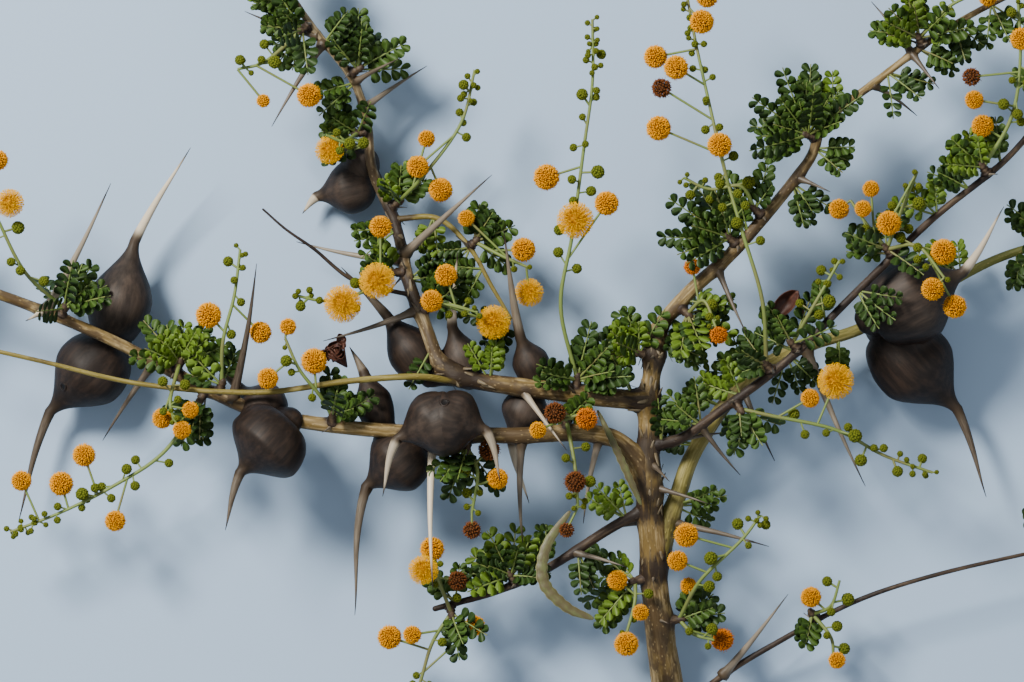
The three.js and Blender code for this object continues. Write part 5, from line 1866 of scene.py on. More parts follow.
    @staticmethod
    def relief(place: Vector, radius: float, offset: float, along: float) -> float:
        """Soft dents and long streaks in the skin, fainter on the thorn.

        Args:
            place: The place along and round the lobe.
            radius: The radius there.
            offset: Where in the noise the lobe lies.
            along: How far along the thorn it is; 0 on the lobe.

        Returns:
            The height in millimetres.
        """
        soft = 0.045 * noise.noise(place * 0.09 + Vector((offset, 0, 0)))
        streak = 0.012 * ridges(place, 0.8, 0.06, offset)
        return (soft + streak) * radius * (1.0 if along == 0 else 0.3)

    def bridge(self) -> Skin:
        """The skin of the neck that joins the lobes.

        Returns:
            The skin.
        """
        body = self.bridge_body()
        line, widths, rings = rounded(body.centres, body.radii, start=True, end=True)
        zero = np.zeros(len(rings))
        loft = Loft(line, widths, 28, {"along": zero, "tone": zero + 0.2, "body": zero})
        return self.run_together(loft.skin(), loft, len(self.gall.lobes))

    def skin(self) -> Skin:
        """The whole gall."""
        skins = [self.lobe(lobe, number) for number, lobe in enumerate(self.gall.lobes)]
        return Skin.joined(skins + [self.bridge()])

    def entry(self, skin: Skin) -> Skin | None:
        """The hole that ants use: a low rim round a shallow cup painted dark as the hole's shade, set on the gall
        where it shows from above.

        Args:
            skin: The gall's skin.

        Returns:
            The hole's skin, or None for a gall without one.
        """
        if not self.gall.hole:
            return None
        tree = BVHTree.FromPolygons([Vector(p) for p in skin.points], skin.faces)
        hit, normal, _, _ = tree.ray_cast(Vector((*self.gall.hole, 200.0)), Vector((0, 0, -1)))
        point, out = np.array(hit), np.array(normal)
        profile = ((1.75, -0.2), (1.55, 0.12), (1.2, 0.24), (0.95, 0.16), (0.85, 0.02), (0.8, 0.01))
        side = square_to(out, np.array((1.0, 0.3, 0.0)))
        other = np.cross(out, side)
        sides = 20
        points = []
        for radius, height in profile:
            for k in range(sides):
                a = 2 * math.pi * k / sides
                wave = 1 + 0.06 * math.sin(3 * a + 1)
                flat = side * math.cos(a) + other * math.sin(a)
                points.append(point + flat * (radius * wave) + out * height)
        points += [point - out * 0.3, point + out * 0.012]
        # painted shade of the hole: none at the rim's outer edge, full over the floor of the cup
        dark = np.append(np.repeat((0.0, 0.1, 0.35, 0.8, 1.0, 1.0), sides), (0.0, 1.0))
        none = np.zeros(len(points))
        values = {"along": none, "tone": none, "body": none + 0.5, "hole": dark}
        values["grain"] = np.array(points) - point
        return Skin(np.array(points), ring_faces(len(profile), sides), values)


def dry_cluster(root: Triple, middle: Triple) -> list[DryLeaf]:
    """Small dead leaves that have dried into one knot.

    Args:
        root: Where their stalks start.
        middle: The middle of the knot.

    Returns:
        The leaves.
    """
    pick, leaves = Chance("dry cluster"), []
    for i in range(DRY_CLUSTER_LEAVES):
        aim = heading(i * GOLDEN_ANGLE + pick.next(-40, 40), pick.next(-50, 60))
        neck = np.array(middle) + (pick.next(-4.5, 4.5), pick.next(-2.6, 2.6), pick.next(-2.0, 2.0))
        tip = neck + aim * pick.next(3.5, 6.5)
        leaves.append(DryLeaf(root, tuple(neck), tuple(tip), pick.next(2.0, 3.2), pick.next(1.2, 2.6)))
    return leaves


def arithmetic(operation: str, swapped: bool = False) -> Callable[..., "Socket"]:
    """A method of a socket that adds a Math node.

    Args:
        operation: The node's operation.
        swapped: Whether the socket comes last, as in 1 - mask.

    Returns:
        The method.
    """

    def method(socket: "Socket", *others: Any) -> "Socket":
        """Adds the node."""
        return socket.nodes.math(operation, *((*others, socket) if swapped else (socket, *others)))

    return method


@dataclass(frozen=True)
class Socket:
    """The output of a node, with arithmetic that adds further nodes."""

    nodes: "Nodes"
    source: bpy.types.NodeSocket

    __add__, __radd__ = arithmetic("ADD"), arithmetic("ADD", swapped=True)
    __sub__, __rsub__ = arithmetic("SUBTRACT"), arithmetic("SUBTRACT", swapped=True)
    __mul__, __rmul__ = arithmetic("MULTIPLY"), arithmetic("MULTIPLY", swapped=True)
    __abs__, __pow__ = arithmetic("ABSOLUTE"), arithmetic("POWER")

    def steps(self, low: float, high: float) -> "Socket":
        """0 below low, 1 above high and smooth between."""
        inputs = {"Value": self, "From Min": low, "From Max": high}
        return self.nodes.add("ShaderNodeMapRange", {"interpolation_type": "SMOOTHSTEP"}, inputs)


class Nodes:
    """A node tree that is written one call at a time."""

    def __init__(self, tree: bpy.types.NodeTree) -> None:
        """Takes the tree and empties it."""
        self.tree = tree
        tree.nodes.clear()

    def node(
        self, kind: str, settings: dict[str, Any] | None = None, inputs: dict[str | int, Any] | None = None
    ) -> bpy.types.Node:
        """Adds a node.

        Args:
            kind: Its type.
            settings: Its properties, which are set first.
            inputs: Values or sockets for its inputs, by name, identifier or place.

        Returns:
            The node.
        """
        made = self.tree.nodes.new(kind)
        for key, value in (settings or {}).items():
            setattr(made, key, value)
        for key, value in (inputs or {}).items():
            socket = self.find(made.inputs, key)
            if isinstance(value, Socket):
                self.tree.links.new(value.source, socket)
            else:
                socket.default_value = value
        return made

    @staticmethod
    def find(sockets: Any, key: str | int) -> bpy.types.NodeSocket:
        """The enabled socket with an identifier, or else a name, or at a place.

        Args:
            sockets: The sockets of a node.
            key: The identifier, the name or the place.

        Returns:
            The socket.
        """
        if isinstance(key, int):
            return sockets[key]
        for same in ("identifier", "name"):
            for socket in sockets:
                if getattr(socket, same) == key and socket.enabled:
                    return socket
        raise KeyError(key)

    def add(
        self,
        kind: str,
        settings: dict[str, Any] | None = None,
        inputs: dict[str | int, Any] | None = None,
        output: str | int = 0,
    ) -> Socket:
        """Adds a node and gives one of its outputs, the first unless another is named."""
        made = self.node(kind, settings, inputs)
        return Socket(self, self.find(made.outputs, output))

    def math(self, operation: str, *values: Any) -> Socket:
        """A number worked out from one to three others."""
        return self.add("ShaderNodeMath", {"operation": operation}, dict(enumerate(values)))

    def vector(self, operation: str, *values: Any) -> Socket:
        """A vector worked out from one or two others."""
        return self.add("ShaderNodeVectorMath", {"operation": operation}, dict(enumerate(values)))


class Finish:
    """A finish: its material is made once, from the colours and patterns that its class describes."""

    name: str

    def material(self) -> bpy.types.Material:
        """The finish's material.

        Returns:
            The material, made once.
        """
        made = bpy.data.materials.get(self.name + " finish")
        if made is None:
            made = bpy.data.materials.new(self.name + " finish")
            made.use_nodes = True
            self.paint(Paint(made.node_tree))
        return made

    def paint(self, paint: "Paint") -> None:
        """Writes the material's nodes."""
        raise NotImplementedError


class Paint(Nodes):
    """The nodes of a material."""

    def value(self, name: str) -> Socket:
        """A number that the mesh carries."""
        return self.add("ShaderNodeAttribute", {"attribute_name": name}, output="Fac")

    def stretched(self, around: float, along: float) -> Socket:
        """The place on a body, in millimetres, scaled round it and along it."""
        place = self.add("ShaderNodeAttribute", {"attribute_name": "grain"}, output="Vector")
        return self.vector("MULTIPLY", place, (around, around, along))

    def place(self) -> Socket:
        """The place in the piece's own coordinates, in metres."""
        return self.add("ShaderNodeTexCoord", output="Object")

    def noise(self, where: Socket, scale: float = 1.0, detail: float = 3.0, rough: float = 0.55) -> Socket:
        """Noise about 0.5, as fine as its scale, with finer layers as many and as strong as asked for."""
        inputs = {"Vector": where, "Scale": scale, "Detail": detail, "Roughness": rough}
        return self.add("ShaderNodeTexNoise", inputs=inputs)

    def streaks(self, around: float, along: float, detail: float = 3.0, rough: float = 0.55) -> Socket:
        """Noise over a body's skin, as fine as given round it and along it."""
        return self.noise(self.stretched(around, along), 1.0, detail, rough)

    def cells(self, where: Socket, scale: float) -> Socket:
        """The distance to the nearest of some scattered points."""
        return self.add("ShaderNodeTexVoronoi", inputs={"Vector": where, "Scale": scale}, output="Distance")

    def blend(self, low: Any, high: Any, share: Any) -> Socket:
        """A colour between two.

        Args:
            low: The colour at 0.
            high: The colour at 1.
            share: The share between them.

        Returns:
            The colour.
        """
        low, high = (c if isinstance(c, Socket) else (*c, 1.0) for c in (low, high))
        inputs = {"Factor_Float": share, "A_Color": low, "B_Color": high}
        return self.add("ShaderNodeMix", {"data_type": "RGBA"}, inputs, "Result_Color")

    def surface(
        self, colour: Any, roughness: Any, height: Socket | None = None, depth: float = 0.05,
        **constants: float,
    ) -> None:
        """Ends the tree in a surface.

        Args:
            colour: Its colour, as a socket or as numbers.
            roughness: Its roughness.
            height: What its bump follows.
            depth: How deep the bump is, in millimetres.
            **constants: Other inputs of the surface, with underscores for spaces.
        """
        colour = colour if isinstance(colour, Socket) else (*colour, 1.0)
        inputs: dict[str | int, Any] = {"Base Color": colour, "Roughness": roughness}
        if height is not None:
            inputs["Normal"] = self.add("ShaderNodeBump", inputs={"Distance": depth * MM, "Height": height})
        inputs.update({key.replace("_", " "): value for key, value in constants.items()})
        shader = self.add("ShaderNodeBsdfPrincipled", inputs=inputs)
        self.node("ShaderNodeOutputMaterial", inputs={"Surface": shader})


@dataclass(frozen=True)
class BarkFinish(Finish):
    """Bark: a smooth skin in two tones with long streaks, darker patches, pores and dark nodes."""

    name: str
    skin: Colour
    light: Colour
    dark: Colour
    knot: Colour
    patches: float = 0.5  # how much of the skin is dark
    tip: Colour | None = None  # the colour of the youngest wood
    roughness: float = 0.55

    WOOD = (0.62, 0.50, 0.30)
    HEART = (0.30, 0.17, 0.09)

    def paint(self, paint: Paint) -> None:
        """Writes the material's nodes.

        Args:
            paint: The material's paint.
        """
        streak = paint.streaks(1.0, 0.09, 4.0)
        patch = paint.streaks(0.11, 0.055, 4.0, 0.6)
        pores = paint.cells(paint.stretched(0.8, 0.45), 1.0).steps(0.28, 0.12)
        fine = paint.streaks(3.5, 0.8)
        colour = paint.blend(self.skin, self.light, streak.steps(0.42, 0.68))
        level = 1.0 - self.patches
        colour = paint.blend(colour, self.dark, patch.steps(level - 0.06, level + 0.05) * 0.85)
        if self.tip:
            colour = paint.blend(colour, self.tip, paint.value("age").steps(0.45, 0.95) * 0.8)
        colour = paint.blend(colour, self.light, pores * 0.5)
        colour = paint.blend(colour, self.dark, fine.steps(0.55, 0.75) * 0.3)
        worn = (paint.value("worn") + (streak + patch - 1.0) * 1.1).steps(0.34, 0.7)
        colour = paint.blend(colour, self.knot, worn * 0.92)
        colour = paint.blend(colour, self.knot, paint.value("knot").steps(0.15, 0.75) * 0.8)
        rings = paint.add(
            "ShaderNodeTexWave",
            {"wave_type": "RINGS", "rings_direction": "Z"},
            {"Vector": paint.stretched(1.0, 0.0), "Scale": 1.1, "Distortion": 0.6},
            "Fac",
        )
        wood = paint.blend(self.WOOD, self.HEART, rings.steps(0.5, 1.0) * 0.5)
        colour = paint.blend(colour, wood, paint.value("cut"))
        height = streak * 0.5 + pores * 0.6 + fine * 0.4
        paint.surface(colour, self.roughness + 0.25 * fine - 0.1, height, 0.2, Specular_IOR_Level=0.25)


@dataclass(frozen=True)
class ThornFinish(Finish):
    """A thorn: brown or ivory along its length, with a dark point."""

    name: str = "thorn"
    brown: Colour = (0.028, 0.018, 0.011)
    ivory: Colour = (0.56, 0.48, 0.36)
    point: Colour = (0.012, 0.007, 0.005)
    foot: Colour = (0.050, 0.034, 0.018)

    def shade(self, paint: Paint) -> Socket:
        """The thorn's colour.

        Args:
            paint: The material's paint.

        Returns:
            The colour.
        """
        grain = paint.streaks(2.2, 0.18)
        colour = paint.blend(self.brown, self.ivory, paint.value("tone") ** 1.5 + (grain - 0.5) * 0.3)
        along = paint.value("along")
        colour = paint.blend(self.foot, colour, along.steps(0.0, 0.12))
        return paint.blend(colour, self.point, (along + (grain - 0.5) * 0.1).steps(0.72, 0.94))

    def paint(self, paint: Paint) -> None:
        """Writes the material's nodes."""
        fine = paint.streaks(4.0, 0.4)
        paint.surface(self.shade(paint), 0.34 + 0.25 * fine, fine, 0.05, Specular_IOR_Level=0.35)


@dataclass(frozen=True)
class GallFinish(ThornFinish):
    """A gall: dark velvety brown with long streaks, a pale streaky painted highlight on its upward faces, and its
    thorns.
    """

    name: str = "gall"
    body: Colour = (0.0075, 0.0045, 0.0035)
    warm: Colour = (0.020, 0.0112, 0.0072)
    # a pale grey painted highlight, laid on the faces that look up
    ash: Colour = (0.120, 0.095, 0.076)
    # painted shade inside the entry hole
    inside: Colour = (0.003, 0.002, 0.002)

    def paint(self, paint: Paint) -> None:
        """Writes the material's nodes.

        Args:
            paint: The material's paint.
        """
        streak = paint.streaks(0.42, 0.045, 5.0, 0.6)
        cloud = paint.streaks(0.09, 0.07, 4.0, 0.6)
        fine = paint.streaks(2.6, 0.5, 4.0, 0.7)
        colour = paint.blend(self.body, self.warm, streak.steps(0.4, 0.66))
        # painted highlight: pale streaks where the skin faces up, stronger on lobes of paler tone
        ash = paint.value("dust").steps(0.25, 1.0) * (streak * 1.1 + cloud * 0.9 - 0.55)
        ash = ash * (0.1 + 0.7 * paint.value("tone"))
        colour = paint.blend(colour, self.ash, ash * (0.5 + 0.5 * fine))
        colour = paint.blend(colour, self.foot, paint.value("body").steps(0.8, 1.0) * 0.35)
        colour = paint.blend(colour, self.shade(paint), paint.value("along").steps(0.0, 0.1))
        # painted shade darkens the entry hole
        colour = paint.blend(colour, self.inside, paint.value("hole"))
        height = fine * 0.6 + streak * 0.5
        paint.surface(colour, 0.42 + 0.25 * fine, height, 0.09, Specular_IOR_Level=0.18)


@dataclass(frozen=True)
class LeafFinish(Finish):
    """A leaflet: green, with a paler midrib and rim."""

    name: str
    green: Colour
    pale: Colour
    worn: Colour = (0.20, 0.17, 0.035)

    def paint(self, paint: Paint) -> None:
        """Writes the material's nodes.

        Args:
            paint: The material's paint.
        """
        across = abs(paint.value("across"))
        tone = paint.value("tone")
        vein = paint.noise(paint.place(), 900.0, 3.0)
        colour = paint.blend(self.green, self.pale, (tone * 0.5 + vein * 0.5).steps(0.3, 0.8) * 0.7)
        colour = paint.blend(colour, self.pale, across.steps(0.72, 1.0) * 0.5)
        colour = paint.blend(colour, self.pale, across.steps(0.14, 0.02) * 0.45)
        colour = paint.blend(colour, self.worn, tone.steps(0.93, 1.0) * 0.55)
        paint.surface(colour, 0.45 + 0.2 * vein, vein + across * 0.5, 0.05, Specular_IOR_Level=0.28)


@dataclass(frozen=True)
class StalkFinish(Finish):
    """A green stalk or stem, browner on some."""

    name: str = "green stalk"
    green: Colour = (0.115, 0.165, 0.030)
    brown: Colour = (0.13, 0.085, 0.035)

    def paint(self, paint: Paint) -> None:
        """Writes the material's nodes.

        Args:
            paint: The material's paint.
        """
        cloud = paint.noise(paint.place(), 45.0, 3.0)
        fine = paint.noise(paint.place(), 1500.0, 3.0)
        colour = paint.blend(self.green, self.brown, cloud.steps(0.45, 0.7) * 0.6)
        colour = paint.blend(colour, self.brown, fine.steps(0.5, 0.8) * 0.3)
        paint.surface(colour, 0.5 + 0.2 * fine, fine, 0.03)


@dataclass(frozen=True)
class BloomFinish(Finish):
    """Stamens from their feet to their anthers, or the beads of a bud; the feet and the middle are darker as painted
    shade deep in the head.
    """

    name: str
    # painted shade: the colour at the feet of threads, grains and beads, and of the middle balls
    foot: Colour
    thread: Colour
    anther: Colour
    dull: Colour  # some of them

    def paint(self, paint: Paint) -> None:
        """Writes the material's nodes.

        Args:
            paint: The material's paint.
        """
        along, tone = paint.value("along"), paint.value("tone")
        # painted shade: darker towards the feet, deep in the head
        colour = paint.blend(self.foot, self.thread, along.steps(0.1, 0.75))
        colour = paint.blend(colour, self.anther, along.steps(0.85, 0.97))
        patch = paint.noise(paint.place(), 260.0, 3.0)
        colour = paint.blend(colour, self.dull, (tone * 0.5 + patch * 0.5).steps(0.5, 0.75) * 0.6)
        paint.surface(colour, 0.7 + 0.2 * patch, None, Specular_IOR_Level=0.06)


@dataclass(frozen=True)
class PodFinish(Finish):
    """A pod: olive green over brown, paler along its seams and darker over its seeds."""

    name: str = "pod"
    brown: Colour = (0.062, 0.050, 0.016)
    olive: Colour = (0.082, 0.092, 0.026)
    rim: Colour = (0.26, 0.25, 0.12)
    seed: Colour = (0.040, 0.034, 0.012)

    def paint(self, paint: Paint) -> None:
        """Writes the material's nodes.

        Args:
            paint: The material's paint.
        """
        cloud = paint.streaks(0.6, 0.25, 4.0)
        fine = paint.streaks(2.5, 1.2)
        colour = paint.blend(self.brown, self.olive, cloud.steps(0.4, 0.65))
        colour = paint.blend(colour, self.seed, fine.steps(0.55, 0.75) * 0.5)
        colour = paint.blend(colour, self.rim, paint.value("seam").steps(0.86, 0.98) * 0.8)
        paint.surface(colour, 0.4 + 0.25 * fine, fine + cloud, 0.08)


@dataclass(frozen=True)
class GroundFinish(Finish):
    """The plain floor."""

    name: str = "ground"
    colour: Colour = (0.31, 0.42, 0.57)

    def paint(self, paint: Paint) -> None:
        """Writes the material's nodes."""
        paint.surface(self.colour, 0.9, Specular_IOR_Level=0.1)


class Cloud:
    """Where copies of a small shape stand: each one's foot, where it points, its upper side and its size."""

    def __init__(self) -> None:
        """Starts empty."""
        self.copies: list[tuple[Vec, Vec, Vec, Triple]] = []

    def add(self, foot: Vec, aim: Vec, up: Vec, size: Triple) -> None:
        """Adds a copy, with its width, thickness and length in millimetres."""
        self.copies.append((foot, aim, up, size))

    def mesh(self, name: str) -> bpy.types.Mesh:
        """The cloud as bare vertices that carry its values."""
        feet, aims, ups, sizes = (np.array(column) for column in zip(*self.copies))
        return Skin(feet, [], {"aim": aims, "up": ups, "size": sizes * MM}).mesh(name)


class Template:
    """A small shape, one unit long along Z with its upper side to Y, that is copied many times."""

    def __init__(
        self, name: str, points: Sequence[Triple], faces: Sequence[tuple[int, ...]], along: Sequence[float]
    ) -> None:
        """Makes the shape.

        Args:
            name: Its name.
            points: Its vertices.
            faces: Its faces.
            along: Its value by vertex; leaflets carry the share of their half width.
        """
        mesh = bpy.data.meshes.new(name)
        mesh.from_pydata(points, [], faces)
        for key, values in (("along", along), ("across", along)):
            mesh.attributes.new(key, "FLOAT", "POINT").data.foreach_set("value", list(along))
        mesh.shade_smooth()
        self.object = bpy.data.objects.new(name, mesh)
        bpy.context.scene.collection.objects.link(self.object)

    @staticmethod
    def leaflet() -> "Template":
        """A thin closed leaflet with a rounded tip, slightly hollow along its midrib.

        Returns:
            The template.
        """
        outline = ((0.0, 0.05), (0.10, 0.20), (0.34, 0.38), (0.62, 0.5), (0.84, 0.45), (0.965, 0.24))
        right = [(w, 0.035 + 0.05 * w, z) for z, w in outline]
        left = [(-w, 0.035 + 0.05 * w, z) for z, w in reversed(outline)]
        rim = right + [(0.0, 0.03, 1.0)] + left
        ribs = [(0.0, -0.035, z) for z in (0.12, 0.42, 0.72, 0.92)]
        count = len(rim)
        points = rim + [(x, y + 0.014, z) for x, y, z in ribs] + [(x, y - 0.014, z) for x, y, z in ribs]
        top = Template.between(count, count, len(ribs))
        under = [tuple(reversed(face)) for face in Template.between(count, count + len(ribs), len(ribs))]
        along = [1.0] * count + [0.0] * (2 * len(ribs))
        return Template("leaflet", points, top + under, along)

    @staticmethod
    def between(count: int, first: int, ribs: int) -> list[tuple[int, ...]]:
        """Faces between a leaflet's rim and its ribs.

        Args:
            count: The vertices of the rim, from right of the foot round the tip to left of the foot.
            first: The first rib vertex.
            ribs: The count of rib vertices.

        Returns:
            The faces, seen from the upper side.
        """
        half = (count - 1) // 2
        rib = [first + min(ribs - 1, max(0, round((k - 0.5) * (ribs - 1) / (half - 1)))) for k in range(half)]
        rib.append(first + ribs - 1)
        faces: list[tuple[int, ...]] = []
        for left in (False, True):
            rim = [count - 1 - k if left else k for k in range(half + 1)]
            for k in range(half):
                face = list(dict.fromkeys((rim[k], rim[k + 1], rib[k + 1], rib[k])))
                faces.append(tuple(face if left else reversed(face)))
        return faces + [(first, 0, count - 1)]

    @staticmethod
    def flake() -> "Template":
        """A curved chip of bark, thin at its end.

        Returns:
            The template.
        """
        rows = ((0.0, 0.5, 0.0), (0.35, 0.46, 0.04), (0.7, 0.36, 0.14), (1.0, 0.12, 0.32))
        top = [(x * w, y + 0.16 * (1 - x * x), z) for z, w, y in rows for x in (-1.0, 0.0, 1.0)]
        points = top + [(x, y - 0.07, z) for x, y, z in top]
        faces: list[tuple[int, ...]] = []
        for i in range(3):
            for j in range(2):
                a = 3 * i + j
                faces += [(a, a + 3, a + 4, a + 1), (a + 12, a + 13, a + 16, a + 15)]
        ring = [0, 1, 2, 5, 8, 11, 10, 9, 6, 3]
        faces += [(a, b, b + 12, a + 12) for a, b in zip(ring, ring[1:] + ring[:1])]
        return Template("flake", points, faces, [0.5] * 24)

    @staticmethod
    def stamen() -> "Template":
        """A thread that thins outwards and carries a small anther.

        Returns:
            The template.
        """
        base = [(math.cos(a), math.sin(a), 0.0) for a in (0.5, 2.6, 4.7)]
        neck = [(0.6 * x, 0.6 * y, 0.86) for x, y, _ in base]
        belt = [(2.6 * math.cos(a), 2.6 * math.sin(a), 0.93) for a in (0.2, 1.77, 3.34, 4.91)]
        points = base + neck + belt + [(0.0, 0.0, 0.855), (0.0, 0.0, 1.0)]
        faces = [(0, 1, 4, 3), (1, 2, 5, 4), (2, 0, 3, 5), (2, 1, 0), (3, 4, 5)]
        for k in range(4):
            n = (k + 1) % 4
            faces += [(6 + k, 6 + n, 11), (10, 6 + n, 6 + k)]
        return Template("stamen", points, faces, [0.0] * 3 + [0.7] * 3 + [1.0] * 6)

    @staticmethod
    def grain() -> "Template":
        """A blunt spindle for the beads of buds and the anthers of a full head.

        Returns:
            The template.
        """
        belt = [(math.cos(a), math.sin(a), 0.62) for a in (0.0, 1.571, 3.142, 4.712)]
        points = belt + [(0.0, 0.0, 0.0), (0.0, 0.0, 1.0)]
        faces = [face for k in range(4) for face in ((k, (k + 1) % 4, 5), (4, (k + 1) % 4, k))]
        return Template("grain", points, faces, [0.7] * 4 + [0.0, 1.0])

    @staticmethod
    def ball() -> "Template":
        """A small round middle, one unit in radius.

        Returns:
            The template.
        """
        rings = ((0.588, -0.809), (0.951, -0.309), (0.951, 0.309), (0.588, 0.809))
        turns = [math.tau * k / 8 for k in range(8)]
        points = [(w * math.cos(turn), w * math.sin(turn), z) for w, z in rings for turn in turns]
        points += [(0.0, 0.0, -1.0), (0.0, 0.0, 1.0)]
        return Template("ball", points, ring_faces(4, 8), [0.2] * len(points))


class Grower:
    """The Geometry Nodes trees that copy small shapes and sweep stalks."""

    @staticmethod
    def group(name: str, inputs: Sequence[tuple[str, str, Any]]) -> tuple[Nodes, dict[str, Socket]]:
        """A new tree that takes and gives geometry.

        Args:
            name: Its name.
            inputs: The name, socket type and default of each further input.

        Returns:
            The tree's nodes, and its inputs by name.
        """
        tree = bpy.data.node_groups.new(name, "GeometryNodeTree")
        for way in ("INPUT", "OUTPUT"):
            tree.interface.new_socket("Geometry", in_out=way, socket_type="NodeSocketGeometry")
        for label, kind, default in inputs:
            socket = tree.interface.new_socket(label, in_out="INPUT", socket_type=kind)
            if default is not None:
                socket.default_value = default
        nodes = Nodes(tree)
        given = nodes.node("NodeGroupInput").outputs
        return nodes, {socket.name: Socket(nodes, socket) for socket in given if socket.name}

    @staticmethod
    def end(nodes: Nodes, shape: Socket, finish: Socket) -> bpy.types.NodeTree:
        """Ends a tree: what it gives is real geometry with its finish.

        Args:
            nodes: The tree's nodes.
            shape: What it gives.
            finish: The finish's material.

        Returns:
            The tree.
        """
        solid = nodes.add("GeometryNodeRealizeInstances", inputs={"Geometry": shape})
        painted = nodes.add("GeometryNodeSetMaterial", inputs={"Geometry": solid, "Material": finish})
        nodes.node("NodeGroupOutput", inputs={"Geometry": painted})
        return nodes.tree

    @cached_property
    def scatter(self) -> bpy.types.NodeTree:
        """Copies a shape to each point of a cloud, a little jittered.

        Returns:
            The tree.
        """
        inputs = (
            ("Shape", "NodeSocketObject", None), ("Finish", "NodeSocketMaterial", None),
            ("Jitter", "NodeSocketFloat", 0.1), ("Size spread", "NodeSocketFloat", 0.12),
            ("Seed", "NodeSocketInt", 7),
        )
        nodes, take = self.group("scatter", inputs)
        vector, number = {"data_type": "FLOAT_VECTOR"}, {"data_type": "FLOAT"}
        aim, up, size = (
            nodes.add("GeometryNodeInputNamedAttribute", vector, {"Name": key}, "Attribute")
            for key in ("aim", "up", "size")
        )
        limits = {"Min": (-1.0,) * 3, "Max": (1.0,) * 3, "Seed": take["Seed"]}
        stray = nodes.add("FunctionNodeRandomValue", vector, limits)
        shift = nodes.add("ShaderNodeVectorMath", {"operation": "SCALE"}, {0: stray, "Scale": take["Jitter"]})
        axes = {"primary_axis": "Z", "secondary_axis": "Y"}
        turn = nodes.add("FunctionNodeAxesToRotation", axes, {0: nodes.vector("ADD", aim, shift), 1: up})
        spread = take["Size spread"]
        limits = {"Min": 1.0 - spread, "Max": 1.0 + spread, "Seed": take["Seed"] + 1}
        grow = nodes.add("FunctionNodeRandomValue", number, limits)
        scale = nodes.add("ShaderNodeVectorMath", {"operation": "SCALE"}, {0: size, "Scale": grow})
        shape = nodes.add("GeometryNodeObjectInfo", inputs={"Object": take["Shape"]}, output="Geometry")
        copies = nodes.add(
            "GeometryNodeInstanceOnPoints",
            inputs={"Points": take["Geometry"], "Instance": shape, "Rotation": turn, "Scale": scale},
        )
        tone = nodes.add("FunctionNodeRandomValue", number, {"Seed": take["Seed"] + 2})
        toned = nodes.add(
            "GeometryNodeStoreNamedAttribute", number | {"domain": "INSTANCE"},
            {"Geometry": copies, "Name": "tone", "Value": tone},
        )
        return self.end(nodes, toned, take["Finish"])

    @cached_property
    def sweep(self) -> bpy.types.NodeTree:
        """Sweeps a round section along lines whose points carry a radius.

        Returns:
            The tree.
        """
        inputs = (("Finish", "NodeSocketMaterial", None), ("Sides", "NodeSocketInt", 7))
        nodes, take = self.group("sweep", inputs)
        line = nodes.add("GeometryNodeMeshToCurve", inputs={"Mesh": take["Geometry"]})
        number = {"data_type": "FLOAT"}
        radius = nodes.add("GeometryNodeInputNamedAttribute", number, {"Name": "thick"}, "Attribute")
        section = {"Resolution": take["Sides"], "Radius": 1.0}
        ring = nodes.add("GeometryNodeCurvePrimitiveCircle", inputs=section)
        swept = nodes.add(
            "GeometryNodeCurveToMesh",
            inputs={"Curve": line, "Profile Curve": ring, "Scale": radius, "Fill Caps": True},
        )
        smooth = nodes.add("GeometryNodeSetShadeSmooth", inputs={"Geometry": swept})
        return self.end(nodes, smooth, take["Finish"])

    def run(self, source: bpy.types.Mesh, tree: bpy.types.NodeTree, inputs: dict[str, Any]) -> bpy.types.Mesh:
        """Runs a tree on a mesh.

        Args:
            source: The mesh.
            tree: The tree.
            inputs: The value of each input by name.

        Returns:
            What the tree makes, as a mesh.
        """
        carrier = bpy.data.objects.new(source.name, source)
        bpy.context.scene.collection.objects.link(carrier)
        modifier = carrier.modifiers.new("grow", "NODES")
        modifier.node_group = tree
        for item in tree.interface.items_tree:
            if item.in_out == "INPUT" and item.name in inputs:
                modifier[item.identifier] = inputs[item.name]
        bpy.context.view_layer.update()
        graph = bpy.context.evaluated_depsgraph_get()
        made = bpy.data.meshes.new_from_object(carrier.evaluated_get(graph))
        carrier.modifiers.clear()
        bpy.data.objects.remove(carrier)
        for key in ("aim", "up", "size"):
            if key in made.attributes:
                made.attributes.remove(made.attributes[key])
        return made


class Assembly:
    """Turns meshes into the part's pieces and logs each."""

    def __init__(self) -> None:
        """Starts with no pieces."""
        self.grower = Grower()
        self.triangles = 0

    def piece(
        self, name: str, mesh: bpy.types.Mesh, slot: str, finish: Finish, nodes: Sequence[str] = ()
    ) -> None:
        """Adds a piece that rides on the body.

        Args:
            name: Its name.
            mesh: Its mesh.
            slot: The record's material slot.
            finish: Its finish.
            nodes: The CAD nodes that it stands for.
        """
        mesh.name = name
        mesh.materials.clear()
        mesh.materials.append(finish.material())
        made = bpy.data.objects.new(name, mesh)
        bpy.context.scene.collection.objects.link(made)
        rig.ride(made, BODY)
        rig.slot(made, slot)
        if nodes:
            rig.replaces(made, *nodes)
        mesh.calc_loop_triangles()
        self.triangles += len(mesh.loop_triangles)
        log.info("%s: %s triangles", name, len(mesh.loop_triangles))


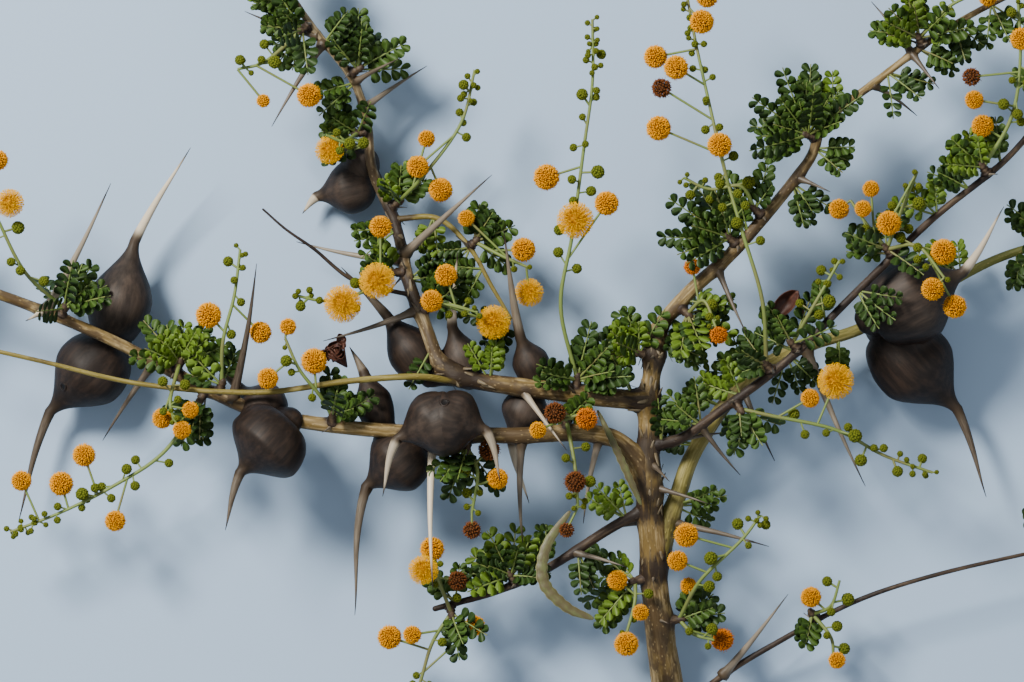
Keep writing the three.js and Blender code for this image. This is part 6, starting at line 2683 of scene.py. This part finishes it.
class Branch:
    """The whole cut branch."""

    FINISHES = {
        Bark.OLIVE: BarkFinish(
            "olive bark", (0.120, 0.078, 0.022), (0.27, 0.20, 0.095), (0.040, 0.023, 0.009),
            (0.014, 0.008, 0.005),
        ),
        Bark.ASHEN: BarkFinish(
            "ashen bark", (0.105, 0.072, 0.030), (0.27, 0.215, 0.125), (0.036, 0.022, 0.011),
            (0.014, 0.008, 0.005),
        ),
        Bark.KHAKI: BarkFinish(
            "khaki bark", (0.125, 0.108, 0.024), (0.24, 0.205, 0.065), (0.045, 0.032, 0.011),
            (0.018, 0.011, 0.006), 0.42, (0.085, 0.10, 0.018),
        ),
        Bark.DARK: BarkFinish(
            "dark bark", (0.026, 0.015, 0.009), (0.075, 0.050, 0.028), (0.012, 0.007, 0.005),
            (0.010, 0.006, 0.004),
        ),
        Bark.GREEN: BarkFinish(
            "green bark", (0.125, 0.098, 0.018), (0.20, 0.165, 0.045), (0.065, 0.045, 0.012),
            (0.035, 0.022, 0.009), 0.4,
        ),
        Bark.DEAD: BarkFinish(
            "dead bark", (0.024, 0.014, 0.009), (0.060, 0.042, 0.028), (0.011, 0.007, 0.005),
            (0.008, 0.005, 0.003),
        ),
    }
    SPUR_RINGS = 9
    SPUR_SIDES = 14
    SPUR_GIRTH = 1.35
    SPUR_FLARE = 0.9
    SPUR_SCAR = 0.22
    SPINE_LENGTHS = (24, 46)  # over which spines grow stouter
    SPINE_GIRTHS = (0.95, 1.45)  # at those lengths, as shares of the solid's
    EXTRA_GIRTH = 0.8  # of an extra thorn, as a share
    EXTRA_GAP = 1.5  # from the bark to where it takes room
    EXTRA_ROOM = 0.7  # that it takes round its line
    GALL_THORN_GIRTH = 1.4  # of one that starts in a gall

    def __init__(self) -> None:
        """Grows the branch by the source's rule, and then its finer growth."""
        self.assembly = Assembly()
        self.limbs = {limb.name: limb for limb in LIMBS}
        self.space = Space()
        for thing in (*LIMBS, *GALLS, *PODS):
            thing.take_room(self.space)
        self.sprays = [GrownSpray(plan, self.limbs[plan.host]) for plan in SPRAYS]
        for grow in (
            GrownSpray.grow_racemes, GrownSpray.grow_pinnae, GrownSpray.grow_small_buds,
            GrownSpray.grow_small_pinnae,
        ):
            for spray in self.sprays:
                grow(spray, self.space)
        self.tufts = [tuft for limb in LIMBS if limb.name in LEAFY_LIMBS for tuft in self.tufts_of(limb)]
        for tuft in self.tufts:
            tuft.grow(self.space)
        counts = [
            sum(len(leaves) for leaves in grown) for grown in (
                [spray.pinnae for spray in self.sprays],
                [spray.small_pinnae for spray in self.sprays],
                [tuft.pinnae for tuft in self.tufts],
            )
        ]
        log.info("grown: %s leaves, %s shorter ones and %s in tufts", *counts)

    @staticmethod
    def tufts_of(limb: Limb) -> list[Tuft]:
        """The tufts of a limb, by its pitch and a chance of its own.

        Args:
            limb: The limb.

        Returns:
            The tufts.
        """
        pick = Chance(limb.name + " tufts")
        shares, _, lengths = limb.curve.evenly(1.0)
        even = np.arange(TUFT_PITCH / 2, float(lengths[-1]), TUFT_PITCH)
        places = [place + pick.next(-TUFT_STRAY, TUFT_STRAY) * TUFT_PITCH for place in even]
        return [Tuft(limb, float(np.interp(p, lengths, shares)), f"{limb.name} tuft {p:.0f}") for p in places]

    def add_limbs(self) -> None:
        """Adds each limb, and all their thorns."""
        thorns = []
        self.flakes = Cloud()
        for limb in LIMBS:
            ends = limb.spine_ends()
            hosted = [spray for spray in self.sprays if spray.plan.host == limb.name]
            nodes = [
                mix(*spray.spur, spray.girth / (spray.girth + SEAT_GAP + SPUR_HEIGHT)) for spray in hosted
            ]
            for base, tip, tone in ends:
                buried = limb.radius_at(limb.nearest(*base[:2]))
                nodes.append(base + unit(tip - base) * buried)
                share = float(np.interp(math.dist(base, tip), self.SPINE_LENGTHS, self.SPINE_GIRTHS))
                thorns.append(ThornMesh(base, tip, SPINE_RADIUS * share, tone, buried).skin())
            joined = [other for other in LIMBS if other.parent == limb.name or other.name == limb.parent]
            maker = LimbMesh(limb, nodes, joined)
            mesh = maker.skin().mesh(limb.name)
            pick = Chance(limb.name + " flake sizes")
            for place, out, line in maker.flakes:
                aim = unit(line + out * pick.next(0.0, 0.35))
                size = (pick.next(0.9, 2.0), 0.9, pick.next(2.2, 5.5))
                self.flakes.add(place, aim, square_to(aim, out), size)
            self.assembly.piece(limb.name + "_bark", mesh, "bark", self.FINISHES[limb.bark], (limb.name,))
        for spray in self.sprays:
            for base, tip in spray.small_thorns(self.space):
                small = ThornMesh(base, tip, SMALL_THORN_RADIUS, SMALL_THORN_TONE, spray.girth)
                thorns.append(small.skin())
        for host, x, y, tip_x, tip_y, rise, tone, inside in EXTRA_THORNS:
            limb = self.limbs[host]
            share = limb.nearest(x, y)
            base, girth = limb.curve.point(share), limb.radius_at(share)
            tip = np.array((tip_x, tip_y, base[2] + rise))
            start = max(girth + self.EXTRA_GAP, inside * math.dist(base, tip))
            if self.space.take([Capsule(base + unit(tip - base) * start, tip, self.EXTRA_ROOM)]):
                radius = SPINE_RADIUS * (self.GALL_THORN_GIRTH if inside else self.EXTRA_GIRTH)
                thorns.append(ThornMesh(base, tip, radius, tone, girth).skin())
        self.assembly.piece("thorns", Skin.joined(thorns).mesh("thorns"), "thorn", ThornFinish())
        self.add_spurs()

    def add_spurs(self) -> None:
        """Adds the short woody spurs that carry the sprays."""
        skins = []
        for spray in self.sprays:
            root, tip = spray.spur
            shares = np.linspace(0.25, 1, self.SPUR_RINGS)
            centres = np.array([mix(root, tip, share) for share in shares])
            out = np.maximum(0.0, shares * (spray.girth + SEAT_GAP + SPUR_HEIGHT) - spray.girth)
            scars = self.SPUR_SCAR * np.cos(out * 4.2)
            radii = self.SPUR_GIRTH + self.SPUR_FLARE * np.exp(-out / 0.9) + scars
            line, widths, rings = rounded(centres, radii, start=False, end=True)
            zero = np.zeros(len(rings))
            values = {"knot": zero + 0.25, "cut": zero, "age": zero, "worn": zero}
            skins.append(Loft(line, widths, self.SPUR_SIDES, values).skin())
        self.assembly.piece("spurs", Skin.joined(skins).mesh("spurs"), "bark", self.FINISHES[Bark.DARK])

    def add_galls(self) -> None:
        """Adds each gall with its thorns and its entry hole."""
        for gall in GALLS:
            maker = GallMesh(gall)
            skin = maker.skin()
            skin.values["hole"] = np.zeros(len(skin.points))
            hole = maker.entry(skin)
            if hole:
                skin = Skin.joined([skin, hole])
            mesh = skin.mesh(gall.name)
            # how far each vertex faces up, which places the gall's painted highlight
            normals = np.zeros(len(mesh.vertices) * 3)
            mesh.vertices.foreach_get("normal", normals)
            layer = mesh.attributes.new("dust", "FLOAT", "POINT")
            layer.data.foreach_set("value", normals[2::3].astype(np.float32))
            self.assembly.piece(gall.name + "_skin", mesh, "gall", GallFinish(), (gall.name,))


class PodMesh:
    """A flat pod with a stalk, a beak and bumps over its seeds."""

    RINGS = 64
    SIDES = 24
    THICKNESS = 0.38
    SEED_PITCH = 3.4

    def __init__(self, pod: Pod) -> None:
        """Takes the pod."""
        self.pod = pod

    def skin(self) -> Skin:
        """The pod's skin, with `seam` near its edges.

        Returns:
            The skin.
        """
        shares = np.linspace(0, 1, self.RINGS)
        curve = SmoothCurve(self.pod.bends)
        centres = curve.points(shares)
        run = run_along(centres)
        widths = self.pod.half_width * mix(POD_END_SHARE, 1.0, np.sin(math.pi * shares) ** 0.6)
        waist = 1 - 0.10 * np.cos(2 * math.pi * run / self.SEED_PITCH) * np.sin(math.pi * shares)
        line, radii, _ = rounded(centres, widths * waist, start=True, end=True)
        skin = Loft(line, radii, self.SIDES, {}, self.THICKNESS).skin()
        grain = skin.values["grain"]
        reach = np.maximum(np.hypot(grain[:, 0], grain[:, 1]), 1e-6)
        skin.values["seam"] = np.abs(grain[:, 1]) / reach
        return skin


class Foliage:
    """The leaflets and the green stalks of the sprays."""

    PITCH = 3.3
    SPLAY = 62.0
    LENGTH = 4.9
    WIDTH = 3.7
    FOLD = 16.0
    RACHIS = (0.42, 0.22)
    RACHIS_POINTS = 9

    def __init__(self, sprays: Sequence[GrownSpray], tufts: Sequence[Tuft]) -> None:
        """Takes the sprays and the tufts."""
        self.sprays = sprays
        self.tufts = tufts

    @staticmethod
    def tint(number: int) -> Tint:
        """The green of a spray."""
        return (Tint.MIDDLE, Tint.DEEP, Tint.MIDDLE, Tint.FRESH, Tint.DEEP)[number % 5]

    def dress(self, pinna: Pinna, cloud: Cloud, small: float) -> None:
        """Adds a pinna's leaflets to a cloud.

        Args:
            pinna: The pinna.
            cloud: The cloud.
            small: The size of its leaflets, as a share.
        """
        run = pinna.length * (1 - PINNA_STALK_SHARE)
        pairs = max(4, round(run / (self.PITCH * mix(0.75, 1.0, small))))
        for k in range(pairs):
            s = mix(PINNA_STALK_SHARE, 0.97, (k + 0.35) / pairs)
            middle = (k + 0.5) / pairs
            size = small * mix(0.72, 1.0, math.sin(math.pi * min(1.0, middle * 0.8 + 0.22)))
            splay = math.radians(mix(self.SPLAY + 8, self.SPLAY - 22, middle))
            fold = math.sin(math.radians(self.FOLD))
            for side in (1, -1):
                out = pinna.across * side
                aim = unit(pinna.line * math.cos(splay) + out * math.sin(splay) + pinna.normal * fold * 0.6)
                up = square_to(aim, pinna.normal - out * fold)
                foot = pinna.at(s, side * 0.25, 0.15)
                cloud.add(foot, aim, up, (self.WIDTH * size, self.LENGTH * size, self.LENGTH * size))

    def clouds(self) -> dict[Tint, Cloud]:
        """The leaflets' clouds by tint.

        Returns:
            The clouds.
        """
        clouds = {tint: Cloud() for tint in Tint}
        for number, spray in enumerate(self.sprays):
            for pinna in spray.pinnae:
                self.dress(pinna, clouds[self.tint(number)], 1.0)
            for pinna in spray.small_pinnae:
                self.dress(pinna, clouds[self.tint(number + 1)], 0.85)
        for number, tuft in enumerate(self.tufts):
            for pinna in tuft.pinnae:
                self.dress(pinna, clouds[self.tint(number + 2)], 0.8)
        return clouds

    def stalks(self) -> list[Twig]:
        """The sprays' stems, stalks and leaf midribs.

        Returns:
            The stalks, each with its radii.
        """
        twigs = []
        for spray in self.sprays:
            twigs += spray.stems
            twigs += [head.stalk for head in spray.heads + spray.buds]
        pinnae = [pinna for grown in (*self.sprays, *self.tufts) for pinna in grown.pinnae]
        pinnae += [pinna for spray in self.sprays for pinna in spray.small_pinnae]
        shares = np.linspace(0, 1, self.RACHIS_POINTS)
        return twigs + [Twig(np.array([p.at(s) for s in shares]), mix(*self.RACHIS, shares)) for p in pinnae]


@dataclass(frozen=True)
class Cover:
    """Threads or grains all over a head, with their reach as shares of its radius."""

    count: int
    radius: float  # in millimetres
    reach: tuple[float, float]


@dataclass(frozen=True)
class Growth:
    """What covers of a kind have in common."""

    power: float  # by which their count grows with the head
    inset: float  # where they start, as a share of the middle ball
    stray: float  # from an even spread
    lean: float = 0.0


class Blossom:
    """The flower heads and buds of the sprays."""

    # The middle ball as a share of the head's radius, and what covers it
    FORMS: dict[Bloom, tuple[float, dict[str, Cover]]] = {
        Bloom.OPEN: (0.45, {"threads": Cover(860, 0.056, (0.86, 1.03))}),
        Bloom.GOLDEN: (0.66, {
            "threads": Cover(110, 0.06, (0.92, 1.04)), "grains": Cover(400, 0.27, (0.90, 1.0)),
        }),
        Bloom.SPENT: (0.6, {
            "threads": Cover(120, 0.06, (0.8, 1.1)), "grains": Cover(260, 0.30, (0.90, 1.0)),
        }),
        Bloom.WITHERED: (0.55, {
            "threads": Cover(110, 0.06, (0.7, 1.1)), "grains": Cover(150, 0.36, (0.90, 1.0)),
        }),
    }
    GROWTHS = {"threads": Growth(1.2, 0.9, 0.08, 0.14), "grains": Growth(2, 0.92, 0.06)}
    FULL_RADIUS = 4.4  # of a head that has the counts above
    BEADS = 64
    BEAD_SHARE = 0.30  # of a bud's radius
    BEAD_WIDTH = 2.35  # of a bud's radius, for a single bead
    BUD_CORE = 0.82

    def __init__(self, sprays: Sequence[GrownSpray]) -> None:
        """Takes the sprays."""
        self.heads = [head for spray in sprays for head in spray.heads]
        self.buds = [bud for spray in sprays for bud in spray.buds]

    @staticmethod
    def round_about(count: int, pick: Chance, loose: float) -> list[Vec]:
        """Directions spread evenly over a ball.

        Args:
            count: How many.
            pick: The chance generator.
            loose: How far each strays.

        Returns:
            The unit vectors.
        """
        aims = []
        for i in range(count):
            z = 1 - 2 * (i + 0.5) / count
            a = math.radians(i * GOLDEN_ANGLE)
            flat = math.sqrt(1 - z * z)
            even = np.array((flat * math.cos(a), flat * math.sin(a), z))
            aims.append(unit(even + pick.direction() * loose))
        return aims

    def of(self, bloom: Bloom) -> list[Head]:
        """The heads that have come so far."""
        return [head for head in self.heads if head.bloom is bloom]

    def cover(self, bloom: Bloom, kind: str) -> Cloud:
        """The long stamens, or the crowded anthers, of the heads that have come so far.

        Args:
            bloom: How far they have come.
            kind: Threads or grains.

        Returns:
            Their cloud.
        """
        cloud, growth = Cloud(), self.GROWTHS[kind]
        core, covers = self.FORMS[bloom]
        if kind not in covers:
            return cloud
        cover = covers[kind]
        for number, head in enumerate(self.of(bloom)):
            pick = Chance(f"{bloom.value} {kind} {number}")
            count = int(cover.count * (head.radius / self.FULL_RADIUS) ** growth.power)
            for aim in self.round_about(count, pick, growth.stray):
                foot = head.centre + aim * (head.radius * core * growth.inset)
                long = head.radius * (pick.next(*cover.reach) - core * growth.inset)
                line = unit(aim + pick.direction() * growth.lean) if growth.lean else aim
                cloud.add(foot, line, square_to(line, UP), (cover.radius, cover.radius, long))
        return cloud

    @staticmethod
    def cores(heads: Sequence[Head], share: float) -> Cloud:
        """The middle balls of some heads or buds, by their share of the radius.

        Args:
            heads: The heads or buds.
            share: The share.

        Returns:
            Their cloud.
        """
        cloud = Cloud()
        for head in heads:
            cloud.add(head.centre, UP, heading(0), (head.radius * share,) * 3)
        return cloud

    def beads(self) -> Cloud:
        """The beads of the buds.

        Returns:
            Their cloud.
        """
        cloud = Cloud()
        for number, bud in enumerate(self.buds):
            pick = Chance(f"bud {number}")
            count = int(self.BEADS * min(1.0, (bud.radius / 2.0)) ** 1.2)
            wide = bud.radius * self.BEAD_WIDTH / math.sqrt(count)
            for aim in self.round_about(count, pick, 0.05):
                foot = bud.centre + aim * bud.radius * (1 - self.BEAD_SHARE * 1.6)
                long = bud.radius * self.BEAD_SHARE * 1.6 * pick.next(0.94, 1.06)
                cloud.add(foot, aim, square_to(aim, UP), (wide, wide, long))
        return cloud


class Stalks:
    """Green stalks as lines that carry a radius."""

    @staticmethod
    def mesh(name: str, twigs: Sequence[Twig]) -> bpy.types.Mesh:
        """The stalks' lines as a named mesh of edges.

        Args:
            name: The mesh's name.
            twigs: The stalks.

        Returns:
            The mesh.
        """
        points = np.concatenate([twig.points for twig in twigs])
        thick = np.concatenate([twig.radii for twig in twigs]) * MM
        starts = np.cumsum([0] + [len(twig.points) for twig in twigs])
        edges = [(i, i + 1) for a, b in zip(starts, starts[1:]) for i in range(int(a), int(b) - 1)]
        made = bpy.data.meshes.new(name)
        made.from_pydata(((points - DRAWING_CENTRE) * MM).tolist(), edges, [])
        made.attributes.new("thick", "FLOAT", "POINT").data.foreach_set("value", thick.astype(np.float32))
        return made


class Dressing:
    """Adds the sprays' pieces to the branch."""

    GREENS = {
        Tint.DEEP: LeafFinish("deep leaf", (0.014, 0.036, 0.004), (0.045, 0.085, 0.012)),
        Tint.MIDDLE: LeafFinish("middle leaf", (0.028, 0.062, 0.006), (0.080, 0.135, 0.017)),
        Tint.FRESH: LeafFinish("fresh leaf", (0.070, 0.125, 0.008), (0.150, 0.220, 0.024)),
    }
    # the first colour of each is painted shade at the feet, deep in the head
    BLOOMS = {
        Bloom.OPEN: BloomFinish(
            "open bloom", (0.50, 0.22, 0.0), (0.76, 0.38, 0.0), (0.82, 0.45, 0.0), (0.66, 0.27, 0.0)
        ),
        Bloom.GOLDEN: BloomFinish(
            "golden bloom", (0.24, 0.085, 0.0), (0.64, 0.27, 0.0), (0.76, 0.36, 0.0), (0.48, 0.17, 0.0)
        ),
        Bloom.SPENT: BloomFinish(
            "spent bloom", (0.22, 0.06, 0.006), (0.45, 0.13, 0.006), (0.58, 0.18, 0.008), (0.20, 0.06, 0.010)
        ),
        Bloom.WITHERED: BloomFinish(
            "withered bloom", (0.05, 0.020, 0.008), (0.12, 0.040, 0.012), (0.17, 0.062, 0.016),
            (0.04, 0.018, 0.010),
        ),
    }
    DRY = LeafFinish("dry leaf", (0.030, 0.009, 0.006), (0.105, 0.040, 0.022), (0.16, 0.075, 0.040))
    PEELING = StalkFinish("peeling bark", (0.115, 0.088, 0.048), (0.022, 0.013, 0.008))
    DRY_LEAVES = (
        DryLeaf((104, 2.5, 36), (99.5, 17.5, 46), (89.5, 7, 45), 6.0, 1.9),
        *dry_cluster((-58, -9, 29.5), (-61, -4, 33.5)),
    )
    # its first colour is painted shade between the beads
    BUD = BloomFinish(
        "bud", (0.020, 0.030, 0.004), (0.070, 0.088, 0.008), (0.15, 0.155, 0.012), (0.19, 0.14, 0.010)
    )

    def __init__(self, branch: Branch) -> None:
        """Takes the branch.

        Args:
            branch: The branch.
        """
        self.branch = branch
        self.assembly = branch.assembly
        self.nodes = [spray.plan.name for spray in branch.sprays]

    def scatter(
        self, name: str, cloud: Cloud, shape: Template, finish: Finish, slot: str, jitter: float,
        spread: float,
    ) -> None:
        """Adds a piece made of many copies.

        Args:
            name: The piece's name.
            cloud: Where the copies stand.
            shape: What is copied.
            finish: Its finish.
            slot: The record's material slot.
            jitter: How far each copy's direction strays.
            spread: How far each copy's size strays, as a share.
        """
        if not cloud.copies:
            return
        inputs = {"Shape": shape.object, "Finish": finish.material(), "Jitter": jitter, "Size spread": spread}
        grower = self.assembly.grower
        mesh = grower.run(cloud.mesh(name), grower.scatter, inputs)
        self.assembly.piece(name, mesh, slot, finish, () if slot == "bark" else self.nodes)

    def add(self) -> None:
        """Adds the stalks, the leaflets, the heads and the buds."""
        grower = self.assembly.grower
        foliage, blossom = Foliage(self.branch.sprays, self.branch.tufts), Blossom(self.branch.sprays)
        stalk = StalkFinish()
        lines = Stalks.mesh("stalks", foliage.stalks())
        mesh = grower.run(lines, grower.sweep, {"Finish": stalk.material(), "Sides": 8})
        self.assembly.piece("stalks", mesh, "foliage", stalk, self.nodes)
        leaflet, stamen, grain, ball, flake = shapes = (
            Template.leaflet(), Template.stamen(), Template.grain(), Template.ball(), Template.flake()
        )
        self.scatter("bark_flakes", self.branch.flakes, flake, self.PEELING, "bark", 0.25, 0.2)
        dry = Skin.joined([skin for leaf in self.DRY_LEAVES for skin in leaf.skins()])
        self.assembly.piece("dry_leaves", dry.mesh("dry leaves"), "foliage", self.DRY)
        for tint, cloud in foliage.clouds().items():
            self.scatter(f"leaflets_{tint.value}", cloud, leaflet, self.GREENS[tint], "foliage", 0.16, 0.12)
        for bloom, finish in self.BLOOMS.items():
            threads, grains = blossom.cover(bloom, "threads"), blossom.cover(bloom, "grains")
            self.scatter(f"threads_{bloom.value}", threads, stamen, finish, "blossom", 0.05, 0.08)
            self.scatter(f"grains_{bloom.value}", grains, grain, finish, "blossom", 0.08, 0.12)
            cores = blossom.cores(blossom.of(bloom), blossom.FORMS[bloom][0])
            self.scatter(f"middles_{bloom.value}", cores, ball, finish, "blossom", 0.0, 0.0)
        self.scatter("bud_beads", blossom.beads(), grain, self.BUD, "blossom", 0.05, 0.1)
        cores = blossom.cores(blossom.buds, blossom.BUD_CORE)
        self.scatter("bud_middles", cores, ball, self.BUD, "blossom", 0.0, 0.0)
        for shape in shapes:
            bpy.data.objects.remove(shape.object)


class Studio:
    """The camera straight above, the plain floor and the soft light."""

    LENS = 300.0
    SENSOR = 36.0
    AIM = (0.0085, -0.0036)
    HEIGHT = 3.022
    FLOOR = -0.0006
    FLOOR_SIZE = 6.0
    SKY = (0.92, 0.96, 1.0)
    SKY_STRENGTH = 0.42
    LAMPS = (  # the name, the place, the side, the power in watts and the colour
        ("key", (-0.85, 0.85, 1.3), 0.45, 74.0, (1.0, 0.96, 0.89)),
        ("fill", (0.9, -0.6, 1.2), 1.2, 7.0, (0.90, 0.94, 1.0)),
    )

    def camera(self) -> None:
        """Sets the camera straight above the branch."""
        data = bpy.data.cameras.new("camera")
        data.lens, data.sensor_width = self.LENS, self.SENSOR
        data.clip_start, data.clip_end = 0.1, 20.0
        made = bpy.data.objects.new("camera", data)
        made.location = (*self.AIM, self.HEIGHT)
        bpy.context.scene.collection.objects.link(made)
        bpy.context.scene.camera = made

    def floor(self) -> None:
        """Lays the floor."""
        half = self.FLOOR_SIZE / 2
        mesh = bpy.data.meshes.new("floor")
        square = ((-half, -half), (half, -half), (half, half), (-half, half))
        mesh.from_pydata([(x, y, self.FLOOR) for x, y in square], [], [(0, 1, 2, 3)])
        mesh.materials.append(GroundFinish().material())
        made = bpy.data.objects.new("floor", mesh)
        bpy.context.scene.collection.objects.link(made)
        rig.stage(made)

    def lamp(self, name: str, place: Triple, size: float, power: float, colour: Colour) -> None:
        """Hangs a soft square lamp that faces the branch.

        Args:
            name: Its name.
            place: Where it hangs.
            size: The length of its side.
            power: Its power in watts.
            colour: Its colour.
        """
        data = bpy.data.lights.new(name, "AREA")
        data.size, data.energy, data.color = size, power, colour
        made = bpy.data.objects.new(name, data)
        made.location = place
        made.rotation_mode = "QUATERNION"
        made.rotation_quaternion = (-Vector(place)).to_track_quat("-Z", "Y")
        bpy.context.scene.collection.objects.link(made)

    def sky(self) -> None:
        """Lights everything a little from all round."""
        world = bpy.data.worlds.new("sky")
        world.use_nodes = True
        nodes = Nodes(world.node_tree)
        light = {"Color": (*self.SKY, 1.0), "Strength": self.SKY_STRENGTH}
        glow = nodes.add("ShaderNodeBackground", inputs=light)
        nodes.node("ShaderNodeOutputWorld", inputs={"Surface": glow})
        bpy.context.scene.world = world

    def set_up(self) -> None:
        """Sets up all of it."""
        self.camera()
        self.floor()
        for lamp in self.LAMPS:
            self.lamp(*lamp)
        self.sky()


def write_size(key: str) -> None:
    """Args:
        key: The box's name there; "cad" starts the file anew.
    """
    low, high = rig.bounds()
    boxes = {}
    if key != "cad":
        with open(SIZE_FILE, encoding="utf-8") as file:
            boxes = json.load(file)
    boxes[key] = [list(low), list(high)]
    with open(SIZE_FILE, "w", encoding="utf-8") as file:
        json.dump(boxes, file)


def main() -> None:
    """Builds the branch and its studio."""
    logging.basicConfig(level=logging.INFO, format="%(message)s")
    write_size("cad")
    studio = Studio()
    studio.set_up()
    branch = Branch()
    branch.add_limbs()
    branch.add_galls()
    for pod in PODS:
        mesh = PodMesh(pod).skin().mesh(pod.name)
        branch.assembly.piece(pod.name + "_skin", mesh, "pod", PodFinish(), (pod.name,))
    Dressing(branch).add()
    log.info("%s triangles in all", branch.assembly.triangles)
    write_size("visual")


if __name__ == "__main__":
    main()
